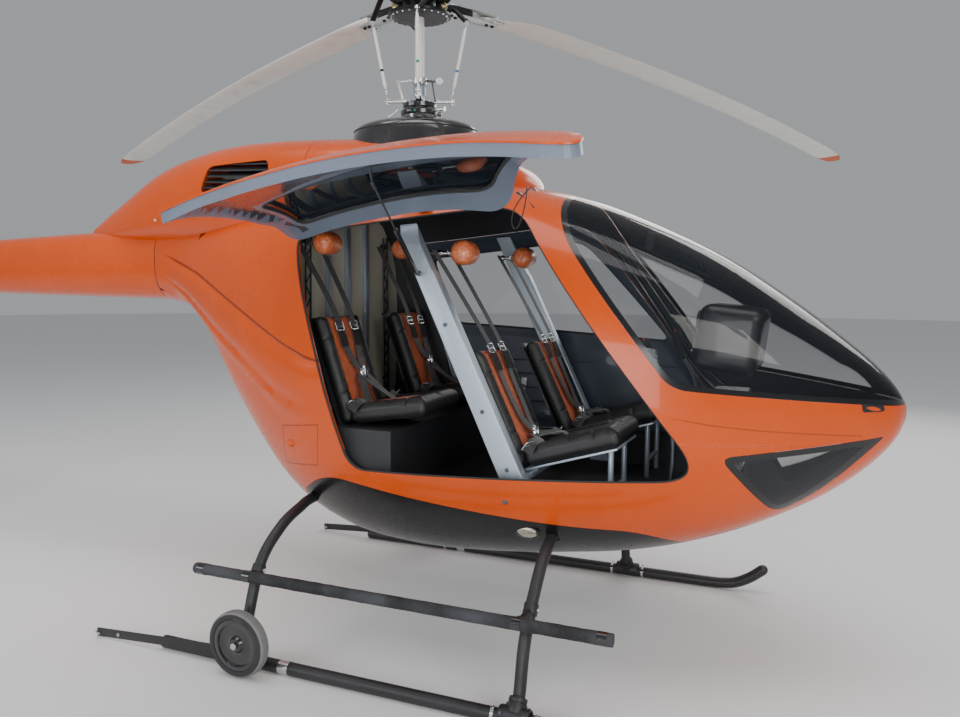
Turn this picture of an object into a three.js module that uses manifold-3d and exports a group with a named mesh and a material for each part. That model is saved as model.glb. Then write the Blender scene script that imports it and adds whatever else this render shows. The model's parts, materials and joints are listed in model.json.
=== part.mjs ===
// Light four-seat helicopter on skids, with its right door open.
// Millimetres, +X to the nose, +Y to the left side, +Z up. The mast stands on the Z axis
// and the skids rest on Z = 0.
import * as THREE from 'three';
import { mergeVertices } from 'three/addons/utils/BufferGeometryUtils.js';
import { LoftGeometry } from 'three/addons/geometries/LoftGeometry.js';
import { RoundedBoxGeometry } from 'three/addons/geometries/RoundedBoxGeometry.js';
import Module from 'manifold-3d';

const wasm = await Module();
wasm.setup();

// Gaps
const SEAT_GAP = 0.3;
const LEG_GAP = 0.9;
const DOOR_GAP = 7;

// Cutters start this far from the centre plane and reach past the widest point of the body
const DOOR_START = 150;
const CHIN_START = 45;
const BODY_REACH = 900;

// Fuselage
const SKIN = 24;
const GLASS = 7;
const RING_POINTS = 20;
const UPPER_FULLNESS = 2.9;
const LOWER_FULLNESS = 2.5;
const POD_STATIONS = [
  // x, half width, bottom, top, height of the widest point
  [-1500, 180, 1520, 1922, 1725],
  [-1300, 225, 1465, 1940, 1705],
  [-1100, 300, 1270, 1962, 1650],
  [-850, 405, 905, 1990, 1560],
  [-550, 525, 575, 2018, 1450],
  [-250, 618, 432, 2045, 1360],
  [100, 672, 385, 2068, 1300],
  [500, 690, 400, 2060, 1262],
  [850, 672, 440, 1990, 1240],
  [1150, 628, 490, 1876, 1222],
  [1450, 545, 580, 1730, 1200],
  [1700, 425, 692, 1568, 1178],
  [1900, 300, 815, 1418, 1160],
  [2050, 182, 950, 1286, 1140],
  [2118, 95, 1045, 1200, 1125],
  [2140, 30, 1098, 1155, 1122],
];
const POD_RINGS = 16;
const RING_EASE = 0.12;
const NOSE_SHIFT = 1.3;
const TAIL_HOLE = { size: [200, 300, 300], middle: [-1480, 0, 1722] };

// Doorway, seen from the side: x, z and the reach of its rounding
const DOORWAY = [
  [-345, 1835, 80],
  [690, 1938, 130],
  [1468, 888, 190],
  [-30, 815, 90],
];
const DOOR_WINDOW = [
  [-215, 1762, 60],
  [655, 1850, 90],
  [1120, 1330, 70],
  [-110, 1398, 70],
];
const HINGE_REAR = [-300, 550, 1851];
const HINGE_FRONT = [640, 528, 1968];
const DOOR_OPEN_ANGLE = THREE.MathUtils.degToRad(84.7);
const HINGE_STATIONS = [-120, 300];
const HINGE_RADIUS = 8;
const KNUCKLE = 24;
const LUG = 14;
const KNUCKLE_GAP = 0.5;
const DOOR_ARM = { out: 4, up: -42, radius: 5 };
const ROOF_ARM = { out: -40, up: 4, radius: 6.5 };

// Canopy and chin windows, seen from the side
const CANOPY_OUTLINE = [
  [770, 2200, 5],
  [862, 1850, 160],
  [1330, 1238, 60],
  [2200, 1158, 5],
  [2200, 2200, 5],
];
const CHIN_OUTLINE = [
  [1500, 985, 50],
  [2062, 1052, 16],
  [1850, 840, 130],
  [1690, 735, 60],
];
const BELLY_OUTLINE = [
  [-420, 300, 5],
  [-420, 640, 60],
  [-190, 775, 130],
  [300, 715, 250],
  [900, 660, 200],
  [1250, 655, 150],
  [1650, 300, 5],
];

// Tail
const BOOM_STATIONS = [
  // x, half width, bottom, top, height of the widest point
  [-4960, 70, 1600, 1775, 1688],
  [-4400, 88, 1582, 1798, 1690],
  [-2930, 132, 1544, 1868, 1706],
  [-1504, 176, 1524, 1918, 1722],
];
const BOOM_RINGS = 5;
const BOOM_WALL = 9;
const TAIL_ROTOR_X = -4900;
const TAIL_ROTOR_Z = 1700;
const TAIL_ROTOR_RADIUS = 640;
const TAIL_HUB_Y = 265;
const TAIL_GEARBOX_Y = 200;
const UPPER_FIN = [
  // height, leading x, trailing x, thickness
  [1740, -4500, -4930, 34],
  [2060, -4660, -5010, 28],
  [2380, -4850, -5110, 20],
];
const LOWER_FIN = [
  [1150, -4790, -5010, 20],
  [1400, -4650, -4950, 28],
  [1640, -4560, -4930, 34],
];
const TAIL_GUARD = [
  // x, height
  [-4900, 1165],
  [-4900, 1100],
  [-4950, 1030],
  [-5050, 1012],
  [-5200, 1040],
  [-5290, 1110],
];
const TAIL_BLADE = [
  // distance from the hub, chord, thickness
  [100, 70, 22],
  [190, 118, 16],
  [TAIL_ROTOR_RADIUS, 112, 10],
];
const STABILISER = [
  // distance from the centre plane, leading x, trailing x, thickness
  [-760, -3830, -4060, 16],
  [0, -3760, -4060, 34],
  [760, -3830, -4060, 16],
];
const STABILISER_Z = 1710;
const STABILISER_GAP = 0.5;

// Main rotor
const MAST_RADIUS = 22;
const GEARBOX_TOP = 2250;
const GEARBOX_FOOT = [250, 240];
const HUB_Z = 2945;
const HUB_BELOW = 75;
const HUB_ABOVE = 26;
const HUB_RADIUS = 149;
const BLADE_TIP = 4104;
const BLADE_ROOT = 500;
const CUFF_START = 149.1;
const BLADE_SAG = 2e-5;
const CHORD = 200;
const BLADE = [
  // distance from the hub, chord, thickness
  [BLADE_ROOT - 40, 150, 26],
  [BLADE_ROOT + 160, CHORD, 24],
  [1400, CHORD, 24],
  [2200, CHORD, 23],
  [3000, CHORD, 22],
  [BLADE_TIP - 300, CHORD, 22],
  [BLADE_TIP - 90, CHORD * 0.85, 16],
  [BLADE_TIP, CHORD * 0.4, 8],
];
const FIRST_BLADE = THREE.MathUtils.degToRad(-25.5);
const BLADE_COUNT = 4;
const LINK_TOP_RADIUS = 222;
const LINK_BOTTOM_RADIUS = 155;
const LINK_BOTTOM_Z = 2505;
const LINK_LEAD = THREE.MathUtils.degToRad(40);
const LINK_TOP_Z = 2850;
const PLATE_RADIUS = 104;
const STAR_Z = 2463;
const COLLAR_Z = 2576;
const COLLAR_RADIUS = 42;
const FIXED_RING_Z = 2425;
const FIXED_RING_GAP = 14;
const CONTROL_ROD_RADIUS = 8;
const CONTROL_ROD_REACH = 80;
const DOME_HOLE_GAP = 12;

// Engine, its bay and the cabin fittings
const ENGINE_BAY = { from: -1120, to: -455, halfWidth: 270, floor: 1290 };
const ENGINE_BLOCK = { from: -1010, to: -500, halfWidth: 215, top: 2150 };
const HEADREST_RADIUS = 54;
const HEADREST_HALF = 70;
const HEADREST_Y = 365;
const FRONT_HEADREST = [407, 1750];
const REAR_HEADREST = [-285, 1800];
const HEADREST_ELBOW_X = 290;
const SEAT_BEAM = [735, 838];
const SEAT_RISE = THREE.MathUtils.degToRad(17);
const REAR_BOX_HEIGHT = 277.2;
const REAR_BOX_DEPTH = 570;
const REAR_BOX_WIDTH = 1120;

// Landing gear
const SKID_Y = 886;
const SKID_RADIUS = 27.5;
const SKID_REAR = -810;
const SKID_BEND = 1300;
const SKID_TOE = [
  // x, height of the tube's centre
  [SKID_BEND - 20, SKID_RADIUS],
  [SKID_BEND + 60, SKID_RADIUS + 2],
  [1435, 42],
  [1505, 80],
  [1566, 128],
];
const STEP_Y = 874;
const STEP_Z = 384;
const STEP_RADIUS = 25;
const FRONT_TUBE_X = 850;
const REAR_TUBE_X = -360;
const LEG_RADIUS = 24;
const CROSS_TUBE_TOP = 615;
const FRONT_LEG = [
  // distance from the centre plane, height
  [852, 86],
  [837, 112],
  [788, 285],
  [680, 445],
  [555, 560],
  [380, 612],
];
const REAR_LEG = [
  [888, 88],
  [890, 118],
  [868, 236],
  [784, 427],
  [640, 540],
  [500, 590],
  [380, 612],
];
const WHEEL_X = -325;
const WHEEL_Y = 984;
const WHEEL_Z = 143;
const WHEEL_RADIUS = 138;
const WHEEL_HALF_WIDTH = 27;
const AXLE_RADIUS = 10;
const SADDLE_RADIUS = 36.5;
const LEVER_THICKNESS = 8;
const LEVER_SEAT = 5;

// Cabin
const FLOOR_Z = 712;
const FLOOR_START = -415;
const FLOOR_END = 1545;
const FLOOR_THICKNESS = 24;
const ACROSS = 1500;
const BULKHEAD_X = -420;
const BULKHEAD_THICKNESS = 22;
const BULKHEAD_HEIGHT = 1700;
const BULKHEAD_MIDDLE_Z = 1300;
const POST_TOP = [204, 1905];
const POST_FOOT = [773, 714];
const POST_Y = 560;
const POST_DEPTH = 56;
const POST_WIDTH_TOP = 72;
const POST_WIDTH_FOOT = 98;
const SEAT_Y = 340;
const SEAT_WIDTH = 400;
const SEAT_ROWS = [
  // row, corner x, corner z, cushion length, cushion rise, back length, back lean
  ['front', 716, 956, 430, 17, 450, 25],
  ['rear', -96, 1082, 400, 9, 430, 19],
];
const CUSHION_DEPTH = 85;
const BACK_DEPTH = 62;
const BACK_WIDTH = 360;
const ROOF_TOP = 2070;

// Cockpit: side views are x, height
const PEDESTAL = { size: [150, 210, 560], x: 1475 };
const POD = { size: [250, 430, 270], rounding: 30, middle: [1478, 0, 1400], tilt: 0.12 };
const SWITCH_RAIL = [[1262, 1780], [1480, 1664]];
const RAIL_HANGERS = [[1262, 1780], [1400, 1706]];
const STICK_PATH = [[1290, 714.3], [1300, 1010], [1270, 1180], [1205, 1290]];
const STICK_GRIP = [[1213, 1276], [1176, 1400]];
const BOOT_HEIGHT = 40;
const PEDAL_Y = 212;
const PEDAL_OFFSETS = [-52, 52];
const PEDAL_PLATE = [110, 150, 12];
const PEDAL_ARM = [[1465, 720.3], [1552, 905]];

// Door struts, in the plane through the pin on the post and the ball on the door
const STRUT_PIN = [300, 604, 1660];
const STUD = 5.6;
const STRUT_BALL = [470, 608, 1345];
const STRUT_SLEEVE = 330;
const STRUT_ROD = 316;
const ROD_EYE = 7.2;

// Fairings: x, half width, bottom, top, height of the widest point
const COWL_WALL = 8;
const COWL_RINGS = 7;
const ENGINE_COWL = [
  [-2080, 50, 1860, 1925, 1890],
  [-1800, 150, 1830, 2060, 1910],
  [-1450, 245, 1820, 2225, 1950],
  [-1050, 322, 1800, 2308, 1990],
  [-700, 352, 1800, 2324, 2010],
  [-430, 356, 1800, 2316, 2020],
];
const MAST_COWL = [
  [-429.7, 356, 1800, 2316, 2020],
  [-200, 368, 1800, 2304, 2020],
  [60, 368, 1800, 2290, 2020],
  [300, 345, 1850, 2252, 2015],
  [480, 260, 1900, 2175, 2010],
  [610, 120, 1950, 2090, 2030],
];
const DOME_X = -20;
const DOME_BASE = 2240;
const DOME_FOOT_RADIUS = 322;
const DOME_WALL = 12;
const DOME_CURVE = [
  // height, radius
  [2336, 302],
  [2366, 262],
  [2384, 190],
  [2393, 100],
  [2396, 0],
];

const finish = (color, roughness, metalness = 0) =>
  new THREE.MeshStandardMaterial({ color, roughness, metalness });
const FINISH = {
  orange: () => finish(0xe8531b, 0.22),
  black: () => finish(0x101114, 0.2),
  rubber: () => finish(0x1a1a1b, 0.85),
  aluminium: () => finish(0xaeb4ba, 0.38, 0.9),
  steel: () => finish(0xc9cdd0, 0.3, 1),
  leather: () => finish(0x191a1c, 0.5),
  orangeCloth: () => finish(0xea5f2a, 0.6),
  glass: () => finish(0x2b3036, 0.06),
  cream: () => finish(0xb9b4a4, 0.6),
  blade: () => finish(0xd6d1c2, 0.45),
  engine: () => finish(0x6f7276, 0.5, 0.6),
  floor: () => finish(0x242527, 0.9),
};

const helicopter = new THREE.Group();

// Turns a closed geometry into a solid for joining and cutting.
function solid(geometry) {
  const bare = new THREE.BufferGeometry();
  bare.setAttribute('position', geometry.getAttribute('position').clone());
  if (geometry.index) bare.setIndex(geometry.index.clone());
  const merged = mergeVertices(bare, 1e-3);
  const triangles = [];
  for (let i = 0; i < merged.index.count; i += 3) {
    const [a, b, c] = [merged.index.getX(i), merged.index.getX(i + 1), merged.index.getX(i + 2)];
    if (a !== b && b !== c && a !== c) triangles.push(a, b, c);
  }
  const mesh = new wasm.Mesh({
    numProp: 3,
    vertProperties: new Float32Array(merged.getAttribute('position').array),
    triVerts: new Uint32Array(triangles),
  });
  return new wasm.Manifold(mesh);
}

function geometryOf(body) {
  const mesh = body.getMesh();
  const geometry = new THREE.BufferGeometry();
  geometry.setAttribute('position', new THREE.BufferAttribute(new Float32Array(mesh.vertProperties), 3));
  geometry.setIndex(new THREE.BufferAttribute(new Uint32Array(mesh.triVerts), 1));
  return geometry;
}

const join = (bodies) => bodies.reduce((sum, body) => sum.add(body));

function addPiece(name, body, material, parent = helicopter) {
  const geometry = geometryOf(body);
  geometry.computeVertexNormals();
  const mesh = new THREE.Mesh(geometry, material);
  mesh.name = name;
  parent.add(mesh);
  return mesh;
}

// Plain shapes, placed by their middle
function block(size, middle, turn = [0, 0, 0]) {
  const geometry = new THREE.BoxGeometry(...size);
  geometry.applyMatrix4(placement(middle, turn));
  return solid(geometry);
}

function softBlock(size, radius, middle, turn = [0, 0, 0]) {
  const geometry = new RoundedBoxGeometry(...size, 1, radius);
  geometry.applyMatrix4(placement(middle, turn));
  return solid(geometry);
}

function placement(middle, turn) {
  const rotation = new THREE.Quaternion().setFromEuler(new THREE.Euler(...turn));
  const scale = new THREE.Vector3(1, 1, 1);
  return new THREE.Matrix4().compose(new THREE.Vector3(...middle), rotation, scale);
}

// A round bar between two points
function bar(from, to, radius, sides = 12, endRadius = radius) {
  const start = new THREE.Vector3(...from);
  const end = new THREE.Vector3(...to);
  const along = end.clone().sub(start);
  const geometry = new THREE.CylinderGeometry(endRadius, radius, along.length(), sides);
  const turn = new THREE.Quaternion().setFromUnitVectors(
    new THREE.Vector3(0, 1, 0),
    along.clone().normalize(),
  );
  const middle = start.clone().add(end).multiplyScalar(0.5);
  geometry.applyMatrix4(new THREE.Matrix4().compose(middle, turn, new THREE.Vector3(1, 1, 1)));
  return solid(geometry);
}

// A round tube along a smooth curve through points
function tube(points, radius, steps = 24, sides = 10) {
  const circle = new THREE.Shape();
  circle.absarc(0, 0, radius, 0, Math.PI * 2, false);
  const path = new THREE.CatmullRomCurve3(points.map((p) => new THREE.Vector3(...p)), false, 'centripetal');
  const geometry = new THREE.ExtrudeGeometry(circle, {
    steps,
    curveSegments: sides / 2,
    extrudePath: path,
    bevelEnabled: false,
  });
  return solid(geometry);
}

// A ring or wheel turned about an axis along Y, from its half section of [distance along Y, radius]
function turnedAboutY(profile, middle, segments = 24) {
  const points = profile.map(([along, radius]) => new THREE.Vector2(radius, along));
  const geometry = new THREE.LatheGeometry(points, segments);
  geometry.translate(...middle);
  return solid(geometry);
}

function turnedAboutZ(profile, middle, segments = 24) {
  const points = profile.map(([along, radius]) => new THREE.Vector2(radius, along));
  const geometry = new THREE.LatheGeometry(points, segments);
  geometry.rotateX(Math.PI / 2);
  geometry.translate(...middle);
  return solid(geometry);
}

// A side outline with rounded corners, as a shape in X and Z
function sideShape(corners, inset = 0) {
  const count = corners.length;
  const middle = corners.reduce((sum, [x, z]) => [sum[0] + x / count, sum[1] + z / count], [0, 0]);
  const pulled = inset === 0 ? corners : insetCorners(corners, inset, middle);
  const shape = new THREE.Shape();
  pulled.forEach(([x, z, reach], index) => {
    const before = pulled[(index + pulled.length - 1) % pulled.length];
    const after = pulled[(index + 1) % pulled.length];
    const start = towards([x, z], before, reach);
    const end = towards([x, z], after, reach);
    if (index === 0) shape.moveTo(...start);
    else shape.lineTo(...start);
    shape.quadraticCurveTo(x, z, ...end);
  });
  shape.closePath();
  return shape;
}

function towards([x, z], [toX, toZ], reach) {
  const length = Math.hypot(toX - x, toZ - z);
  const share = Math.min(reach, length * 0.48) / length;
  return [x + (toX - x) * share, z + (toZ - z) * share];
}

// Moves every edge of an outline inwards by the same distance
function insetCorners(corners, distance, middle) {
  const edges = corners.map(([x, z], index) => {
    const [nextX, nextZ] = corners[(index + 1) % corners.length];
    const length = Math.hypot(nextX - x, nextZ - z);
    let normal = [-(nextZ - z) / length, (nextX - x) / length];
    if (normal[0] * (middle[0] - x) + normal[1] * (middle[1] - z) < 0) normal = [-normal[0], -normal[1]];
    return { normal, offset: normal[0] * x + normal[1] * z + distance };
  });
  return corners.map(([, , reach], index) => {
    const one = edges[(index + edges.length - 1) % edges.length];
    const two = edges[index];
    const cross = one.normal[0] * two.normal[1] - one.normal[1] * two.normal[0];
    const x = (one.offset * two.normal[1] - two.offset * one.normal[1]) / cross;
    const z = (one.normal[0] * two.offset - two.normal[0] * one.offset) / cross;
    return [x, z, Math.max(reach - distance / 2, 2)];
  });
}

// A side outline pushed through from Y = from to Y = to
function sidePrism(corners, from, to, inset = 0) {
  const geometry = new THREE.ExtrudeGeometry(sideShape(corners, inset), {
    depth: to - from,
    curveSegments: 3,
    bevelEnabled: false,
  });
  geometry.rotateX(Math.PI / 2);
  geometry.translate(0, to, 0);
  return solid(geometry);
}

// The lower and higher Y of a cutter on one side of the centre plane
function sideRange(side, start) {
  return side < 0 ? [-BODY_REACH, -start] : [start, BODY_REACH];
}

// Lofts through stations
function stationCurve(rows) {
  return new THREE.CubicInterpolant(rows.map((row) => row[0]), rows.flatMap((row) => row.slice(1)), 4);
}

function stationRing(curve, x, at, wall) {
  const [halfWidth, bottom, top, widest] = curve.evaluate(at);
  const points = [];
  for (let i = 0; i < RING_POINTS; i += 1) {
    const angle = (i / RING_POINTS) * Math.PI * 2;
    const [c, s] = [Math.cos(angle), Math.sin(angle)];
    const power = 2 / (s > 0 ? UPPER_FULLNESS : LOWER_FULLNESS);
    const rise = s > 0 ? top - wall - widest : widest - bottom - wall;
    const y = Math.max(halfWidth - wall, 2) * Math.sign(c) * Math.abs(c) ** power;
    const z = widest + Math.max(rise, 2) * Math.sign(s) * Math.abs(s) ** power;
    points.push(new THREE.Vector3(x, y, z));
  }
  return points;
}

// The rings of a wall's inner face lie further from the ends, where the skin turns across X
function stationLoft(rows, rings, wall, shift) {
  const curve = stationCurve(rows);
  const [first, last] = [rows[0][0], rows[rows.length - 1][0]];
  const sections = [];
  for (let i = 0; i <= rings; i += 1) {
    const share = i / rings;
    const eased = share + RING_EASE * Math.sin(share * Math.PI) * share;
    const at = first + (last - first) * Math.min(eased, 1);
    sections.push(stationRing(curve, at - wall * shift * Math.max(share * 2 - 1, 0), at, wall));
  }
  return closedLoft(sections);
}

const podOuter = stationLoft(POD_STATIONS, POD_RINGS, 0, NOSE_SHIFT);
const podInner = stationLoft(POD_STATIONS, POD_RINGS, SKIN, NOSE_SHIFT);
const glassInner = stationLoft(POD_STATIONS, POD_RINGS, GLASS, NOSE_SHIFT);
const podInside = stationLoft(POD_STATIONS, POD_RINGS, SKIN + SEAT_GAP, NOSE_SHIFT);
const canopyInside = stationLoft(POD_STATIONS, POD_RINGS, GLASS + SEAT_GAP, NOSE_SHIFT);

// A straight slice of everything inside the cabin, kept clear of its skin
const cabinSlice = (size, middle) => podInside.intersect(block(size, middle));

// A cross tube from skid to skid, with the stub at each leg that holds the step
function crossTube(table, x, radius) {
  const right = table.map(([y, z]) => [x, -y, z]);
  const left = table.map(([y, z]) => [x, y, z]).reverse();
  return tube([...right, [x, 0, CROSS_TUBE_TOP], ...left], radius, 22, 8);
}

function stepStubs(x, legY) {
  return [-1, 1].map((side) => bar(
    [x, side * legY, STEP_Z],
    [x, side * (STEP_Y - STEP_RADIUS - SEAT_GAP), STEP_Z],
    13,
    10,
  ));
}

// The orange one-piece body, the black belly and the glazing
function addFuselage() {
  const doorways = [-1, 1].map((side) => sidePrism(DOORWAY, ...sideRange(side, DOOR_START)));
  const chins = [-1, 1].map((side) => sidePrism(CHIN_OUTLINE, ...sideRange(side, CHIN_START)));
  const canopyCut = sidePrism(CANOPY_OUTLINE, -BODY_REACH, BODY_REACH);
  const bellyCut = sidePrism(BELLY_OUTLINE, -BODY_REACH, BODY_REACH);
  const bay = block(
    [ENGINE_BAY.to - ENGINE_BAY.from, ENGINE_BAY.halfWidth * 2, 700],
    [(ENGINE_BAY.from + ENGINE_BAY.to) / 2, 0, 2150],
  );
  const tailHole = block(TAIL_HOLE.size, TAIL_HOLE.middle);
  const shell = podOuter.subtract(podInner);
  const legHoles = join([
    crossTube(FRONT_LEG, FRONT_TUBE_X, LEG_RADIUS + 0.4),
    crossTube(REAR_LEG, REAR_TUBE_X, LEG_RADIUS + 0.4),
  ]);
  const body = shell
    .subtract(join([...doorways, ...chins, canopyCut, bellyCut, bay, tailHole]))
    .subtract(legHoles)
    .add(roofHinges(-1).add(roofHinges(1)));
  addPiece('fuselage_body', body, FINISH.orange());

  const belly = shell.intersect(sidePrism(BELLY_OUTLINE, -BODY_REACH, BODY_REACH, SEAT_GAP));
  addPiece('belly_pan', belly.subtract(legHoles), FINISH.black());

  const glassShell = podOuter.subtract(glassInner);
  const canopy = glassShell.intersect(sidePrism(CANOPY_OUTLINE, -BODY_REACH, BODY_REACH, SEAT_GAP));
  addPiece('canopy', canopy, FINISH.glass());
  [['right', -1], ['left', 1]].forEach(([name, side]) => {
    const cutter = sidePrism(CHIN_OUTLINE, ...sideRange(side, CHIN_START + SEAT_GAP), SEAT_GAP);
    addPiece(`${name}_chin_window`, glassShell.intersect(cutter), FINISH.glass());
  });
}

// The turn of a door about its roof hinge
function doorTurn(side, angle) {
  const mirror = new THREE.Vector3(1, side, 1);
  const pivot = new THREE.Vector3(...HINGE_REAR).multiply(mirror);
  const along = new THREE.Vector3(...HINGE_FRONT).multiply(mirror).sub(pivot);
  return new THREE.Matrix4()
    .makeTranslation(pivot)
    .multiply(new THREE.Matrix4().makeRotationAxis(along.normalize(), angle))
    .multiply(new THREE.Matrix4().makeTranslation(pivot.clone().negate()));
}

// Points on a hinge axis, and its direction, at a distance along X
function hingePoint(side, x) {
  const share = (x - HINGE_REAR[0]) / (HINGE_FRONT[0] - HINGE_REAR[0]);
  const [, y, z] = HINGE_REAR.map((start, axis) => start + (HINGE_FRONT[axis] - start) * share);
  return [x, side * y, z];
}

function alongHinge(side, from, to, radius) {
  return bar(hingePoint(side, from), hingePoint(side, to), radius, 10);
}

// A short barrel on the hinge axis with an arm into the skin beside it
function hingeBarrel(side, from, to, arm) {
  const [x, y, z] = hingePoint(side, (from + to) / 2);
  const end = [x, y + side * arm.out, z + arm.up];
  return alongHinge(side, from, to, HINGE_RADIUS).add(bar([x, y, z], end, arm.radius, 8));
}

function doorHinges(side) {
  return join(HINGE_STATIONS.map((x) => hingeBarrel(side, x - KNUCKLE / 2, x + KNUCKLE / 2, DOOR_ARM)));
}

// The two lugs that each knuckle turns between, fixed to the roof edge
function roofHinges(side) {
  return join(HINGE_STATIONS.flatMap((x) => [-1, 1].map((end) => {
    const near = x + end * (KNUCKLE / 2 + KNUCKLE_GAP);
    return hingeBarrel(side, Math.min(near, near + end * LUG), Math.max(near, near + end * LUG), ROOF_ARM);
  })));
}

// Each door is cut from the same skin as the body, and the right one stands open
function addDoors() {
  const shell = podOuter.subtract(podInner);
  const glassShell = podOuter.subtract(glassInner);
  [['right', -1, -DOOR_OPEN_ANGLE], ['left', 1, 0]].forEach(([name, side, turn]) => {
    const range = sideRange(side, DOOR_START);
    const ball = strutBall(side, 0);
    const stem = bar([ball.x, ball.y + side * 7.8, ball.z], [ball.x, ball.y + side * 60, ball.z], 9, 10);
    const panel = shell
      .intersect(sidePrism(DOORWAY, ...range, DOOR_GAP))
      .subtract(sidePrism(DOOR_WINDOW, ...range))
      .add(stem.intersect(podOuter))
      .add(doorHinges(side));
    const pane = glassShell.intersect(sidePrism(DOOR_WINDOW, ...range, SEAT_GAP));
    addPiece(`${name}_door`, panel, FINISH.orange()).applyMatrix4(doorTurn(side, turn));
    addPiece(`${name}_door_window`, pane, FINISH.glass()).applyMatrix4(doorTurn(side, turn));
  });
}

// Floor, bulkhead and the shelf that carries the engine
function addCabinStructure() {
  const floorSize = [FLOOR_END - FLOOR_START, ACROSS, FLOOR_THICKNESS];
  const floorMiddle = [(FLOOR_START + FLOOR_END) / 2, 0, FLOOR_Z - FLOOR_THICKNESS / 2];
  addPiece('cabin_floor', cabinSlice(floorSize, floorMiddle), FINISH.floor());
  const bulkheadSize = [BULKHEAD_THICKNESS, ACROSS, BULKHEAD_HEIGHT];
  const bulkheadMiddle = [BULKHEAD_X - BULKHEAD_THICKNESS / 2, 0, BULKHEAD_MIDDLE_Z];
  addPiece('rear_bulkhead', cabinSlice(bulkheadSize, bulkheadMiddle), FINISH.cream());
  const deckLength = BULKHEAD_X - BULKHEAD_THICKNESS - SEAT_GAP - ENGINE_BAY.from;
  const deckMiddle = [ENGINE_BAY.from + deckLength / 2, 0, ENGINE_BAY.floor - FLOOR_THICKNESS / 2];
  const deckSize = [deckLength, ACROSS, FLOOR_THICKNESS];
  addPiece('engine_deck', cabinSlice(deckSize, deckMiddle), FINISH.aluminium());
  const engineHeight = ENGINE_BLOCK.top - ENGINE_BAY.floor - SEAT_GAP;
  const engine = block(
    [ENGINE_BLOCK.to - ENGINE_BLOCK.from, ENGINE_BLOCK.halfWidth * 2, engineHeight],
    [(ENGINE_BLOCK.from + ENGINE_BLOCK.to) / 2, 0, ENGINE_BLOCK.top - engineHeight / 2],
  );
  addPiece('engine', engine, FINISH.engine());
  const gearboxHeight = GEARBOX_TOP - ROOF_TOP - SEAT_GAP;
  addPiece(
    'main_gearbox',
    block([...GEARBOX_FOOT, gearboxHeight], [0, 0, GEARBOX_TOP - gearboxHeight / 2]),
    FINISH.engine(),
  );
}

// The leaning box posts behind the front seats, trimmed to the roof and the floor
function addPosts() {
  [['right', -1], ['left', 1]].forEach(([name, side]) => {
    const lean = Math.atan2(POST_FOOT[0] - POST_TOP[0], POST_TOP[1] - POST_FOOT[1]);
    const length = Math.hypot(POST_FOOT[0] - POST_TOP[0], POST_TOP[1] - POST_FOOT[1]) + 200;
    const middle = [(POST_TOP[0] + POST_FOOT[0]) / 2, side * POST_Y, (POST_TOP[1] + POST_FOOT[1]) / 2];
    const shape = new THREE.Shape();
    shape.moveTo(-POST_WIDTH_FOOT / 2, -length / 2);
    shape.lineTo(POST_WIDTH_FOOT / 2, -length / 2);
    shape.lineTo(POST_WIDTH_TOP / 2, length / 2);
    shape.lineTo(-POST_WIDTH_TOP / 2, length / 2);
    shape.closePath();
    const geometry = new THREE.ExtrudeGeometry(shape, { depth: POST_DEPTH, bevelEnabled: false });
    geometry.translate(0, 0, -POST_DEPTH / 2);
    geometry.rotateX(Math.PI / 2);
    geometry.rotateY(-lean);
    geometry.translate(...middle);
    const aboveFloor = block([2000, 2000, 2000], [500, 0, FLOOR_Z + SEAT_GAP + 1000]);
    const outer = side * (POST_Y + POST_DEPTH / 2);
    const studEnd = [STRUT_PIN[0], outer + side * STUD, STRUT_PIN[2]];
    const stud = bar([STRUT_PIN[0], outer - side * 4, STRUT_PIN[2]], studEnd, 9);
    const post = solid(geometry).intersect(podInside).intersect(aboveFloor).add(stud);
    addPiece(`${name}_frame_post`, post, FINISH.aluminium());
  });
}

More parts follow.
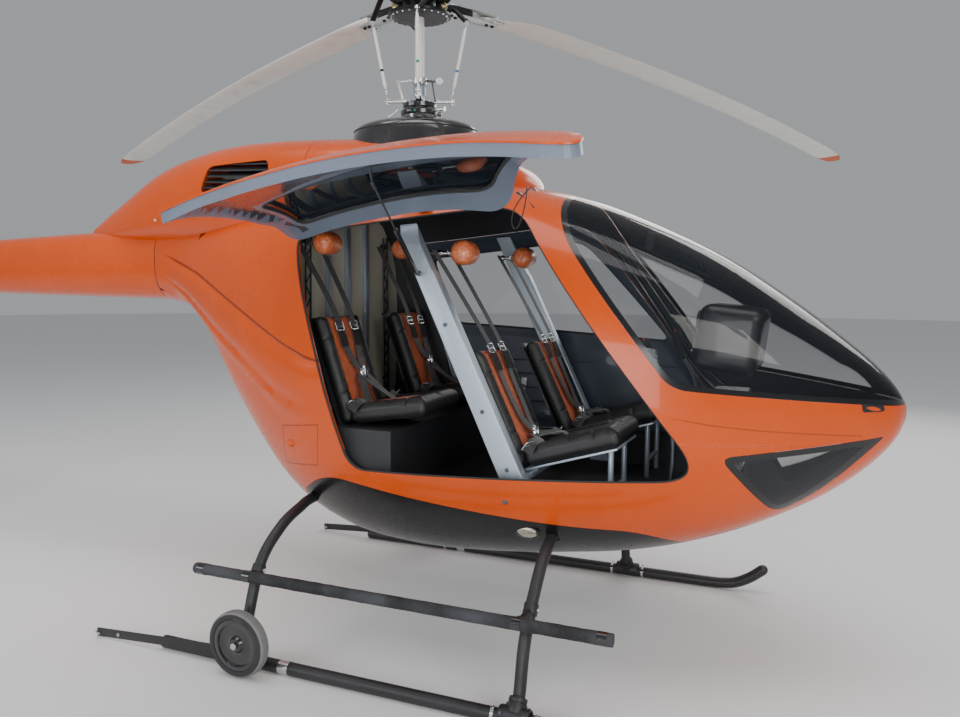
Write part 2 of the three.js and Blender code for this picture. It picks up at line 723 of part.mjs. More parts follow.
// Seats: a cushion and a back joined at their corner
function addSeats() {
  [['right', -1], ['left', 1]].forEach(([name, side]) => {
    SEAT_ROWS.forEach(([row, x, z, cushionLength, rise, backLength, lean]) => {
      const up = THREE.MathUtils.degToRad(rise);
      const back = THREE.MathUtils.degToRad(lean);
      const cushion = softBlock(
        [cushionLength, SEAT_WIDTH, CUSHION_DEPTH],
        28,
        [
          x + Math.cos(up) * cushionLength / 2 + Math.sin(up) * CUSHION_DEPTH / 2,
          side * SEAT_Y,
          z + Math.sin(up) * cushionLength / 2 - Math.cos(up) * CUSHION_DEPTH / 2,
        ],
        [0, -up, 0],
      );
      const rest = softBlock(
        [BACK_DEPTH, BACK_WIDTH, backLength + CUSHION_DEPTH],
        26,
        [
          x - Math.sin(back) * (backLength - CUSHION_DEPTH) / 2 - Math.cos(back) * BACK_DEPTH / 2,
          side * SEAT_Y,
          z + Math.cos(back) * (backLength - CUSHION_DEPTH) / 2 - Math.sin(back) * BACK_DEPTH / 2,
        ],
        [0, -back, 0],
      );
      addPiece(`${row}_${name}_seat`, cushion.add(rest), FINISH.leather());
    });
    const y = side * HEADREST_Y;
    const [frontX, frontZ] = FRONT_HEADREST;
    const postFace = side * (POST_Y - POST_DEPTH / 2 - SEAT_GAP);
    const backwardArm = bar([frontX, y, frontZ], [HEADREST_ELBOW_X - 10, y, frontZ], 10);
    const sidewardArm = bar([HEADREST_ELBOW_X, y, frontZ], [HEADREST_ELBOW_X, postFace, frontZ], 10);
    const frontRest = join([headrestRoll(frontX, y, frontZ), backwardArm, sidewardArm]);
    addPiece(`front_${name}_headrest`, frontRest, FINISH.orangeCloth());
    const [rearX, rearZ] = REAR_HEADREST;
    const rearArm = bar([rearX, y, rearZ], [BULKHEAD_X + SEAT_GAP, y, rearZ], 10);
    addPiece(`rear_${name}_headrest`, headrestRoll(rearX, y, rearZ).add(rearArm), FINISH.orangeCloth());
  });
  addPiece('front_seat_frame', frontSeatFrame(), FINISH.aluminium());
  const boxFoot = FLOOR_Z + SEAT_GAP;
  const boxMiddle = [BULKHEAD_X + SEAT_GAP + REAR_BOX_DEPTH / 2, 0, boxFoot + REAR_BOX_HEIGHT / 2];
  const rearBox = podInside.intersect(block([REAR_BOX_DEPTH, REAR_BOX_WIDTH, REAR_BOX_HEIGHT], boxMiddle));
  addPiece('rear_seat_box', rearBox, FINISH.black());
}

function headrestRoll(x, y, z) {
  return bar([x, y - HEADREST_HALF, z], [x, y + HEADREST_HALF, z], HEADREST_RADIUS, 14);
}

// Two beams across the cabin, with a sloped pan and two legs under each front seat
function frontSeatFrame() {
  const reach = POST_Y - POST_DEPTH / 2 - SEAT_GAP;
  const [beamX, beamZ] = SEAT_BEAM;
  const pieces = [bar([beamX, -reach, beamZ], [beamX, reach, beamZ], 20, 12)];
  [-1, 1].forEach((side) => {
    const pan = block([400, 330, 10], [926, side * SEAT_Y, 925.6], [0, -SEAT_RISE, 0]);
    pieces.push(pan);
    [-110, 110].forEach((offset) => {
      const y = side * SEAT_Y + offset;
      pieces.push(bar([beamX, y, beamZ], [778, y, 870], 12, 8));
      pieces.push(bar([1080, y, 970], [1080, y, FLOOR_Z + SEAT_GAP], 12, 8));
    });
  });
  return join(pieces);
}

// Instruments, switches and flight controls
function addCockpit() {
  const foot = FLOOR_Z + SEAT_GAP;
  const sideBar = ([start, end], y, ...rest) => bar([start[0], y, start[1]], [end[0], y, end[1]], ...rest);
  const pedestal = block(PEDESTAL.size, [PEDESTAL.x, 0, foot + PEDESTAL.size[2] / 2]);
  const pod = softBlock(POD.size, POD.rounding, POD.middle, [0, POD.tilt, 0]);
  addPiece('instrument_pod', pedestal.add(pod), FINISH.black());
  const rail = sideBar(SWITCH_RAIL, 0, 11, 10);
  const hangers = RAIL_HANGERS.map(([x, z]) => bar([x, 0, z], [x + 22, 0, z + 90], 8, 8));
  addPiece('switch_bar', join([rail, ...hangers]).intersect(canopyInside), FINISH.black());
  [['right', -1], ['left', 1]].forEach(([name, side]) => {
    const y = side * SEAT_Y;
    const stick = tube(STICK_PATH.map(([x, z]) => [x, y, z]), 11, 6, 6);
    const grip = sideBar(STICK_GRIP, y, 19, 12, 23);
    const [bootX] = STICK_PATH[0];
    const boot = bar([bootX, y, foot], [bootX, y, foot + BOOT_HEIGHT], 48, 14, 22);
    addPiece(`${name}_cyclic_stick`, join([stick, grip, boot]), FINISH.black());
    addPiece(`${name}_pedals`, pedals(side * PEDAL_Y), FINISH.aluminium());
  });
}

// A foot plate on the floor with two leaning pedals
function pedals(y) {
  const thickness = PEDAL_PLATE[2];
  const pieces = [block(PEDAL_PLATE, [1440, y, FLOOR_Z + SEAT_GAP + thickness / 2])];
  const [low, high] = PEDAL_ARM;
  PEDAL_OFFSETS.forEach((offset) => {
    pieces.push(bar([low[0], y + offset, low[1]], [high[0], y + offset, high[1]], 9, 8));
    pieces.push(block([14, 72, 74], [1556, y + offset, 915], [0, 0.4, 0]));
  });
  return join(pieces);
}

// Fairings over the engine and the mast
function addFairings() {
  const clearOfPod = stationLoft(POD_STATIONS, POD_RINGS, -SEAT_GAP, NOSE_SHIFT);
  const clearOfBoom = stationLoft(BOOM_STATIONS, BOOM_RINGS, -SEAT_GAP, 0);
  const domeSpace = dome(0.4, 0);
  const mastHole = bar([0, 0, 2000], [0, 0, 2500], 60, 20);
  [['engine_cowl', ENGINE_COWL], ['mast_cowl', MAST_COWL]].forEach(([name, rows]) => {
    const wall = stationLoft(rows, COWL_RINGS, 0, 0).subtract(stationLoft(rows, COWL_RINGS, COWL_WALL, 0.4));
    const cowl = wall.subtract(clearOfPod).subtract(clearOfBoom).subtract(domeSpace).subtract(mastHole);
    addPiece(name, largest(cowl), FINISH.orange());
  });
  const mastClearance = bar([0, 0, 2000], [0, 0, 2500], MAST_RADIUS + DOME_HOLE_GAP, 16);
  const holes = join([mastClearance, ...controlRods(CONTROL_ROD_RADIUS + 0.4)]);
  addPiece('mast_dome', dome(0, DOME_WALL).subtract(holes), FINISH.black());
}

function largest(body) {
  return body.decompose().sort((a, b) => b.volume() - a.volume())[0];
}

// The black dome round the mast: an oval cap, solid when its wall is zero
function dome(grow, wall) {
  const cap = (offset, base) => {
    const curve = DOME_CURVE.map(([z, radius]) => [z + offset, radius && radius + offset]);
    const profile = [[base, 0], [base, DOME_FOOT_RADIUS + offset], ...curve];
    const body = turnedAboutZ(profile, [0, 0, 0], 20);
    return body.scale([1, 0.88, 1]).translate([DOME_X, 0, 0]);
  };
  const outer = cap(grow, DOME_BASE - grow);
  return wall === 0 ? outer : outer.subtract(cap(-wall, DOME_BASE - 50));
}

// Tail boom, fins, stabiliser and guard
function addTail() {
  const outer = stationLoft(BOOM_STATIONS, BOOM_RINGS, 0, 0);
  const inner = stationLoft(
    BOOM_STATIONS.map(([x, ...rest], index) => [index === 0 ? x + 12 : x + (index === 3 ? 20 : 0), ...rest]),
    BOOM_RINGS,
    BOOM_WALL,
    0,
  );
  const clear = stationLoft(BOOM_STATIONS, BOOM_RINGS, -SEAT_GAP, 0);
  const fin = (rows) => closedLoft(rows.map(([z, lead, trail, thick]) => airfoil(lead, trail, thick)
    .map(([x, y]) => new THREE.Vector3(x, y, z)))).subtract(clear);
  addPiece('upper_fin', fin(UPPER_FIN), FINISH.orange());
  const plane = (grow) => closedLoft(
    STABILISER.map(([y, lead, trail, thick]) => airfoil(lead + grow, trail - grow, thick + grow * 2)
      .map(([x, t]) => new THREE.Vector3(x, y, STABILISER_Z + t))
      .reverse()),
  );
  addPiece('tail_boom', outer.subtract(inner).subtract(plane(STABILISER_GAP)), FINISH.orange());
  addPiece('stabiliser', plane(0), FINISH.orange());
  const guard = tube(TAIL_GUARD.map(([x, z]) => [x, 0, z]), 11, 10, 6);
  addPiece('lower_fin', fin(LOWER_FIN).add(guard), FINISH.orange());
  const casingEnd = [TAIL_ROTOR_X, TAIL_GEARBOX_Y, TAIL_ROTOR_Z];
  const casing = bar([TAIL_ROTOR_X, 60, TAIL_ROTOR_Z], casingEnd, 68, 16, 44);
  addPiece('tail_gearbox', largest(casing.subtract(clear)), FINISH.black());
}

// A closed body through rings of the same number of points
function closedLoft(sections) {
  return solid(new LoftGeometry(sections, { capStart: true, capEnd: true }));
}

// A thin closed wing section of eight points between two edges
function airfoil(lead, trail, thick) {
  const chord = lead - trail;
  const half = [[0, 0], [0.08, 0.6], [0.3, 1], [0.65, 0.68], [1, 0.06]];
  const upper = half.map(([share, rise]) => [lead - chord * share, rise * thick / 2]);
  const lower = half.slice(1).reverse().map(([share, rise]) => [lead - chord * share, -rise * thick / 2]);
  return [...upper, ...lower];
}

function addTailRotor() {
  const hubStart = [TAIL_ROTOR_X, TAIL_GEARBOX_Y + SEAT_GAP, TAIL_ROTOR_Z];
  const hub = bar(hubStart, [TAIL_ROTOR_X, TAIL_HUB_Y + 30, TAIL_ROTOR_Z], 20, 12);
  const yoke = block([70, 30, 260], [TAIL_ROTOR_X, TAIL_HUB_Y, TAIL_ROTOR_Z]);
  const blades = [-1, 1].map((side) => {
    const place = (x, t, reach) => new THREE.Vector3(x * side, t, side * reach)
      .add(new THREE.Vector3(TAIL_ROTOR_X, TAIL_HUB_Y, TAIL_ROTOR_Z));
    return closedLoft(TAIL_BLADE.map(([reach, chord, thick]) => airfoil(chord * 0.4, -chord * 0.6, thick)
      .map(([x, t]) => place(x, t, reach))));
  });
  addPiece('tail_rotor', join([hub, yoke, ...blades]), FINISH.blade());
}

// Mast, swashplates, pitch links and hub turn together
function addRotor() {
  const mast = bar([0, 0, GEARBOX_TOP + SEAT_GAP], [0, 0, HUB_Z + 40], MAST_RADIUS, 12);
  const plate = bar([0, 0, STAR_Z - 13], [0, 0, STAR_Z + 13], PLATE_RADIUS, 16);
  const collar = bar([0, 0, COLLAR_Z - 16], [0, 0, COLLAR_Z + 16], COLLAR_RADIUS, 16);
  const hub = bar([0, 0, HUB_Z - HUB_BELOW], [0, 0, HUB_Z + HUB_ABOVE], HUB_RADIUS, 16);
  const pieces = [mast, plate, collar, hub];
  for (let i = 0; i < BLADE_COUNT; i += 1) {
    const link = bladeAzimuth(i) - LINK_LEAD;
    const bottom = polar(LINK_BOTTOM_RADIUS, link, LINK_BOTTOM_Z);
    pieces.push(bar(polar(60, link, STAR_Z), polar(LINK_BOTTOM_RADIUS, link, STAR_Z), 11, 6));
    pieces.push(bar(polar(LINK_BOTTOM_RADIUS, link, STAR_Z - 8), bottom, 9, 6));
    pieces.push(bar(bottom, polar(LINK_TOP_RADIUS, link, LINK_TOP_Z), 7, 6));
  }
  addPiece('rotor_head', join(pieces), FINISH.black());
  for (let i = 0; i < BLADE_COUNT; i += 1) {
    addPiece(`rotor_blade_${i + 1}`, rotorBlade(bladeAzimuth(i)), FINISH.blade());
  }
  const standing = (radius, half, sides) => bar(
    [0, 0, FIXED_RING_Z - half],
    [0, 0, FIXED_RING_Z + half],
    radius,
    sides,
  );
  const ring = standing(PLATE_RADIUS, 13, 24).subtract(standing(MAST_RADIUS + FIXED_RING_GAP, 25, 20));
  addPiece('fixed_swashplate', join([ring, ...controlRods(CONTROL_ROD_RADIUS)]), FINISH.aluminium());
}

const bladeAzimuth = (index) => FIRST_BLADE + (index / BLADE_COUNT) * Math.PI * 2;

// The three rods that hold the fixed swashplate up from the gearbox
function controlRods(radius) {
  return [30, 150, 270].map((degrees) => {
    const angle = THREE.MathUtils.degToRad(degrees);
    const foot = polar(CONTROL_ROD_REACH, angle, GEARBOX_TOP + SEAT_GAP);
    return bar(polar(CONTROL_ROD_REACH, angle, FIXED_RING_Z), foot, radius, 8);
  });
}

const polar = (radius, angle, z) => [radius * Math.cos(angle), radius * Math.sin(angle), z];

// Cuff and blade in one, built along +X with the blade's sag, and then turned to its place
function rotorBlade(azimuth) {
  const cuffEnd = BLADE_ROOT + 30;
  const cuff = block([cuffEnd - CUFF_START, 92, 46], [(cuffEnd + CUFF_START) / 2, 0, 0]);
  const blade = closedLoft(BLADE.map(([reach, chord, thick]) => airfoil(chord * 0.3, -chord * 0.7, thick)
    .map(([y, t]) => new THREE.Vector3(reach, y, t - BLADE_SAG * reach * reach))));
  return cuff.add(blade)
    .translate([0, 0, HUB_Z])
    .rotate([0, 0, THREE.MathUtils.radToDeg(azimuth)]);
}

// Skids with their saddles, cross tubes, steps and ground wheels
function addLandingGear() {
  [['right', -1], ['left', 1]].forEach(([name, side]) => {
    const y = side * SKID_Y;
    const runner = bar([SKID_REAR, y, SKID_RADIUS], [SKID_BEND, y, SKID_RADIUS], SKID_RADIUS, 12);
    const skid = runner.add(tube(SKID_TOE.map(([x, z]) => [x, y, z]), SKID_RADIUS - 0.5, 7, 12));
    const saddles = [[FRONT_TUBE_X, FRONT_LEG], [REAR_TUBE_X, REAR_LEG]].map(([x, leg]) => {
      const top = new THREE.Vector3(x, side * leg[0][0], leg[0][1]);
      const centre = new THREE.Vector3(x, y, SKID_RADIUS);
      const stubTop = top.lerp(centre, LEG_GAP / top.distanceTo(centre));
      return join([
        bar([x - 60, y, SKID_RADIUS], [x + 60, y, SKID_RADIUS], SADDLE_RADIUS, 12),
        bar(centre.toArray(), stubTop.toArray(), 33, 12),
      ]);
    });
    const aboveGround = block([4000, 500, 400], [0, y, 200]);
    const whole = join([skid, ...saddles, wheelLever(side)]).intersect(aboveGround);
    addPiece(`${name}_skid`, whole, FINISH.black());
    const step = bar([-640, side * STEP_Y, STEP_Z], [1220, side * STEP_Y, STEP_Z], STEP_RADIUS, 12);
    addPiece(`${name}_step`, step, FINISH.rubber());
    addWheel(name, side);
  });
  [
    ['front_cross_tube', FRONT_LEG, FRONT_TUBE_X, 728],
    ['rear_cross_tube', REAR_LEG, REAR_TUBE_X, 808],
  ].forEach(([name, leg, x, legY]) => {
    addPiece(name, join([crossTube(leg, x, LEG_RADIUS), ...stepStubs(x, legY)]), FINISH.black());
  });
}

function addWheel(name, side) {
  const half = WHEEL_HALF_WIDTH;
  const bore = AXLE_RADIUS + 0.8;
  const shoulder = WHEEL_RADIUS - 12;
  const section = [[half, bore], [half, 78], [half, shoulder], [half * 0.6, WHEEL_RADIUS]];
  const mirrored = section.map(([along, radius]) => [-along, radius]);
  const profile = [...mirrored, ...section.reverse(), mirrored[0]];
  const wheel = turnedAboutY(profile, [WHEEL_X, side * WHEEL_Y, WHEEL_Z], 18);
  addPiece(`${name}_ground_wheel`, wheel, FINISH.rubber());
}

// The flat lever and axle that carry a ground wheel, bolted to the rear saddle
function wheelLever(side) {
  const plateY = side * (SKID_Y + SADDLE_RADIUS - LEVER_SEAT + LEVER_THICKNESS / 2);
  const arm = block([850, LEVER_THICKNESS, 38], [-755, plateY, 48], [0, -0.062, 0]);
  const plate = block([70, LEVER_THICKNESS, 110], [-350, plateY, 105]);
  const axleEnd = side * (WHEEL_Y + WHEEL_HALF_WIDTH + 10);
  const axle = bar([WHEEL_X, plateY, WHEEL_Z], [WHEEL_X, axleEnd, WHEEL_Z], AXLE_RADIUS, 12);
  return join([arm, plate, axle]);
}

// Each door's gas strut: a sleeve on the post and a rod whose eye meets the ball on the door
function addStruts() {
  [['right', -1, DOOR_OPEN_ANGLE], ['left', 1, 0]].forEach(([name, side, opened]) => {
    const pin = new THREE.Vector3(STRUT_PIN[0], side * STRUT_PIN[1], STRUT_PIN[2]);
    const ball = strutBall(side, opened);
    const along = ball.clone().sub(pin).normalize();
    const at = (distance) => pin.clone().addScaledVector(along, distance).toArray();
    const reach = ball.distanceTo(pin);
    const sleeve = bar(at(0), at(STRUT_SLEEVE), 10, 12).subtract(bar(at(32), at(STRUT_SLEEVE + 5), 5, 12));
    addPiece(`${name}_strut_sleeve`, sleeve, FINISH.black());
    const eye = new THREE.SphereGeometry(ROD_EYE, 10, 8);
    eye.translate(ball.x, ball.y, ball.z);
    const rod = bar(at(reach - STRUT_ROD), at(reach), 4, 8).add(solid(eye));
    addPiece(`${name}_strut_rod`, rod, FINISH.steel());
  });
}

// Where the ball on a door stands with the door turned open by an angle
function strutBall(side, opened) {
  const closed = new THREE.Vector3(STRUT_BALL[0], side * STRUT_BALL[1], STRUT_BALL[2]);
  return closed.applyMatrix4(doorTurn(side, side * opened));
}

addFuselage();
addDoors();
addStruts();
addCabinStructure();
addPosts();
addSeats();
addCockpit();
addFairings();
addTail();
addTailRotor();
addRotor();
addLandingGear();

export default helicopter;
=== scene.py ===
# %% [markdown]
# # A light helicopter with its door open
# This lesson dresses a imported model of a four-seat helicopter. The imported model gives every piece its
# real place and size, in metres: +X is the nose, +Y the left side, +Z is up, and the mast stands on Z.
# The first cell loads it.

# %% Load the imported model
import bmesh
import bpy
import json
import math
import random
from mathutils import Matrix, Vector

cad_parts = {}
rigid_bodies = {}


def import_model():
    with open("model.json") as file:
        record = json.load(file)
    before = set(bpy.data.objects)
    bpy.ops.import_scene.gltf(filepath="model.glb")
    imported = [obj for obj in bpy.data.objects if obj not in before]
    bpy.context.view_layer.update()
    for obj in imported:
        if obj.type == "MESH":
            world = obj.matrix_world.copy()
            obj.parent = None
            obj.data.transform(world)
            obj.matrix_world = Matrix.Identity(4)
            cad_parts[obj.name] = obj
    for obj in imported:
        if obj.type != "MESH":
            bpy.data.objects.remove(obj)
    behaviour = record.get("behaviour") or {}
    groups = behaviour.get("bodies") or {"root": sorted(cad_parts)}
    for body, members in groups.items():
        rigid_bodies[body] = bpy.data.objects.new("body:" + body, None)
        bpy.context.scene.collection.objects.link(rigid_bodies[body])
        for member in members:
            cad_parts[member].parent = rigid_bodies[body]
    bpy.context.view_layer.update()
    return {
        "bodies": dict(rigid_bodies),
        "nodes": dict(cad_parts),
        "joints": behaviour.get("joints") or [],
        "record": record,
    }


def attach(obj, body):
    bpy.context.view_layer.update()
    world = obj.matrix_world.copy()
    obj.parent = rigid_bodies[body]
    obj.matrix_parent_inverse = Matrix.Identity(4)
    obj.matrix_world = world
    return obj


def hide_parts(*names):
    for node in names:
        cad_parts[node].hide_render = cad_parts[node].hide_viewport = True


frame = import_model()
nodes = frame["nodes"]

# %% [markdown]
# ## Camera
# The photograph was taken from the right side, a little ahead of the door and at eye height. A camera is
# best given by its place and three angles, because those can be read from the picture's straight lines.

# %% Camera
def linked(name, data):
    """A new object of its data, put into the scene."""
    made = bpy.data.objects.new(name, data)
    bpy.context.scene.collection.objects.link(made)
    return made


CAMERA_PLACE = Vector((1.89, -3.658, 1.62))
CAMERA_YAW, CAMERA_PITCH, CAMERA_ROLL = (math.radians(a) for a in (23.2, 5.1, 0.35))
LENS = 31.52


def camera_axes(yaw, pitch, roll):
    back = Vector((math.sin(yaw) * math.cos(pitch), -math.cos(yaw) * math.cos(pitch), math.sin(pitch)))
    right = (-back).cross(Vector((0, 0, 1))).normalized()
    up = right.cross(-back)
    turned_right = right * math.cos(roll) + up * math.sin(roll)
    turned_up = up * math.cos(roll) - right * math.sin(roll)
    return turned_right, turned_up, back


camera_data = bpy.data.cameras.new("camera")
camera = linked("camera", camera_data)
bpy.context.scene.camera = camera
camera_data.lens = LENS
camera_data.sensor_width = 36
camera_data.clip_start, camera_data.clip_end = 0.05, 200
turn = Matrix(camera_axes(CAMERA_YAW, CAMERA_PITCH, CAMERA_ROLL)).transposed().to_4x4()
camera.matrix_world = Matrix.Translation(CAMERA_PLACE) @ turn
print("camera", tuple(camera.location), "lens", camera_data.lens)

# %% [markdown]
# ## Studio
# Glossy paint shows whatever stands round it, so the studio is a wide pale floor under large soft lights.
# Long panels overhead draw clean highlights along the body, and a softer one fills the open cabin.

# %% Studio lights and floor
def area_light(name, place, aim, size, power, colour=(1, 1, 1)):
    data = bpy.data.lights.new(name, "AREA")
    data.shape = "RECTANGLE"
    data.size, data.size_y = size
    data.energy = power
    data.color = colour
    light = linked(name, data)
    light.location = place
    light.rotation_mode = "QUATERNION"
    light.rotation_quaternion = (Vector(aim) - Vector(place)).to_track_quat("-Z", "Y")


area_light("overhead_panel", (0.5, -1.5, 7.5), (0.3, 0, 1.2), (9, 4), 380)
area_light("front_panel", (6.5, -5.5, 4.2), (0.8, 0, 1.2), (4, 3), 240, (1, 0.97, 0.92))
area_light("side_panel", (-4.5, -7.0, 3.6), (-0.6, 0, 1.2), (5, 3), 200, (0.94, 0.97, 1))
area_light("cabin_fill", (1.6, -5.6, 1.1), (0.3, 0, 1.35), (2.6, 1.6), 90, (0.97, 0.98, 1))
area_light("far_panel", (2.0, 7.5, 4.5), (0.4, 0, 1.3), (7, 3), 220, (1, 0.98, 0.95))

world = bpy.data.worlds.new("studio")
bpy.context.scene.world = world
world.use_nodes = True
world.node_tree.nodes["Background"].inputs["Color"].default_value = (0.86, 0.89, 0.93, 1)
world.node_tree.nodes["Background"].inputs["Strength"].default_value = 0.42

floor_shape = bmesh.new()
bmesh.ops.create_circle(floor_shape, cap_ends=True, segments=96, radius=42)
floor_mesh = bpy.data.meshes.new("studio_floor")
floor_shape.to_mesh(floor_mesh)
floor_shape.free()
studio_floor = linked("studio_floor", floor_mesh)
studio_floor.location.z = -0.002

# %% [markdown]
# ## Shader maths
# A finish is easier to read as a sum than as a wall of nodes. `Field` stands for one value over a
# surface, and arithmetic on it adds the Math nodes. `Finish` holds one material. Its `node` method makes
# any other node from its type, its settings and its sockets.

# %% Shader helpers
def math_node(operation, reflected=False):
    """Makes a method that adds one Math node. A reflected one takes its own value last."""
    def method(self, *others):
        values = (*others, self) if reflected else (self, *others)
        return self.finish.node("ShaderNodeMath", {"operation": operation}, dict(enumerate(values)))
    return method


class Field:
    """A value over a surface that takes part in sums."""

    def __init__(self, finish, socket):
        self.finish = finish
        self.socket = socket

    __add__ = __radd__ = math_node("ADD")
    __sub__ = math_node("SUBTRACT")
    __rsub__ = math_node("SUBTRACT", reflected=True)
    __mul__ = __rmul__ = math_node("MULTIPLY")
    __truediv__ = math_node("DIVIDE")
    __abs__ = math_node("ABSOLUTE")
    fraction = math_node("FRACT")
    larger = math_node("MAXIMUM")
    smaller = math_node("MINIMUM")

    def between(self, low, high):
        """0 below low, 1 above high and smooth between."""
        settings = {"interpolation_type": "SMOOTHSTEP", "clamp": True}
        sockets = {0: self, 1: low, 2: high, 3: 0.0, 4: 1.0}
        return self.finish.node("ShaderNodeMapRange", settings, sockets)


class Finish:
    """One material with its Principled shader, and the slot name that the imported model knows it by."""

    def __init__(self, name, slot="black_paint", **constants):
        self.slot = slot
        self.material = bpy.data.materials.new(name)
        self.material.use_nodes = True
        self.tree = self.material.node_tree
        self.shader = self.tree.nodes["Principled BSDF"]
        for socket, value in constants.items():
            self.shader.inputs[socket.replace("_", " ")].default_value = value

    def node(self, kind, settings=None, sockets=None, output=0):
        made = self.tree.nodes.new(kind)
        for key, value in (settings or {}).items():
            if key == "stops":
                elements = made.color_ramp.elements
                while len(elements) < len(value):
                    elements.new(0.5)
                for element, (place, colour) in zip(elements, value):
                    element.position, element.color = place, (*colour, 1)
            else:
                setattr(made, key, value)
        for key, value in (sockets or {}).items():
            if isinstance(value, Field):
                self.tree.links.new(value.socket, made.inputs[key])
            else:
                made.inputs[key].default_value = value
        return Field(self, made.outputs[output])

    def place(self, scale=(1, 1, 1), turn=(0, 0, 0)):
        """Object coordinates, stretched and turned."""
        where = self.node("ShaderNodeTexCoord", output=3)
        return self.node("ShaderNodeMapping", None, {"Vector": where, "Scale": scale, "Rotation": turn})

    def axis(self, index):
        where = self.node("ShaderNodeTexCoord", output=3)
        return self.node("ShaderNodeSeparateXYZ", None, {0: where}, index)

    def noise(self, scale, detail=3.0, roughness=0.55, where=None, distortion=0.0):
        sockets = {"Vector": where or self.place(), "Scale": scale, "Detail": detail, "Roughness": roughness,
                   "Distortion": distortion}
        return self.node("ShaderNodeTexNoise", None, sockets)

    def marked(self, name):
        """A value stored on the mesh by the modelling."""
        return self.node("ShaderNodeAttribute", {"attribute_name": name}, None, 2)

    def mix(self, share, one, two):
        """Colour `one` where share is 0 and `two` where it is 1."""
        colour = lambda c: c if isinstance(c, Field) else (*c, 1)
        return self.node("ShaderNodeMix", {"data_type": "RGBA"}, {0: share, 6: colour(one), 7: colour(two)},
                         2)

    def feed(self, **fields):
        for socket, value in fields.items():
            self.tree.links.new(value.socket, self.shader.inputs[socket.replace("_", " ")])
        return self

    def bump(self, height, distance=0.001, strength=1.0):
        sockets = {"Height": height, "Distance": distance, "Strength": strength}
        return self.feed(Normal=self.node("ShaderNodeBump", None, sockets))


print("shader helpers ready")

# %% [markdown]
# ## Modelling helpers
# Most pieces of an aircraft are turned, drawn through a bend, cut from sheet or moulded. Each way gets one
# short helper round the bmesh operators, and each works straight in the frame's metres, so that a
# finished piece needs no move afterwards.

# %% Rods, boxes, turned shapes and pipes
def placed(at=(0, 0, 0), turn=(0, 0, 0)):
    """A place and three turns in degrees, about X, then Y, then Z."""
    x, y, z = (Matrix.Rotation(math.radians(a), 4, axis) for a, axis in zip(turn, "XYZ"))
    return Matrix.Translation(at) @ z @ y @ x


def edges_between(verts):
    inside = set(verts)
    return list({e for v in verts for e in v.link_edges if all(end in inside for end in e.verts)})


def only_verts(made):
    return [item for item in made["geom"] if isinstance(item, bmesh.types.BMVert)]


def rounded(shape, edges, offset, segments=2):
    return bmesh.ops.bevel(shape, geom=edges, offset=offset, segments=segments, affect="EDGES", profile=0.5,
                           material=-1, clamp_overlap=True)


def box(shape, size, at, turn=(0, 0, 0), bevel=0.0, segments=2):
    place = placed(at, turn) @ Matrix.Diagonal((*size, 1))
    verts = bmesh.ops.create_cube(shape, size=1, matrix=place)["verts"]
    if bevel:
        rounded(shape, edges_between(verts), bevel, segments)
    return shape


def rod(shape, start, end, radius, end_radius=None, segments=24, bevel=0.0):
    start, end = Vector(start), Vector(end)
    along = end - start
    place = Matrix.Translation((start + end) / 2) @ along.to_track_quat("Z", "Y").to_matrix().to_4x4()
    verts = bmesh.ops.create_cone(
        shape, cap_ends=True, segments=segments, radius1=radius,
        radius2=radius if end_radius is None else end_radius, depth=along.length, matrix=place,
    )["verts"]
    if bevel:
        rims = [e for e in edges_between(verts) if any(len(f.verts) > 4 for f in e.link_faces)]
        rounded(shape, rims, bevel)
    return shape


def lathe(shape, profile, at=(0, 0, 0), axis=(0, 0, 1), steps=40):
    """Spins a half section of (distance along the axis, radius) into a closed turned shape."""
    axis = Vector(axis).normalized()
    out = axis.orthogonal().normalized()
    verts = [shape.verts.new(Vector(at) + axis * along + out * radius) for along, radius in profile]
    edges = [shape.edges.new(pair) for pair in zip(verts, verts[1:] + verts[:1])]
    bmesh.ops.spin(shape, geom=verts + edges, cent=at, axis=axis, angle=math.tau, steps=steps, use_merge=True)
    bmesh.ops.remove_doubles(shape, verts=shape.verts, dist=1e-6)
    bmesh.ops.dissolve_degenerate(shape, dist=1e-7, edges=shape.edges)
    bmesh.ops.delete(shape, geom=[edge for edge in shape.edges if edge.is_wire], context="EDGES")
    return shape


def symmetric(*half, middle=()):
    """A section of (distance, radius) from its outer half, listed from the end to the middle."""
    return [*((-along, radius) for along, radius in half), *middle, *reversed(half)]


def smooth_path(points, steps=6):
    """A smooth curve through points, as a list of places."""
    points = [Vector(p) for p in points]
    ends = [points[0] * 2 - points[1], *points, points[-1] * 2 - points[-2]]
    path = []
    for before, start, end, after in zip(ends, ends[1:], ends[2:], ends[3:]):
        for step in range(steps):
            t = step / steps
            path.append(0.5 * (
                2 * start + (end - before) * t
                + (2 * before - 5 * start + 4 * end - after) * t * t
                + (3 * start - before - 3 * end + after) * t ** 3
            ))
    return [*path, points[-1]]


def path_places(path, closed=False):
    """The place and turn of a section at each point of a path, without twist."""
    count = len(path)
    ways = []
    for i in range(count):
        before = path[i - 1] if i or closed else path[0]
        after = path[(i + 1) % count] if i < count - 1 or closed else path[-1]
        ways.append((after - before).normalized())
    side = ways[0].orthogonal().normalized()
    places = []
    for point, way in zip(path, ways):
        side = (side - way * side.dot(way)).normalized()
        places.append(Matrix.Translation(point) @ Matrix((side, way.cross(side), way)).transposed().to_4x4())
    return places


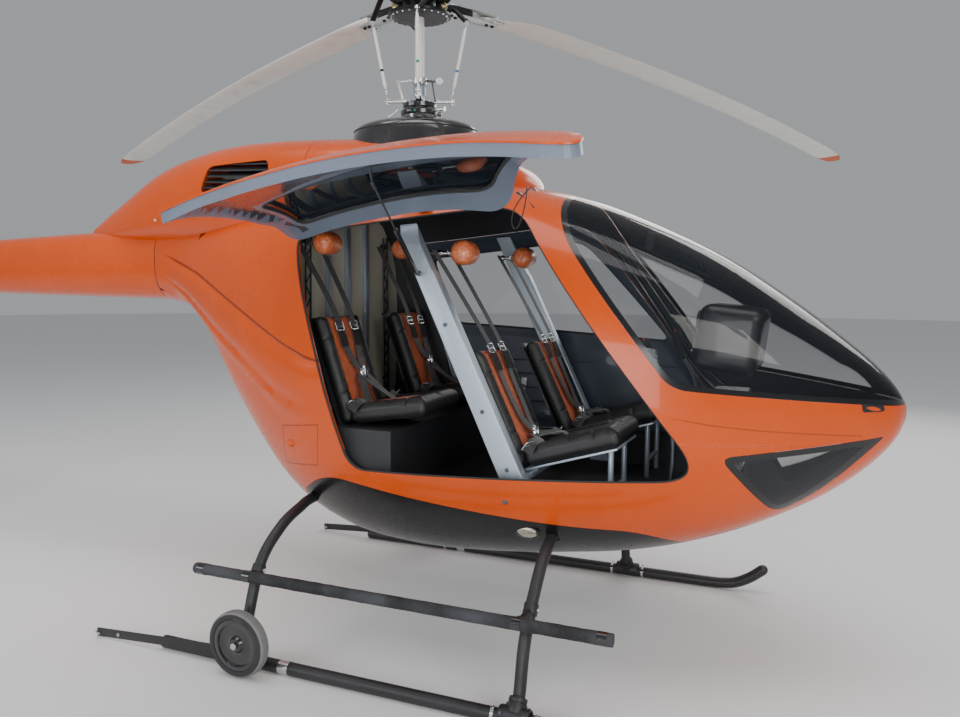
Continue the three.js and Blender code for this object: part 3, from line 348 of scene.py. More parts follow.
def drawn(shape, places, segments, radius=1, closed=False):
    """Draws a ring through a row of places."""
    ring = bmesh.ops.create_circle(shape, segments=segments, radius=radius, matrix=places[0])["verts"]
    first = edges = edges_between(ring)
    for before, after in zip(places, places[1:]):
        ring = only_verts(bmesh.ops.extrude_edge_only(shape, edges=edges))
        bmesh.ops.transform(shape, matrix=after @ before.inverted(), verts=ring)
        edges = edges_between(ring)
    if closed:
        bmesh.ops.bridge_loops(shape, edges=first + edges)
    else:
        for rim in (first, edges):
            bmesh.ops.contextual_create(shape, geom=rim)
    return shape


def pipe(shape, path, radius, segments=14, closed=False):
    """Draws a round section along a path."""
    return drawn(shape, path_places([Vector(p) for p in path], closed), segments, radius, closed)


def pushed(shape, places, way):
    """Closes places with a face, pushes it through and hands back all the vertices."""
    face = shape.faces.new([shape.verts.new(place) for place in places])
    far = only_verts(bmesh.ops.extrude_face_region(shape, geom=[face]))
    bmesh.ops.translate(shape, vec=way, verts=far)
    return [*face.verts, *far]


def plate(shape, outline, thickness, place, bevel=0.0):
    """Cuts an outline of (x, y) from sheet of a thickness, then puts it in its place."""
    verts = pushed(shape, [(x, y, -thickness / 2) for x, y in outline], (0, 0, thickness))
    if bevel:
        made = rounded(shape, [e for e in edges_between(verts) if e.calc_face_angle(0) > 0.6], bevel)
        verts = list({*made["verts"], *(v for v in verts if v.is_valid)})
    bmesh.ops.transform(shape, matrix=place, verts=verts)
    return shape


def ball(shape, at, radius, size=(1, 1, 1), turn=(0, 0, 0), segments=20):
    place = placed(at, turn) @ Matrix.Diagonal((*size, 1))
    bmesh.ops.create_uvsphere(shape, u_segments=segments, v_segments=segments // 2, radius=radius,
                              matrix=place)
    return shape


def piece(name, shape, finishes, slot=None, body="airframe", sharp=35, stands_for=None):
    """Gives a shape its name, finish and body. The slot argument is not used."""
    bmesh.ops.recalc_face_normals(shape, faces=shape.faces)
    mesh = bpy.data.meshes.new(name)
    shape.to_mesh(mesh)
    shape.free()
    mesh.shade_smooth()
    mesh.set_sharp_from_angle(angle=math.radians(sharp))
    finishes = finishes if isinstance(finishes, list) else [finishes]
    for finish in finishes:
        mesh.materials.append(finish.material)
    made = linked(name, mesh)
    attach(made, body)
    slot or finishes[0].slot
    if stands_for:
        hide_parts(stands_for)
    return made


SIDES = (("right", -1), ("left", 1))
print("modelling helpers ready")

# %% [markdown]
# A window or a doorway is a clean cut through a curved skin. The Boolean modifier does that on closed
# shapes, so one helper puts two shapes through it and hands back the result as a new shape.

# %% Cutting one shape with another
def as_mesh_object(shape):
    mesh = bpy.data.meshes.new("workpiece")
    shape.to_mesh(mesh)
    return linked("workpiece", mesh)


def with_modifiers(made):
    """The mesh of an object with its modifiers applied."""
    return bpy.data.meshes.new_from_object(made.evaluated_get(bpy.context.evaluated_depsgraph_get()))


def cut(shape, cutter, operation="DIFFERENCE"):
    bmesh.ops.recalc_face_normals(shape, faces=shape.faces)
    bmesh.ops.recalc_face_normals(cutter, faces=cutter.faces)
    work, tool = as_mesh_object(shape), as_mesh_object(cutter)
    modifier = work.modifiers.new("cut", "BOOLEAN")
    modifier.operation, modifier.solver, modifier.object = operation, "MANIFOLD", tool
    finished = with_modifiers(work)
    shape.clear()
    shape.from_mesh(finished)
    cutter.free()
    for spare in (work, tool):
        mesh = spare.data
        bpy.data.objects.remove(spare)
        bpy.data.meshes.remove(mesh)
    bpy.data.meshes.remove(finished)
    return shape


def overlap(shape, cutter):
    return cut(shape, cutter, "INTERSECT")


print("cutting ready")

# %% [markdown]
# ## Body form
# The body is one smooth form through rows of stations, each with a half width, a bottom, a top and the
# height of its widest point. Its section is a fuller-than-round oval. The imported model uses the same
# rows with few facets, so this fine form lies on it.

# %% Stations and outlines of the body
SKIN, GLASS = 0.024, 0.006
UPPER_FULLNESS, LOWER_FULLNESS = 2.9, 2.5
POD_STATIONS = [
    # x, half width, bottom, top, height of the widest point
    (-1.500, 0.180, 1.520, 1.922, 1.725),
    (-1.300, 0.225, 1.465, 1.940, 1.705),
    (-1.100, 0.300, 1.270, 1.962, 1.650),
    (-0.850, 0.405, 0.905, 1.990, 1.560),
    (-0.550, 0.525, 0.575, 2.018, 1.450),
    (-0.250, 0.618, 0.432, 2.045, 1.360),
    (0.100, 0.672, 0.385, 2.068, 1.300),
    (0.500, 0.690, 0.400, 2.060, 1.262),
    (0.850, 0.672, 0.440, 1.990, 1.240),
    (1.150, 0.628, 0.490, 1.876, 1.222),
    (1.450, 0.545, 0.580, 1.730, 1.200),
    (1.700, 0.425, 0.692, 1.568, 1.178),
    (1.900, 0.300, 0.815, 1.418, 1.160),
    (2.050, 0.182, 0.950, 1.286, 1.140),
    (2.118, 0.095, 1.045, 1.200, 1.125),
    (2.140, 0.030, 1.098, 1.155, 1.122),
]
# side outlines: x, z and the reach of the rounding at that corner
DOORWAY = [(-0.345, 1.835, 0.080), (0.690, 1.938, 0.130), (1.468, 0.888, 0.190), (-0.030, 0.815, 0.090)]
DOOR_WINDOW = [(-0.215, 1.762, 0.060), (0.655, 1.850, 0.090), (1.120, 1.330, 0.070), (-0.110, 1.398, 0.070)]
CANOPY = [(0.770, 2.200, 0.005), (0.862, 1.850, 0.160), (1.330, 1.238, 0.060), (2.200, 1.158, 0.005),
          (2.200, 2.200, 0.005)]
CHIN = [(1.500, 0.985, 0.050), (2.062, 1.052, 0.016), (1.850, 0.840, 0.130), (1.690, 0.735, 0.060)]
BELLY = [(-0.420, 0.300, 0.005), (-0.420, 0.640, 0.060), (-0.190, 0.775, 0.130), (0.300, 0.715, 0.250),
         (0.900, 0.660, 0.200), (1.250, 0.655, 0.150), (1.650, 0.300, 0.005)]


def station(rows, x):
    """The values of a smooth curve through the rows at x."""
    last = len(rows) - 1
    high = next((i for i in range(1, last) if x < rows[i][0]), last)
    low = high - 1
    before, after = (low - 1 if low else high), (high + 1 if high < last else low)
    start, end = rows[low][0], rows[high][0]
    half = (end - start) / 2
    pull_before = half / (start - rows[before][0])
    pull_after = half / (rows[after][0] - end)
    t = (x - start) / (end - start)
    shares = (
        -pull_before * t ** 3 + 2 * pull_before * t * t - pull_before * t,
        (1 + pull_before) * t ** 3 + (-1.5 - 2 * pull_before) * t * t + (pull_before - 0.5) * t + 1,
        (-1 - pull_after) * t ** 3 + (1.5 + pull_after) * t * t + 0.5 * t,
        pull_after * t ** 3 - pull_after * t * t,
    )
    four = [rows[i] for i in (before, low, high, after)]
    return [sum(share * row[k] for share, row in zip(shares, four)) for k in range(1, len(rows[0]))]


def side_of_body(x, z, wall=0.0, rows=POD_STATIONS):
    """How far from the centre plane the skin stands at x and z."""
    half, bottom, top, widest = station(rows, x)
    upper = z > widest
    fullness = UPPER_FULLNESS if upper else LOWER_FULLNESS
    reach = (top - widest if upper else widest - bottom) - wall
    share = min(abs(z - widest) / max(reach, 0.002), 1)
    return max(half - wall, 0.002) * (1 - share ** fullness) ** (1 / fullness)


def form(rows, rings, points, wall=0.0, nose_shift=1.3, bulge=None):
    """A closed form through rows of stations, from a grid wrapped round X."""
    shape = bmesh.new()
    bmesh.ops.create_grid(shape, x_segments=rings, y_segments=points, size=0.5)
    first, last = rows[0][0], rows[-1][0]
    for vert in shape.verts:
        share, angle = vert.co.x + 0.5, (vert.co.y + 0.5) * math.tau
        eased = min(share + 0.12 * math.sin(share * math.pi) * share, 1)
        x = first + (last - first) * eased
        half, bottom, top, widest = station(rows, x)
        lift, out = math.sin(angle), math.cos(angle)
        power = 2 / (UPPER_FULLNESS if lift > 0 else LOWER_FULLNESS)
        # spreads the points evenly along the section
        steep = math.atan2(abs(lift) ** (1 / power), abs(out) ** (1 / power))
        rise = (top - widest if lift > 0 else widest - bottom) - wall
        y = max(half - wall, 0.002) * math.copysign(abs(math.cos(steep)) ** power, out)
        z = widest + max(rise, 0.002) * math.copysign(abs(math.sin(steep)) ** power, lift)
        if abs(lift) < 1e-9:
            z = widest
        vert.co = (x - wall * nose_shift * max(share * 2 - 1, 0), y, z)
        if bulge:
            vert.co += bulge(vert.co)
    bmesh.ops.remove_doubles(shape, verts=shape.verts, dist=1e-5)
    for rim in (min, max):
        end = rim(v.co.x for v in shape.verts)
        ring = [v for v in shape.verts if abs(v.co.x - end) < 1e-5]
        bmesh.ops.contextual_create(shape, geom=edges_between(ring))
    bmesh.ops.recalc_face_normals(shape, faces=shape.faces)
    return shape


def inset_corners(corners, distance):
    """Moves every edge of an outline inwards by one distance."""
    middle = [sum(c[k] for c in corners) / len(corners) for k in (0, 1)]
    lines = []
    for (x, z, _), (next_x, next_z, _) in zip(corners, corners[1:] + corners[:1]):
        length = math.hypot(next_x - x, next_z - z)
        normal = Vector((-(next_z - z) / length, (next_x - x) / length))
        if normal.dot(Vector(middle) - Vector((x, z))) < 0:
            normal = -normal
        lines.append((normal, normal.dot(Vector((x, z))) + distance))
    moved = []
    for i, (_, _, reach) in enumerate(corners):
        (one, one_offset), (two, two_offset) = lines[i - 1], lines[i]
        cross = one.x * two.y - one.y * two.x
        x = (one_offset * two.y - two_offset * one.y) / cross
        z = (one.x * two_offset - two.x * one_offset) / cross
        moved.append((x, z, max(reach - distance / 2, 0.002)))
    return moved


def outline(corners, inset=0.0, steps=10):
    """A side outline with its corners rounded, as places (x, z)."""
    corners = inset_corners(corners, inset) if inset else corners
    count = len(corners)
    places = []
    for i, (x, z, reach) in enumerate(corners):
        corner = Vector((x, z))
        near = []
        for other in (corners[i - 1], corners[(i + 1) % count]):
            way = Vector(other[:2]) - corner
            near.append(corner + way * min(reach / way.length, 0.48))
        start, end = near
        for step in range(steps + 1):
            t = step / steps
            places.append(start * (1 - t) ** 2 + corner * 2 * t * (1 - t) + end * t * t)
    return places


def evened(places, spacing):
    """Points at one spacing round a closed outline."""
    ring = [*places, places[0]]
    total = sum((b - a).length for a, b in zip(ring, ring[1:]))
    count = max(int(total / spacing), 8)
    found, walked, wanted = [], 0.0, 0.0
    for a, b in zip(ring, ring[1:]):
        length = (b - a).length
        while length and walked + length >= wanted and len(found) < count:
            found.append(a.lerp(b, (wanted - walked) / length))
            wanted += total / count
        walked += length
    return found


def side_prism(corners, low, high, inset=0.0):
    """A side outline pushed through from Y = low to Y = high."""
    shape = bmesh.new()
    pushed(shape, [(x, low, z) for x, z in outline(corners, inset)], (0, high - low, 0))
    bmesh.ops.recalc_face_normals(shape, faces=shape.faces)
    return shape


def joined(*shapes):
    """Puts shapes that don't touch into one."""
    whole = bmesh.new()
    for shape in shapes:
        spare = bpy.data.meshes.new("spare")
        shape.to_mesh(spare)
        whole.from_mesh(spare)
        bpy.data.meshes.remove(spare)
        shape.free()
    return whole


def both_sides(corners, low, high, inset=0.0):
    """One cutter made of the same outline on each side."""
    return joined(side_prism(corners, -high, -low, inset), side_prism(corners, low, high, inset))


print("body outlines ready")

# %% [markdown]
# ## Finishes
# Paint on a composite body is a flat colour under a clear coat. What makes it look real is small: a faint
# orange peel in the coat, a little dust that dulls the shine in clouds, and a slight drift of the colour.
# The same three parts, with other strengths, also make black gloss, satin metal and soft plastics.

# %% Paints, metals and plastics
def surface(name, colour, rough, slot="black_paint", metal=0.0, coat=0.0, drift=0.08, smudge=0.10,
            grain=0.0004, grain_scale=260, cloud_scale=2.2, stretch=(1, 1, 1), shine=0.5):
    """A finish with a drifting colour, clouded shine and a fine grain."""
    finish = Finish(name, slot, Metallic=metal, Coat_Weight=coat, Coat_Roughness=0.05,
                    Specular_IOR_Level=shine)
    where = finish.place(stretch)
    cloud = finish.noise(cloud_scale, 5, 0.6, where)
    fine = finish.noise(cloud_scale * 14, 4, 0.6, where)
    darker = tuple(c * (1 - drift) for c in colour)
    lighter = tuple(min(c * (1 + drift), 1) for c in colour)
    finish.feed(
        Base_Color=finish.mix(cloud.between(0.3, 0.7), darker, lighter),
        Roughness=cloud.between(0.35, 0.8) * smudge + fine.between(0.4, 0.8) * (smudge * 0.6) + rough,
    )
    finish.grain = finish.noise(grain_scale, 2, 0.5, where)
    if grain:
        finish.bump(finish.grain, grain)
    return finish


ORANGE = (0.62, 0.072, 0.002)
black_gloss = surface("black_gloss", (0.012, 0.012, 0.014), 0.12, "black_gloss", coat=0.8, smudge=0.16)
belly_black = surface("belly_black", (0.006, 0.006, 0.007), 0.20, "black_gloss", coat=0.2, smudge=0.14,
                      shine=0.3)
deep_black = surface("deep_black", (0.007, 0.007, 0.008), 0.32, "black_gloss", coat=0.1, smudge=0.14,
                     shine=0.3)
inside_black = surface("inside_black", (0.022, 0.023, 0.026), 0.55, drift=0.2, grain=0.0012, grain_scale=420)
satin_metal = surface("satin_metal", (0.42, 0.48, 0.55), 0.34, "satin_aluminium", metal=0.55, drift=0.05,
                      stretch=(1, 1, 0.12))
bare_metal = surface("bare_metal", (0.66, 0.66, 0.66), 0.28, "satin_aluminium", metal=1.0, drift=0.06,
                     cloud_scale=9)
bright_steel = surface("bright_steel", (0.72, 0.72, 0.74), 0.16, "steel", metal=1.0, drift=0.03,
                       cloud_scale=14)
brass = surface("brass", (0.70, 0.55, 0.28), 0.28, "steel", metal=1.0, drift=0.05, cloud_scale=14)
dark_metal = surface("dark_metal", (0.09, 0.10, 0.12), 0.38, "steel", metal=0.7, drift=0.15, cloud_scale=12)
gear_black = surface("gear_black", (0.020, 0.020, 0.022), 0.36, drift=0.25, smudge=0.2, grain=0.0008)
soft_black = surface("soft_black", (0.018, 0.018, 0.019), 0.78, drift=0.2, grain=0.003, grain_scale=180)
worn_foam = surface("worn_foam", (0.036, 0.038, 0.043), 0.80, "wheel_rubber", drift=0.65, smudge=0.15,
                    grain=0.004, grain_scale=150, cloud_scale=6)
rubber = surface("rubber", (0.030, 0.030, 0.031), 0.70, drift=0.25, smudge=0.12, grain=0.0015,
                 grain_scale=300)
tread = surface("tread", (0.20, 0.20, 0.195), 0.86, drift=0.25, grain=0.002, grain_scale=160)
white_paint = surface("white_paint", (0.80, 0.80, 0.78), 0.30, "blade_white", coat=0.3, drift=0.04)
# Painted shade: the far door's liner is a darker copy of the near door's grey-blue.
far_liner_shaded_blue = surface("far_liner_shaded_blue", (0.045, 0.06, 0.085), 0.36, coat=0.3, drift=0.15)
red_plastic = surface("red_plastic", (0.45, 0.02, 0.015), 0.35, coat=0.3)
blue_band = surface("blue_band", (0.03, 0.16, 0.42), 0.4)
green_band = surface("green_band", (0.03, 0.25, 0.10), 0.4)
teal_plastic = surface("teal_plastic", (0.02, 0.32, 0.30), 0.4)
print("finishes", len(bpy.data.materials))

# %% [markdown]
# The body's paint carries a few sculpted lines that are only millimetres wide: the dark step above the
# band on the nose and the groove on the rear flank. Each follows a curve over X. A ramp over X gives that
# curve's height, so the line stays crisp at any distance. The groove is also darkened with painted shade.
# Low down on the body a little dust collects.

# %% Orange body paint
SWAGE_UPPER = [(1.255, 1.144), (1.382, 1.124), (1.474, 1.107), (1.635, 1.088), (1.820, 1.072), (1.990, 1.059)]
SWAGE_LOWER = [(1.255, 1.034), (1.339, 1.036), (1.485, 1.034), (1.637, 1.030), (1.820, 1.026), (1.990, 1.028)]
REAR_CREASE = [(-1.454, 1.778), (-1.298, 1.722), (-1.115, 1.664), (-0.889, 1.566), (-0.710, 1.489),
               (-0.424, 1.363), (-0.250, 1.299), (-0.120, 1.274)]
REAR_RIDGE = [(-1.428, 1.628), (-1.323, 1.567), (-0.996, 1.380), (-0.677, 1.222), (-0.426, 1.076),
              (-0.268, 1.047), (-0.087, 1.049)]


def height_over_x(finish, line, x):
    """The height of a line of (x, z) at every x, from a ramp."""
    low_x, high_x = line[0][0], line[-1][0]
    low_z, high_z = min(z for _, z in line), max(z for _, z in line)
    stops = [((px - low_x) / (high_x - low_x), ((pz - low_z) / (high_z - low_z),) * 3) for px, pz in line]
    share = (x - low_x) / (high_x - low_x)
    ramp = finish.node("ShaderNodeValToRGB", {"stops": stops}, {"Fac": share})
    return ramp * (high_z - low_z) + low_z


def step_above(height, z, softness):
    return (z - height).between(-softness, softness)


def orange_paint(name, lines=True):
    finish = surface(name, ORANGE, 0.22, "orange_skin", coat=0.30, drift=0.05, smudge=0.08, grain=0,
                     shine=0.25)
    grain = finish.grain * 0.00025
    if not lines:
        finish.bump(grain, 1.0)
        return finish
    x, z = finish.axis(0), finish.axis(2)
    upper = step_above(height_over_x(finish, SWAGE_UPPER, x), z, 0.004)
    lower = step_above(height_over_x(finish, SWAGE_LOWER, x), z, 0.006)
    span = x.between(1.30, 1.42) * (1 - x.between(1.976, 1.984))
    recess = (lower - upper).larger(0) * span
    crease = abs(z - height_over_x(finish, REAR_CREASE, x))
    fade = x.between(-1.46, -1.30) * (1 - x.between(-0.135, -0.12))
    groove = (1 - crease.between(0.0, 0.010)) * fade
    hatch = hatch_line(x, z)
    finish.bump(grain - recess * 0.006 - groove * 0.007 - hatch * 0.002, 1.0)
    dirt = finish.noise(7, 6, 0.7).between(0.55, 0.85) * (1 - z.between(0.5, 0.95)) * 0.5
    # Painted shade: the groove on the rear flank is darkened in the colour as well as sunk by the bump. The
    # hatch joint is dark in its own colour.
    line = (groove * 0.7).larger(hatch * 0.8)
    cloud = finish.noise(2.2, 5, 0.6).between(0.3, 0.7)
    base = finish.mix(cloud, tuple(c * 0.95 for c in ORANGE), tuple(min(c * 1.05, 1) for c in ORANGE))
    dusty = finish.mix(dirt, base, (0.34, 0.10, 0.030))
    finish.feed(Base_Color=finish.mix(line, dusty, (0.10, 0.012, 0.002)))
    return finish


def hatch_line(x, z):
    """The thin joint round the small access hatch on the flank."""
    along = abs(x + 0.324 - (z - 0.891) * 0.223) - 0.119
    across = abs(z - 0.891 - (x + 0.324) * 0.127) - 0.094
    return 1 - abs(along.larger(across)).between(0.0006, 0.0028)


orange_body = orange_paint("orange_body")
orange_plain = orange_paint("orange_plain", lines=False)
print("paints ready")

# %% [markdown]
# The tinted glass is acrylic. Seen square on it is mostly clear, and toward the edges it turns into a
# mirror. A facing value drives the alpha for that. A black painted border hides the bonded edge, and a
# distance stored on the mesh says how far each place is from the edge. The inner face stays nearly clear.

# %% Tinted glass, stitched cloth, webbing and trim
def tinted_glass(name, tint, border):
    finish = Finish(name, "tinted_glass", Coat_Roughness=0.02)
    inner = finish.marked("edge").between(border - 0.0008, border + 0.0008)
    facing = finish.node("ShaderNodeLayerWeight", None, {"Blend": 0.32}, 0)
    clear = finish.noise(3.1, 4, 0.6).between(0.45, 0.9) * 0.03
    finish.feed(
        Alpha=1 - inner * (1 - (facing * facing * 0.75 + tint + clear).smaller(1.0)),
        Base_Color=finish.mix(inner, (0.006, 0.006, 0.007), (0.012, 0.018, 0.026)),
        Roughness=0.16 - inner * 0.13 + clear,
        Coat_Weight=inner * 0.8 + 0.2,
    )
    return finish


canopy_glass = tinted_glass("canopy_glass", 0.24, 0.021)
chin_glass = tinted_glass("chin_glass", 0.42, 0.024)
door_glass = tinted_glass("door_glass", 0.26, 0.004)
inner_glass = Finish("inner_glass", "tinted_glass", Roughness=0.04, Specular_IOR_Level=0.3)
haze = inner_glass.noise(2.6, 4, 0.6).between(0.45, 0.9)
inner_glass.feed(Alpha=haze * 0.02 + 0.03, Base_Color=inner_glass.mix(haze, (0.012, 0.018, 0.026),
                                                                      (0.03, 0.035, 0.04)))

cloth = Finish("orange_cloth", "orange_cloth", Roughness=0.74, Sheen_Weight=0.25)
weave_u = (cloth.axis(1) * 520).fraction() - 0.5
weave_v = ((cloth.axis(2) + cloth.axis(0) * 0.6) * 520).fraction() - 0.5
cloth_cloud = cloth.noise(9, 5, 0.6)
cloth.feed(Base_Color=cloth.mix(cloth_cloud.between(0.3, 0.75), (0.52, 0.085, 0.014), (0.68, 0.135, 0.028)))
cloth.bump(abs(weave_u) + abs(weave_v), 0.0006)

webbing = Finish("black_webbing", "black_leather", Roughness=0.62, Sheen_Weight=0.3)
ribs = ((webbing.axis(2) + webbing.axis(0) * 0.35) * 480).fraction() - 0.5
webbing_cloud = webbing.noise(40, 4, 0.6)
webbing.feed(Base_Color=webbing.mix(webbing_cloud.between(0.3, 0.8), (0.012, 0.012, 0.014),
                                    (0.030, 0.030, 0.034)))
webbing.bump(abs(ribs), 0.0008)

wrap = Finish("headrest_wrap", "orange_cloth", Roughness=0.22, Coat_Weight=0.9, Coat_Roughness=0.12)
creases_and_highlights = wrap.noise(34, 6, 0.7, distortion=1.6)
# The pale pink on the creases is a painted highlight of the shiny film; the same noise also bumps the
# creases.
wrap.feed(Base_Color=wrap.mix(creases_and_highlights.between(0.35, 0.75), (0.72, 0.130, 0.028), (0.92, 0.36, 0.18)))
wrap.bump(creases_and_highlights, 0.006)

carpet = Finish("floor_mat", "cabin_floor_mat", Roughness=0.92)
pile = carpet.noise(420, 3, 0.8)
carpet.feed(Base_Color=carpet.mix(pile.between(0.3, 0.75), (0.010, 0.010, 0.012), (0.035, 0.035, 0.040)))
carpet.bump(pile, 0.003)

cream = surface("cream_panel", (0.66, 0.62, 0.50), 0.55, "cream_panel", drift=0.05, grain=0.0008,
                grain_scale=180)
pod_black = surface("pod_black", (0.016, 0.017, 0.020), 0.30, coat=0.35, drift=0.2, smudge=0.2)
lamp_lens = Finish("lamp_lens", "tinted_glass", Base_Color=(0.62, 0.56, 0.44, 1), Metallic=0.9,
                   Roughness=0.10, Coat_Weight=1.0)
lamp_ribs = (lamp_lens.axis(0) * 160).fraction() - 0.5
lamp_lens.bump(abs(lamp_ribs), 0.002)
grille = surface("engine_casting", (0.36, 0.36, 0.35), 0.5, "engine_metal", metal=0.6, drift=0.15,
                 cloud_scale=12, grain=0.002)
print("materials", len(bpy.data.materials))

# %% [markdown]
# ## The free cord
# One thin black cable hangs in a loop at the front of the open door. It leaves the door's front edge close
# to the hinge, sags under its own weight and goes back into the door, so its far end is in the object. A
# round section drawn along a smooth path is the plain way to make it.

# %% Cable loop at the door's front corner
CABLE_POINTS = [
    (0.774, -0.612, 1.985),
    (0.771, -0.614, 1.939),
    (0.759, -0.613, 1.886),
    (0.739, -0.608, 1.840),
    (0.720, -0.602, 1.831),
    (0.707, -0.596, 1.858),
    (0.714, -0.591, 1.903),
    (0.738, -0.588, 1.944),
    (0.765, -0.586, 1.974),
    (0.784, -0.584, 1.990),
]
CABLE_DIAMETER = 0.0050
cable_path = smooth_path(CABLE_POINTS, 8)
cable_length = sum((after - before).length for before, after in zip(cable_path, cable_path[1:]))
cable = piece("door_cable", pipe(bmesh.new(), cable_path, CABLE_DIAMETER / 2, 12), rubber,
              body="right_door_leaf")
tuple(cable_path[0])
[tuple(p) for p in cable_path]
print("cable", round(cable_length, 3), "m long")

# %% [markdown]
# ## Body skin
# The real body is one composite moulding with the doorways, glazing and belly joint trimmed out of it. It
# could be drawn as patches, but then every cut edge would need its own row of faces. Here the closed oval
# form is made first, finely enough for the sculpted lines, and everything else is cut away from it.

# %% Sculpted lines of the outer form
def line_height(line, x):
    """Height of a line of (x, z) at x, with its ends held."""
    if x <= line[0][0]:
        return line[0][1]
    for (x1, z1), (x2, z2) in zip(line, line[1:]):
        if x <= x2:
            return z1 + (z2 - z1) * (x - x1) / (x2 - x1)
    return line[-1][1]


def ramp_between(value, low, high):
    share = min(max((value - low) / (high - low), 0), 1)
    return share * share * (3 - 2 * share)


def sculpted(place):
    """How far a place on the form is pushed sideways by the rear channel and shoulder."""
    x, y, z = place
    if not -1.46 < x < -0.05:
        return Vector()
    crease, ridge = line_height(REAR_CREASE, x), line_height(REAR_RIDGE, x)
    fade = ramp_between(x, -1.46, -1.25) * (1 - ramp_between(x, -0.30, -0.06))
    depth = crease - ridge
    down = (crease - z) / depth
    channel = -0.016 * ramp_between(down, 0.0, 0.25) * (1 - ramp_between(down, 0.62, 1.0))
    shoulder = 0.012 * math.exp(-(((z - ridge) / 0.030) ** 2))
    return Vector((0, math.copysign((channel + shoulder) * fade, y), 0))


FINE = 2
outer_form = form(POD_STATIONS, 130 * FINE, 100 * FINE, bulge=sculpted)
inner_form = form(POD_STATIONS, 60, 64, SKIN)
glass_inner_form = form(POD_STATIONS, 90 * FINE, 96, GLASS)
print("outer form", len(outer_form.faces), "faces, inner", len(inner_form.faces))

# %% [markdown]
# The trims are straight pushes of the side outlines through the form. The engine bay opens upwards under
# the fairings, and the boom passes through the end of the body. Round holes let the skid legs through.

# %% Skin and belly
def leg_path(leg, x, side):
    return smooth_path([(x, side * y, z) for y, z in leg], 8)


FRONT_LEG = [(0.852, 0.086), (0.837, 0.112), (0.788, 0.285), (0.680, 0.445), (0.555, 0.560), (0.380, 0.612)]
REAR_LEG = [(0.888, 0.088), (0.890, 0.118), (0.868, 0.236), (0.784, 0.427), (0.640, 0.540), (0.500, 0.590),
            (0.380, 0.612)]
FRONT_TUBE, REAR_TUBE, LEG_RADIUS = 0.850, -0.360, 0.024
CROSS_TUBES = (("front", FRONT_TUBE, FRONT_LEG), ("rear", REAR_TUBE, REAR_LEG))


def leg_holes():
    return joined(*(pipe(bmesh.new(), leg_path(leg, x, side), LEG_RADIUS + 0.003)
                    for _, x, leg in CROSS_TUBES for side in (-1, 1)))


DOOR_REACH, CHIN_REACH, WHOLE_WIDTH = (0.15, 0.9), (0.045, 0.7), (-0.9, 0.9)
belly_shell = cut(overlap(outer_form.copy(), side_prism(BELLY, *WHOLE_WIDTH, 0.0012)), inner_form.copy())
cut(belly_shell, leg_holes())

body_shell = cut(outer_form.copy(), inner_form.copy())
cut(body_shell, both_sides(DOORWAY, *DOOR_REACH))
cut(body_shell, both_sides(CHIN, *CHIN_REACH))
cut(body_shell, side_prism(CANOPY, *WHOLE_WIDTH))
cut(body_shell, side_prism(BELLY, *WHOLE_WIDTH))
cut(body_shell, box(bmesh.new(), (0.665, 0.540, 0.700), (-0.7875, 0, 2.150)))
cut(body_shell, box(bmesh.new(), (0.200, 0.300, 0.300), (-1.480, 0, 1.722)))
cut(body_shell, leg_holes())


def second_inside(shape, wall=SKIN):
    """Gives the second finish to faces on the inner side of a shell."""
    for face in shape.faces:
        x, y, z = face.calc_center_median()
        half, bottom, top, widest = station(POD_STATIONS, min(x + wall * 0.6, 2.13))
        fullness = UPPER_FULLNESS if z > widest else LOWER_FULLNESS
        reach = top - widest if z > widest else widest - bottom
        size = (abs(y) / half) ** fullness + (abs(z - widest) / reach) ** fullness
        towards = face.normal.dot(Vector((0, y, z - widest)))
        if towards < 0 and size < 1:
            face.material_index = 1
    return shape


body_skin = piece("body_skin", second_inside(body_shell), [orange_body, inside_black],
                  stands_for="fuselage_body")
belly_skin = piece("belly_skin", second_inside(belly_shell), [belly_black, inside_black],
                   stands_for="belly_pan")
print("body skin", len(body_skin.data.polygons), "belly", len(belly_skin.data.polygons))

# %% [markdown]
# ## Glazing
# The canopy is one blown acrylic bubble bonded to the skin, and each chin window is a small one below it.
# Both are cut from the same form with a thin wall. Each vertex stores its distance from the trimmed edge.

# %% Canopy and chin windows
def outline_pairs(corners, inset=0.0, steps=10):
    ring = [Vector((x, z)) for x, z in outline(corners, inset, steps)]
    return list(zip(ring, ring[1:] + ring[:1]))


def nearest_edge(place, pairs):
    nearest = 9.0
    for start, end in pairs:
        along = end - start
        share = min(max((place - start).dot(along) / max(along.length_squared, 1e-12), 0), 1)
        nearest = min(nearest, (start + along * share - place).length_squared)
    return math.sqrt(nearest)


def edge_distances(mesh, corners):
    """Stores every vertex's distance from a side outline on the mesh."""
    pairs = outline_pairs(corners)
    store = mesh.attributes.new("edge", "FLOAT", "POINT")
    for vert, value in zip(mesh.vertices, store.data):
        value.value = nearest_edge(Vector((vert.co.x, vert.co.z)), pairs)


def window(name, cutter, corners, finish, stands_for, body="airframe"):
    shell = second_inside(cut(overlap(outer_form.copy(), cutter), glass_inner_form.copy()), GLASS)
    made = piece(name, shell, [finish, inner_glass], body=body, stands_for=stands_for)
    edge_distances(made.data, corners)
    return made


JOINT = 0.0008
canopy_skin = window("canopy_skin", side_prism(CANOPY, *WHOLE_WIDTH, JOINT), CANOPY, canopy_glass, "canopy")
for label, side in SIDES:
    low, high = sorted((side * 0.0455, side * 0.7))
    window(f"{label}_chin_pane", side_prism(CHIN, low, high, JOINT), CHIN, chin_glass, f"{label}_chin_window")
print("canopy", len(canopy_skin.data.polygons))

# %% [markdown]
# ## Seals and small parts of the skin
# A black rubber bead runs round each doorway and hides the raw trimmed edge, as on the aircraft. A teardrop
# lamp, a drain plug and a small blister sit on each flank, and a clip holds each side of the canopy's tip.

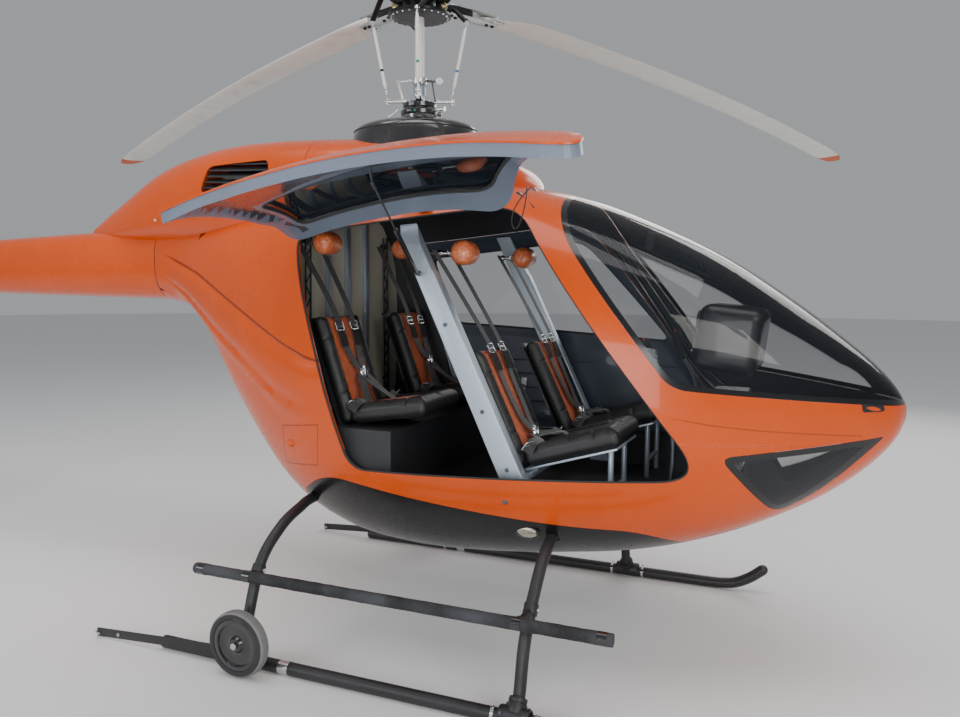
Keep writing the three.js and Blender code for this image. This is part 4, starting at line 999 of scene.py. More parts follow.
# %% Doorway seals, lamps, plugs, blisters and clips
def on_body(x, z, side, out=0.0):
    """A place on the body's surface, or a little out of it."""
    return Vector((x, side * (side_of_body(x, z) + out), z))


def bead(corners, side, radius, inset, out, spacing=0.02):
    ring = evened(outline(corners, inset, 12), spacing)
    return pipe(bmesh.new(), [on_body(x, z, side, out) for x, z in ring], radius, 10, closed=True)


LAMP, PLUG, BLISTER = (0.752, 0.614), (0.692, 0.755), (-0.387, 0.891)
for label, side in SIDES:
    piece(f"{label}_doorway_seal", bead(DOORWAY, side, 0.0052, 0.001, -0.008), rubber)

lamp = bmesh.new()
lamp_rims = []
plugs = bmesh.new()
for side in (-1, 1):
    middle = on_body(*LAMP, side)
    lean = (side * -26, 0, side * 4)
    ball(lamp, middle, 0.040, (1.22, 0.34, 0.72), lean, 28)
    ring = [Vector((0.052 * math.cos(a), 0.004 * side, 0.031 * math.sin(a)))
            for a in (math.tau * i / 40 for i in range(40))]
    turned = placed(middle, lean)
    lamp_rims.append(pipe(bmesh.new(), [turned @ point for point in ring], 0.0035, 10, closed=True))
    outward = Vector((0, side, 0.15)).normalized()
    place = on_body(*PLUG, side)
    lathe(plugs, [(-0.006, 0.0), (-0.006, 0.011), (0.002, 0.011), (0.004, 0.009), (0.004, 0.004),
                  (0.001, 0.0)], place, outward, 24)
piece("side_lamps", lamp, lamp_lens)
piece("side_lamp_rims", joined(*lamp_rims), black_gloss)
piece("drain_plugs", plugs, dark_metal)
blisters = bmesh.new()
for side in (-1, 1):
    ball(blisters, on_body(*BLISTER, side), 0.022, (1.0, 0.7, 0.85), segments=24)
piece("flank_blisters", blisters, orange_plain)

clips = bmesh.new()
for side in (-1, 1):
    corners = [(1.976, 1.182), (2.056, 1.171), (2.056, 1.149), (1.980, 1.150)]
    edge = [on_body(x, z, side, 0.0015) for x, z in evened([Vector(c) for c in corners], 0.012)]
    pushed(clips, edge, (0, -side * 0.006, 0))
piece("canopy_clips", clips, black_gloss)
print("skin details ready")

# %% [markdown]
# ## Doors
# Each door is a sandwich: a thin orange outer skin, a grey moulded liner with a raised rim and a shallow
# oval recess, and an acrylic pane in a rubber gasket. Both doors are made closed, where they follow the
# body's form, and the right one is then turned up about its hinge line with all its vertices.

# %% Hinge lines and the raised shapes of the door liner
DOOR_GAP, DOOR_SKIN, LINER_WALL = 0.007, 0.004, 0.014
HINGE_REAR, HINGE_FRONT = Vector((-0.300, 0.550, 1.851)), Vector((0.640, 0.528, 1.968))
DOOR_OPEN_ANGLE = math.radians(84.7)
HINGE_STATIONS = (-0.120, 0.300)


def hinge_line(side):
    rear, front = HINGE_REAR.copy(), HINGE_FRONT.copy()
    rear.y *= side
    front.y *= side
    return rear, front


def hinge_point(side, x):
    rear, front = hinge_line(side)
    return rear.lerp(front, (x - rear.x) / (front.x - rear.x))


def door_turn(side, angle):
    rear, front = hinge_line(side)
    spin = Matrix.Rotation(angle, 4, (front - rear).normalized())
    return Matrix.Translation(rear) @ spin @ Matrix.Translation(-rear)


RIM_PAIRS = outline_pairs(DOORWAY, DOOR_GAP, 6)
WINDOW_PAIRS = outline_pairs(DOOR_WINDOW, 0.0, 6)
RECESS_MIDDLE, RECESS_SIZE = Vector((0.760, 1.110)), Vector((0.330, 0.125))


def liner_height(x, z):
    """How far the liner's face stands inwards from its base at a place on the door."""
    place = Vector((x, z))
    edge = nearest_edge(place, RIM_PAIRS)
    low_down = 1 - ramp_between(z, 1.52, 1.70)
    rim = 1 - ramp_between(edge, 0.050 - low_down * 0.026, 0.064 - low_down * 0.020)
    frame_edge = nearest_edge(place, WINDOW_PAIRS)
    frame = 1 - ramp_between(frame_edge, 0.022, 0.034)
    away = place - RECESS_MIDDLE
    oval = math.hypot(away.x / RECESS_SIZE.x, away.y / RECESS_SIZE.y)
    recess = 1 - ramp_between(oval, 0.72, 1.0)
    return max(rim * (0.009 + 0.016 * low_down), frame * 0.006) - recess * 0.008 * (1 - rim)


def moulded(place):
    x, y, z = place
    if not (-0.38 < x < 1.50 and 0.78 < z < 1.97 and abs(y) > 0.2):
        return Vector()
    return Vector((0, -math.copysign(liner_height(x, z), y), 0))


door_back_form = form(POD_STATIONS, 80, 80, DOOR_SKIN)
liner_back_form = form(POD_STATIONS, 80, 80, DOOR_SKIN + 0.0004)
liner_face_form = form(POD_STATIONS, 110 * FINE, 80 * FINE, LINER_WALL, bulge=moulded)
print("liner form", len(liner_face_form.faces))

# %% [markdown]
# The parts are cut from these forms, one side at a time. The liner's lower panel gets a glossier grey than
# its rim, as on the aircraft, where the panel reflects the body. The left door's liner is one darker blue all
# over, which is painted shade on the far side of the cabin.

# %% Door skins, liners, panes and gaskets
panel_grey = surface("panel_grey", (0.060, 0.068, 0.085), 0.16, coat=0.9, drift=0.12, smudge=0.14)
blue_grey = surface("blue_grey_rim", (0.150, 0.185, 0.245), 0.40, coat=0.35, drift=0.10, smudge=0.18)


def moved_to_door(made, side):
    """Turns a piece of the right door up into its open place."""
    if side < 0:
        made.data.transform(door_turn(side, -DOOR_OPEN_ANGLE))
        made.data.update()


def door_piece(label, side, name, shape, finishes, **more):
    moved_to_door(piece(f"{label}_{name}", shape, finishes, body=f"{label}_door_leaf", **more), side)


def liner_finishes(shape):
    """Gives the lower panel of a liner its own finish."""
    for face in shape.faces:
        x, y, z = face.calc_center_median()
        inward = side_of_body(x, z) - abs(y) > DOOR_SKIN + 0.004
        place = Vector((x, z))
        past_rim = nearest_edge(place, RIM_PAIRS) > (0.057 if z > 1.6 else 0.036)
        if inward and past_rim and nearest_edge(place, WINDOW_PAIRS) > 0.028:
            face.material_index = 1
    return shape


for label, side, rim_finish, panel_finish in (
    ("right", -1, blue_grey, panel_grey),
    ("left", 1, far_liner_shaded_blue, far_liner_shaded_blue),
):
    reach = sorted((side * DOOR_REACH[0], side * DOOR_REACH[1]))
    skin = overlap(outer_form.copy(), side_prism(DOORWAY, *reach, DOOR_GAP))
    cut(cut(skin, door_back_form.copy()), side_prism(DOOR_WINDOW, *reach))
    door_piece(label, side, "door_skin", skin, orange_plain, stands_for=f"{label}_door")
    liner = overlap(liner_back_form.copy(), side_prism(DOORWAY, *reach, DOOR_GAP + 0.004))
    cut(cut(liner, liner_face_form.copy()), side_prism(DOOR_WINDOW, *reach))
    door_piece(label, side, "door_liner", liner_finishes(liner), [rim_finish, panel_finish])
    pane_cutter = side_prism(DOOR_WINDOW, *reach, JOINT)
    moved_to_door(window(f"{label}_door_pane", pane_cutter, DOOR_WINDOW, door_glass, f"{label}_door_window",
                         f"{label}_door_leaf"), side)
    door_piece(label, side, "door_gasket", bead(DOOR_WINDOW, side, 0.0065, 0.002, -0.0165, 0.012), rubber)
print("doors ready")

# %% [markdown]
# The right door shows its latch plate, a grey bolt through a white striker, and the ball that the gas strut
# pushes on. The left door's lower panel has the horizontal ribs seen through the cabin.

# %% Latch, ball studs and panel ribs
STRUT_BALL = Vector((0.470, 0.608, 1.345))
STRUT_PIN = Vector((0.300, 0.604, 1.660))
LATCH_X, LATCH_Z, LATCH_TURN = 0.300, 1.075, (0, 6, 0)


def on_side(place, side):
    """A place of the left side, or the same one on the right."""
    return Vector((place.x, side * place.y, place.z))


for label, side in SIDES:
    plates, bolts, stud = bmesh.new(), bmesh.new(), bmesh.new()
    place = on_body(LATCH_X, LATCH_Z, side, -0.0150)
    box(plates, (0.030, 0.004, 0.066), place, LATCH_TURN, 0.0015)
    box(plates, (0.016, 0.010, 0.014), place + Vector((0.0, -side * 0.003, 0.020)), LATCH_TURN, 0.0015)
    box(bolts, (0.013, 0.007, 0.016), place + Vector((0.001, -side * 0.003, -0.012)), LATCH_TURN, 0.0010)
    for dz in (-0.027, 0.031):
        start, end = (place + Vector((0, -side * depth, dz)) for depth in (0.001, 0.0045))
        rod(bolts, start, end, 0.0032, segments=12)
    door_piece(label, side, "latch_plate", plates, white_paint, slot="cream_panel")
    door_piece(label, side, "latch_bolt", bolts, dark_metal)
    middle, foot = on_side(STRUT_BALL, side), on_body(STRUT_BALL.x, STRUT_BALL.z, side, -0.013)
    rod(stud, middle, foot, 0.004, 0.005)
    lathe(stud, [(-0.002, 0), (-0.002, 0.013), (0.0015, 0.013), (0.004, 0.008), (0.004, 0)], foot,
          middle - foot, 24)
    ball(stud, middle, 0.0055)
    door_piece(label, side, "ball_stud", stud, dark_metal)

panel_ribs = []
for row in range(4):
    start, end, z = 0.10, 1.16 + row * 0.03, 1.205 - row * 0.075
    path = [on_body(start + (end - start) * i / 24, z, 1, -0.0155) for i in range(25)]
    panel_ribs.append(pipe(bmesh.new(), path, 0.0045, 8))
piece("left_panel_ribs", joined(*panel_ribs), far_liner_shaded_blue, body="left_door_leaf")
print("latches and studs ready")

# %% [markdown]
# Each hinge has a knuckle on the door between two lugs on the roof edge. The gas strut is a black cylinder
# with a bright rod; both ends swivel on small balls.

# %% Hinges and gas struts
def hinge_arm(shape, side, low, high, out, up, radius):
    middle = hinge_point(side, (low + high) / 2)
    rod(shape, hinge_point(side, low), hinge_point(side, high), 0.0078, segments=20, bevel=0.001)
    rod(shape, middle, middle + Vector((0, side * out, up)), radius, segments=16)


for label, side, opened in (("right", -1, DOOR_OPEN_ANGLE), ("left", 1, 0)):
    knuckles, lugs = bmesh.new(), bmesh.new()
    for x in HINGE_STATIONS:
        hinge_arm(knuckles, side, x - 0.012, x + 0.012, 0.004, -0.042, 0.0048)
        for end in (-1, 1):
            near = x + end * 0.0125
            hinge_arm(lugs, side, *sorted((near, near + end * 0.014)), -0.040, 0.004, 0.0062)
    door_piece(label, side, "hinge_knuckles", knuckles, black_gloss, slot="black_paint")
    piece(f"{label}_hinge_lugs", lugs, black_gloss, slot="black_paint")

    pin = on_side(STRUT_PIN, side)
    eye = door_turn(side, side * opened) @ on_side(STRUT_BALL, side)
    along = (eye - pin).normalized()
    sleeve = lathe(bmesh.new(), [
        (0.012, 0.0046), (0.014, 0.0085), (0.020, 0.0098), (0.026, 0.0100), (0.322, 0.0100), (0.328, 0.0085),
        (0.330, 0.0050), (0.320, 0.0046),
    ], pin, along, 28)
    ball(sleeve, pin, 0.0090)
    rod(sleeve, pin + along * 0.004, pin + along * 0.018, 0.0050)
    piece(f"{label}_strut_cylinder", sleeve, black_gloss, slot="black_paint", body=f"{label}_strut_cylinder",
          stands_for=f"{label}_strut_sleeve")
    piston = rod(bmesh.new(), eye - along * 0.316, eye - along * 0.014, 0.0038)
    rod(piston, eye - along * 0.034, eye - along * 0.010, 0.0055, segments=6)
    ball(piston, eye, 0.0080)
    piece(f"{label}_strut_piston", piston, dark_metal, body=f"{label}_strut_piston",
          stands_for=f"{label}_strut_rod")
print("hinges and struts ready")

# %% [markdown]
# ## Cabin structure
# Two leaning box posts carry the seats' belts and the front headrests. On the aircraft they are riveted
# aluminium channels that narrow towards the roof. A tapering plate with rounded edges, trimmed by the
# body's inner form, gives the post, and small domed rivets follow both of its edges.

# %% Leaning posts with rivets
POST_TOP, POST_FOOT, POST_Y, POST_DEPTH = Vector((0.204, 1.905)), Vector((0.773, 0.714)), 0.560, 0.056
POST_WIDTH_TOP, POST_WIDTH_FOOT = 0.072, 0.098
lining_form = form(POD_STATIONS, 60, 64, SKIN + 0.0005)


def along_post(share, side, out=0.0, across=0.0):
    """A place on a post: share runs from its foot to its top, across runs along its width."""
    middle = POST_FOOT.lerp(POST_TOP, share)
    way = (POST_TOP - POST_FOOT).normalized()
    return Vector((middle.x + way.y * across, side * (POST_Y + out), middle.y - way.x * across))


def post_half_width(share):
    return (POST_WIDTH_FOOT + (POST_WIDTH_TOP - POST_WIDTH_FOOT) * share) / 2


for label, side in SIDES:
    half_depth = POST_DEPTH / 2
    shape = bmesh.new()
    corners = []
    for share, edge in [(-0.02, -1), (1.06, -1), (1.06, 1), (0.795, 1), (0.780, 1.13), (-0.02, 1.0)]:
        place = along_post(share, 1, 0, edge * post_half_width(max(min(share, 1), 0)))
        corners.append((place.x, side * POST_Y - half_depth, place.z))
    pushed(shape, corners, (0, POST_DEPTH, 0))
    rounded(shape, [e for e in shape.edges if e.calc_face_angle(0) > 0.5], 0.005, 3)
    overlap(shape, lining_form.copy())
    cut(shape, box(bmesh.new(), (2, 2, 1), (0.5, 0, 0.2126)))
    piece(f"{label}_post", shape, satin_metal, stands_for=f"{label}_frame_post")

    rivets, sockets = bmesh.new(), bmesh.new()
    for step in range(26):
        share = 0.03 + step * 0.0365
        for edge in (-1, 1):
            place = along_post(share, side, half_depth, edge * (post_half_width(share) - 0.010))
            if side_of_body(place.x, place.z) - abs(place.y) > SKIN + 0.006:
                ball(rivets, place, 0.0028, (1, 0.45, 1), segments=10)
    for share in (0.14, 0.33, 0.62):
        place = along_post(share, side, half_depth, 0)
        lathe(sockets, [(-0.002, 0), (-0.002, 0.009), (0.0022, 0.009), (0.0034, 0.007), (0.0034, 0.0035),
                        (0.001, 0)], place, (0, side, 0), 20)
    lathe(sockets, [(-0.002, 0), (-0.002, 0.012), (0.004, 0.012), (0.006, 0.009), (0.006, 0.0)],
          (STRUT_PIN.x, side * (POST_Y + half_depth), STRUT_PIN.z), (0, side, 0), 20)
    piece(f"{label}_post_rivets", rivets, bare_metal)
    piece(f"{label}_post_bolts", sockets, dark_metal)
print("posts ready")

# %% [markdown]
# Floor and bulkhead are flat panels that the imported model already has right, so they only take their
# finishes. The bulkhead carries three vertical rails, and a black lattice ladder stands under the rod of
# each rear headrest. Two rounded mouldings run down inside each door post to the foot of the canopy.

# %% Floor, bulkhead rails, lattices and pillar mouldings
for node, finish in (
    ("cabin_floor", carpet), ("rear_bulkhead", cream), ("engine_deck", bare_metal), ("engine", grille),
    ("main_gearbox", grille), ("rear_seat_box", inside_black),
):
    materials = nodes[node].data.materials
    materials.clear()
    materials.append(finish.material)

BULKHEAD_X, FLOOR_Z = -0.420, 0.712
rails, lattice = bmesh.new(), bmesh.new()
for y in (-0.175, 0.0, 0.175):
    box(rails, (0.022, 0.034, 0.900), (BULKHEAD_X + 0.0112, y, 1.470), bevel=0.003)
    for step in range(9):
        ball(rails, (BULKHEAD_X + 0.0225, y, 1.08 + step * 0.1), 0.003, (0.5, 1, 1), segments=10)
LADDER_X, LADDER_FOOT, LADDER_TOP, LADDER_STEP = BULKHEAD_X + 0.024, 1.02, 1.86, 0.058


def ladder_place(side, offset, z):
    """A place on a ladder, which leans inwards a little on its way up."""
    lean = 0.015 * (z - LADDER_FOOT) / (LADDER_TOP - LADDER_FOOT)
    return Vector((LADDER_X, side * (0.372 - lean + offset), z))


for side in (-1, 1):
    for offset in (-0.020, 0.020):
        rod(lattice, ladder_place(side, offset, LADDER_FOOT), ladder_place(side, offset, LADDER_TOP), 0.0045,
            segments=10)
    for step in range(14):
        low, swing = 1.03 + step * LADDER_STEP, 0.020 if step % 2 else -0.020
        rod(lattice, ladder_place(side, -swing, low), ladder_place(side, swing, low + LADDER_STEP), 0.0032,
            segments=8)
    for z in (1.10, 1.45, 1.80):
        foot = Vector((BULKHEAD_X - 0.001, side * 0.365, z))
        rod(lattice, foot, foot + Vector((0.027, 0, 0)), 0.005, segments=10)
piece("bulkhead_rails", rails, satin_metal)
piece("belt_ladders", lattice, gear_black)

PILLAR_LINE = [(0.640, 1.985), (0.775, 1.880), (0.905, 1.690), (1.060, 1.462), (1.235, 1.215),
               (1.400, 1.085), (1.640, 1.060)]
pillars = []
for side in (-1, 1):
    for shift, radius in ((0.001, 0.015), (0.030, 0.012)):
        path = []
        for x, z in PILLAR_LINE:
            x, z = x + shift, z + shift
            path.append(Vector((x, side * (side_of_body(x, z) - SKIN - 0.002), z)))
        pillars.append(pipe(bmesh.new(), smooth_path(path, 8), radius, 14))
piece("pillar_mouldings", joined(*pillars), black_gloss)
print("cabin structure ready")

# %% [markdown]
# ## Instruments and controls
# The instrument binnacle is a rounded black pod on a pedestal, with its face turned to the pilots. On the
# face are four round gauges, a screen and a row of switches. None of them carries lettering.

# %% Instrument binnacle and pedestal
POD_MIDDLE, POD_TILT = (1.478, 0, 1.400), (0, math.degrees(0.12), 0)
binnacle = box(bmesh.new(), (0.250, 0.430, 0.270), POD_MIDDLE, POD_TILT, 0.045, 6)
box(binnacle, (0.150, 0.210, 0.470), (1.475, 0, 0.9475), (0, 0, 0), 0.012, 3)
piece("binnacle", binnacle, pod_black, stands_for="instrument_pod")
face_place = placed(POD_MIDDLE, POD_TILT)


def on_face(y, z, out=0.0):
    return face_place @ Vector((-0.1255 - out, y, z))


screens, gauges, bezels, knobs = bmesh.new(), bmesh.new(), bmesh.new(), bmesh.new()
face_way = (face_place.to_3x3() @ Vector((-1, 0, 0))).normalized()
box(bezels, (0.010, 0.190, 0.130), on_face(0, 0.030, 0.002), POD_TILT, 0.004)
box(screens, (0.004, 0.166, 0.106), on_face(0, 0.030, 0.0075), POD_TILT, 0.001)
for y in (-0.145, 0.145):
    for z in (0.062, -0.032):
        lathe(bezels, [(-0.004, 0.0), (-0.004, 0.040), (0.006, 0.040), (0.009, 0.037), (0.009, 0.033),
                       (0.004, 0.031), (0.004, 0.0)], on_face(y, z), face_way, 40)
        lathe(gauges, [(0.0045, 0.0), (0.0045, 0.0305), (0.0055, 0.0305), (0.0055, 0.0)], on_face(y, z),
              face_way, 32)
        rod(knobs, on_face(y, z, 0.0065), on_face(y + 0.016, z + 0.014, 0.0065), 0.0014, segments=8)
for step in range(7):
    place = on_face(-0.090 + step * 0.030, -0.075)
    rod(knobs, place, place + face_way * 0.010, 0.0045, 0.0035, 12)
    rod(knobs, place + face_way * 0.010, place + face_way * 0.024 + Vector((0, 0, 0.006)), 0.0022, 0.0034, 10)
piece("binnacle_bezels", bezels, gear_black)
piece("binnacle_screen", screens, black_gloss)
dial = Finish("dial_face", "black_gloss", Roughness=0.3, Coat_Weight=1.0)
across, up = ((dial.axis(index) * 90).fraction() - 0.5 for index in (1, 2))
ticks = abs(across).larger(abs(up)).between(0.46, 0.49)
dial.feed(Base_Color=dial.mix(ticks, (0.008, 0.008, 0.009), (0.55, 0.55, 0.52)))
piece("gauge_faces", gauges, dial)
piece("gauge_hands", knobs, white_paint, slot="cream_panel")
print("binnacle ready")

# %% [markdown]
# A slim rail under the roof holds a row of toggle switches with long bat handles. It hangs from the canopy
# frame, so it stands out against the light in the photograph. A small black box hangs beside it.

# %% Overhead switch rail
rail_low, rail_high = Vector((1.262, 0, 1.780)), Vector((1.480, 0, 1.664))
rail_way = (rail_high - rail_low).normalized()
switch_rail = bmesh.new()
pitch = math.degrees(math.atan2(rail_low.z - rail_high.z, rail_high.x - rail_low.x))
box(switch_rail, (0.270, 0.052, 0.026), (rail_low + rail_high) / 2, (0, pitch, 0), 0.006, 3)
toggles = bmesh.new()
for step in range(7):
    place = rail_low + rail_way * (0.020 + step * 0.034) + Vector((0, 0, -0.012))
    rod(toggles, place, place + Vector((-0.004, 0, -0.010)), 0.0058, 0.0045, 14)
    rod(toggles, place + Vector((-0.004, 0, -0.008)), place + Vector((0.008, 0, -0.034)), 0.0028, 0.0048, 12)
    ball(toggles, place + Vector((0.008, 0, -0.034)), 0.0052, segments=12)
for x, z in ((1.262, 1.780), (1.400, 1.706)):
    hanger = rod(bmesh.new(), (x, 0, z), (x + 0.022, 0, z + 0.090), 0.0075, 0.0065, 16)
    switch_rail = joined(switch_rail, overlap(hanger, glass_inner_form.copy()))
piece("switch_rail", switch_rail, gear_black, stands_for="switch_bar")
piece("switch_toggles", toggles, black_gloss)

compass = box(bmesh.new(), (0.050, 0.055, 0.090), (1.075, 0.235, 1.815), (0, 12, 0), 0.010, 3)
rod(compass, (1.075, 0.235, 1.850), (1.085, 0.235, 1.880), 0.008)
piece("roof_unit", compass, gear_black)
print("instruments ready")

# %% [markdown]
# ## Cyclic sticks and pedals
# Each stick rises from a rubber boot, bends back over the seat and ends in a moulded grip with a trigger
# and buttons. Its tube is drawn along a smooth path, and the boot and grip are turned shapes.

# %% Sticks
SEAT_Y, GRIP_TURN = 0.340, (0, -14, 0)
for label, side in SIDES:
    y = side * SEAT_Y
    stick = pipe(bmesh.new(), smooth_path([(1.290, y, 0.735), (1.298, y, 0.860), (1.300, y, 1.010),
                                           (1.270, y, 1.180), (1.205, y, 1.290)], 8), 0.0105, 16)
    piece(f"{label}_stick_tube", stick, dark_metal, slot="black_paint", stands_for=f"{label}_cyclic_stick")
    base = Vector((1.213, y, 1.276))
    way = (Vector((1.176, y, 1.400)) - base).normalized()
    grip = lathe(bmesh.new(), [
        (-0.004, 0.0105), (0.0, 0.0175), (0.012, 0.0190), (0.018, 0.0160), (0.030, 0.0185), (0.040, 0.0160),
        (0.052, 0.0188), (0.062, 0.0165), (0.076, 0.0195), (0.096, 0.0225), (0.116, 0.0245), (0.126, 0.0215),
        (0.130, 0.0), (-0.004, 0.0),
    ], base, way, 32)
    box(grip, (0.036, 0.034, 0.036), base + way * 0.116 + Vector((0.004, 0, 0)), GRIP_TURN, 0.010, 3)
    box(grip, (0.012, 0.010, 0.034), base + way * 0.078 + Vector((0.020, 0, 0.004)), GRIP_TURN, 0.004)
    piece(f"{label}_stick_grip", grip, soft_black)
    buttons = bmesh.new()
    for across in (-0.009, 0.009):
        foot = base + way * 0.130 + Vector((0, across, 0))
        rod(buttons, foot, foot + way * 0.009, 0.0045, 0.004, 12)
    piece(f"{label}_stick_buttons", buttons, red_plastic, slot="orange_cloth")
    boot = lathe(bmesh.new(), [
        (0.0, 0.0), (0.0, 0.055), (0.004, 0.055), (0.008, 0.046), (0.013, 0.050), (0.018, 0.038),
        (0.024, 0.042), (0.030, 0.028), (0.036, 0.031), (0.044, 0.016), (0.050, 0.015), (0.050, 0.0),
    ], (1.290, y, FLOOR_Z + 0.0004))
    piece(f"{label}_stick_boot", boot, rubber)
print("sticks ready")

# %% [markdown]
# The pedals are aluminium plates with rubber treads, on tubes between drilled brackets. They are seen in
# the chin windows, so the holes are really cut and the bolts are modelled.

# %% Pedals
PEDAL_LEAN, PEDAL_X, PEDAL_Y = (0, math.degrees(0.4), 0), 1.440, 0.212
BRACKET = [(-0.030, 0.0), (0.050, 0.0), (0.105, 0.210), (0.075, 0.240), (0.048, 0.238), (0.026, 0.090)]
for label, side in SIDES:
    metal, treads, bolts = bmesh.new(), bmesh.new(), bmesh.new()
    box(metal, (0.110, 0.150, 0.012), (PEDAL_X, side * PEDAL_Y, FLOOR_Z + 0.0065), bevel=0.002)
    for offset in (-0.052, 0.052):
        y = side * PEDAL_Y + offset
        rod(metal, (1.465, y, 0.722), (1.548, y, 0.900), 0.0080, segments=20)
        rod(metal, (1.448, y - 0.013, 0.724), (1.482, y - 0.013, 0.726), 0.005, segments=12)
        box(metal, (0.005, 0.072, 0.074), (1.559, y, 0.915), PEDAL_LEAN, 0.002)
        for row in range(5):
            shift = (row - 2) * 0.0135
            at = (1.5545 + shift * 0.39, y, 0.916 + shift * 0.92)
            box(treads, (0.005, 0.062, 0.006), at, PEDAL_LEAN, 0.0015)
        for dz in (0.020, 0.075, 0.130):
            place = Vector((1.466 + dz * 0.42, y, 0.730 + dz))
            rod(bolts, place - Vector((0, 0.0115, 0)), place + Vector((0, 0.0115, 0)), 0.0042, segments=6)
    for dx in (-0.040, 0.040):
        for dy in (-0.060, 0.060):
            x, y = PEDAL_X + dx, side * PEDAL_Y + dy
            rod(bolts, (x, y, FLOOR_Z + 0.010), (x, y, FLOOR_Z + 0.017), 0.005, segments=6)
    piece(f"{label}_pedal_frame", metal, bare_metal, stands_for=f"{label}_pedals")
    piece(f"{label}_pedal_treads", treads, rubber)
    piece(f"{label}_pedal_bolts", bolts, bright_steel)
    brackets = bmesh.new()
    for y in (side * 0.300, side * 0.124):
        plate(brackets, BRACKET, 0.004, placed((PEDAL_X, y, FLOOR_Z), (90, 0, 0)))
    for y in (side * 0.300, side * 0.124):
        holes = []
        for up, radius in ((0.042, 0.012), (0.088, 0.012), (0.134, 0.012), (0.180, 0.011)):
            x, z = 1.468 + up * 0.30, FLOOR_Z + up
            holes.append(rod(bmesh.new(), (x, y - 0.01, z), (x, y + 0.01, z), radius, segments=24))
        cut(brackets, joined(*holes))
    piece(f"{label}_pedal_brackets", brackets, bare_metal)
print("controls ready")

# %% [markdown]
# ## Seats
# A seat pad is foam under a stitched cover, so it is crowned, its sides pull in between the corners and its
# seams sink. A short cloth simulation under pressure gives that: the pad starts as a slightly small rounded
# block, swells for twenty frames, and no point may move further than a cap. One cushion and one back are
# simulated, and each seat gets a copy of them. The seams are pressed in afterwards.

# %% Swelling a pad
SWELL_FRAMES, SWELL_PRESSURE = 20, 4.0


def swollen(shape, cap):
    """Swells a closed shape by a short cloth simulation and hands the mesh back."""
    work = as_mesh_object(shape)
    shape.free()
    remesh = work.modifiers.new("even", "REMESH")
    remesh.mode, remesh.voxel_size = "VOXEL", 0.006
    mesh = with_modifiers(work)
    work.modifiers.clear()
    work.data = mesh
    before = [v.co.copy() for v in mesh.vertices]
    cloth_modifier = work.modifiers.new("swell", "CLOTH")
    settings = cloth_modifier.settings
    settings.quality = 4
    settings.use_pressure = True
    settings.uniform_pressure_force = SWELL_PRESSURE
    settings.tension_stiffness = settings.compression_stiffness = 12
    settings.bending_stiffness = 0.6
    settings.effector_weights.gravity = 0
    cloth_modifier.point_cache.frame_start, cloth_modifier.point_cache.frame_end = 1, SWELL_FRAMES
    scene = bpy.context.scene
    for step in range(1, SWELL_FRAMES + 1):
        scene.frame_set(step)
    swelled = with_modifiers(work)
    work.modifiers.clear()
    work.data = swelled
    scene.frame_set(1)
    for vert, start in zip(swelled.vertices, before):
        moved = vert.co - start
        if moved.length > cap:
            vert.co = start + moved * (cap / moved.length)
    finer = work.modifiers.new("finer", "SUBSURF")
    finer.levels = finer.render_levels = 1
    work.data = with_modifiers(work)
    made = bmesh.new()
    made.from_mesh(work.data)
    bpy.data.objects.remove(work)
    bmesh.ops.smooth_vert(made, verts=made.verts, factor=0.5, use_axis_x=True, use_axis_y=True,
                          use_axis_z=True)
    return made


def pad_block(size, bevel):
    """A block with rounded edges, a little smaller than the finished pad."""
    return box(bmesh.new(), size, (0, 0, 0), bevel=bevel, segments=5)


CUSHION_LENGTH, CUSHION_WIDTH, CUSHION_DEPTH = 0.430, 0.400, 0.085
BACK_LENGTH, BACK_WIDTH, BACK_DEPTH = 0.535, 0.360, 0.062
cushion_form = swollen(pad_block((CUSHION_LENGTH - 0.014, CUSHION_WIDTH - 0.014, CUSHION_DEPTH - 0.016),
                                 0.026), 0.011)
back_form = swollen(pad_block((BACK_DEPTH - 0.012, BACK_WIDTH - 0.012, BACK_LENGTH - 0.012), 0.022), 0.010)
print("pads", len(cushion_form.verts), len(back_form.verts))

# %% [markdown]
# The cover has black leather bolsters at the sides and the front, and an orange cloth centre panel with a
# diamond stitch. The front cushions are black all over. The bolsters stand proud of the centre, and the
# seam between them is where the faces change from leather to cloth.

# %% Bolsters, centre panel and stitches
def quilt_lines(one, two):
    """How near a place is to a line of the diamond stitch."""
    nearest = min(abs((value / 0.056 + 0.5) % 1 - 0.5) for value in (two + one, two - one)) * 0.056
    return math.exp(-((nearest / 0.004) ** 2))


def seam_at(distance, width=0.0045):
    return math.exp(-((distance / width) ** 2))


def bolstered_cushion(shape):
    """Raises the side bolsters and the front roll and presses the seams."""
    half_width = CUSHION_WIDTH / 2
    for vert in shape.verts:
        x, y, z = vert.co
        if z <= 0:
            continue
        side_roll = ramp_between(abs(y), 0.105, 0.150)
        front_roll = ramp_between(x, 0.085, 0.130)
        centre = (1 - side_roll) * (1 - front_roll)
        seam = seam_at(abs(y) - 0.112) * (x < 0.100)
        across = seam_at(x - 0.098) if abs(y) < 0.116 else 0.7 * seam_at(x - 0.098, 0.006)
        seam = max(seam, across)
        quilt = quilt_lines(y, x) * centre
        crown = 1 - (y / half_width) ** 2
        vert.co.z += -0.013 * centre - 0.009 * seam - 0.0035 * quilt + 0.003 * crown * centre


def bolstered_back(shape):
    """The same for the back, whose front face looks along +X."""
    for vert in shape.verts:
        x, y, z = vert.co
        if x <= 0:
            continue
        side_roll = ramp_between(abs(y), 0.096, 0.136)
        centre = 1 - side_roll
        seam = seam_at(abs(y) - 0.100)
        quilt = quilt_lines(y, z) * centre
        cross = seam_at(abs(z - 0.015) - 0.13, 0.006) * side_roll
        vert.co.x += -0.012 * centre - 0.009 * seam - 0.0035 * quilt - 0.004 * cross


bolstered_cushion(cushion_form)
bolstered_back(back_form)


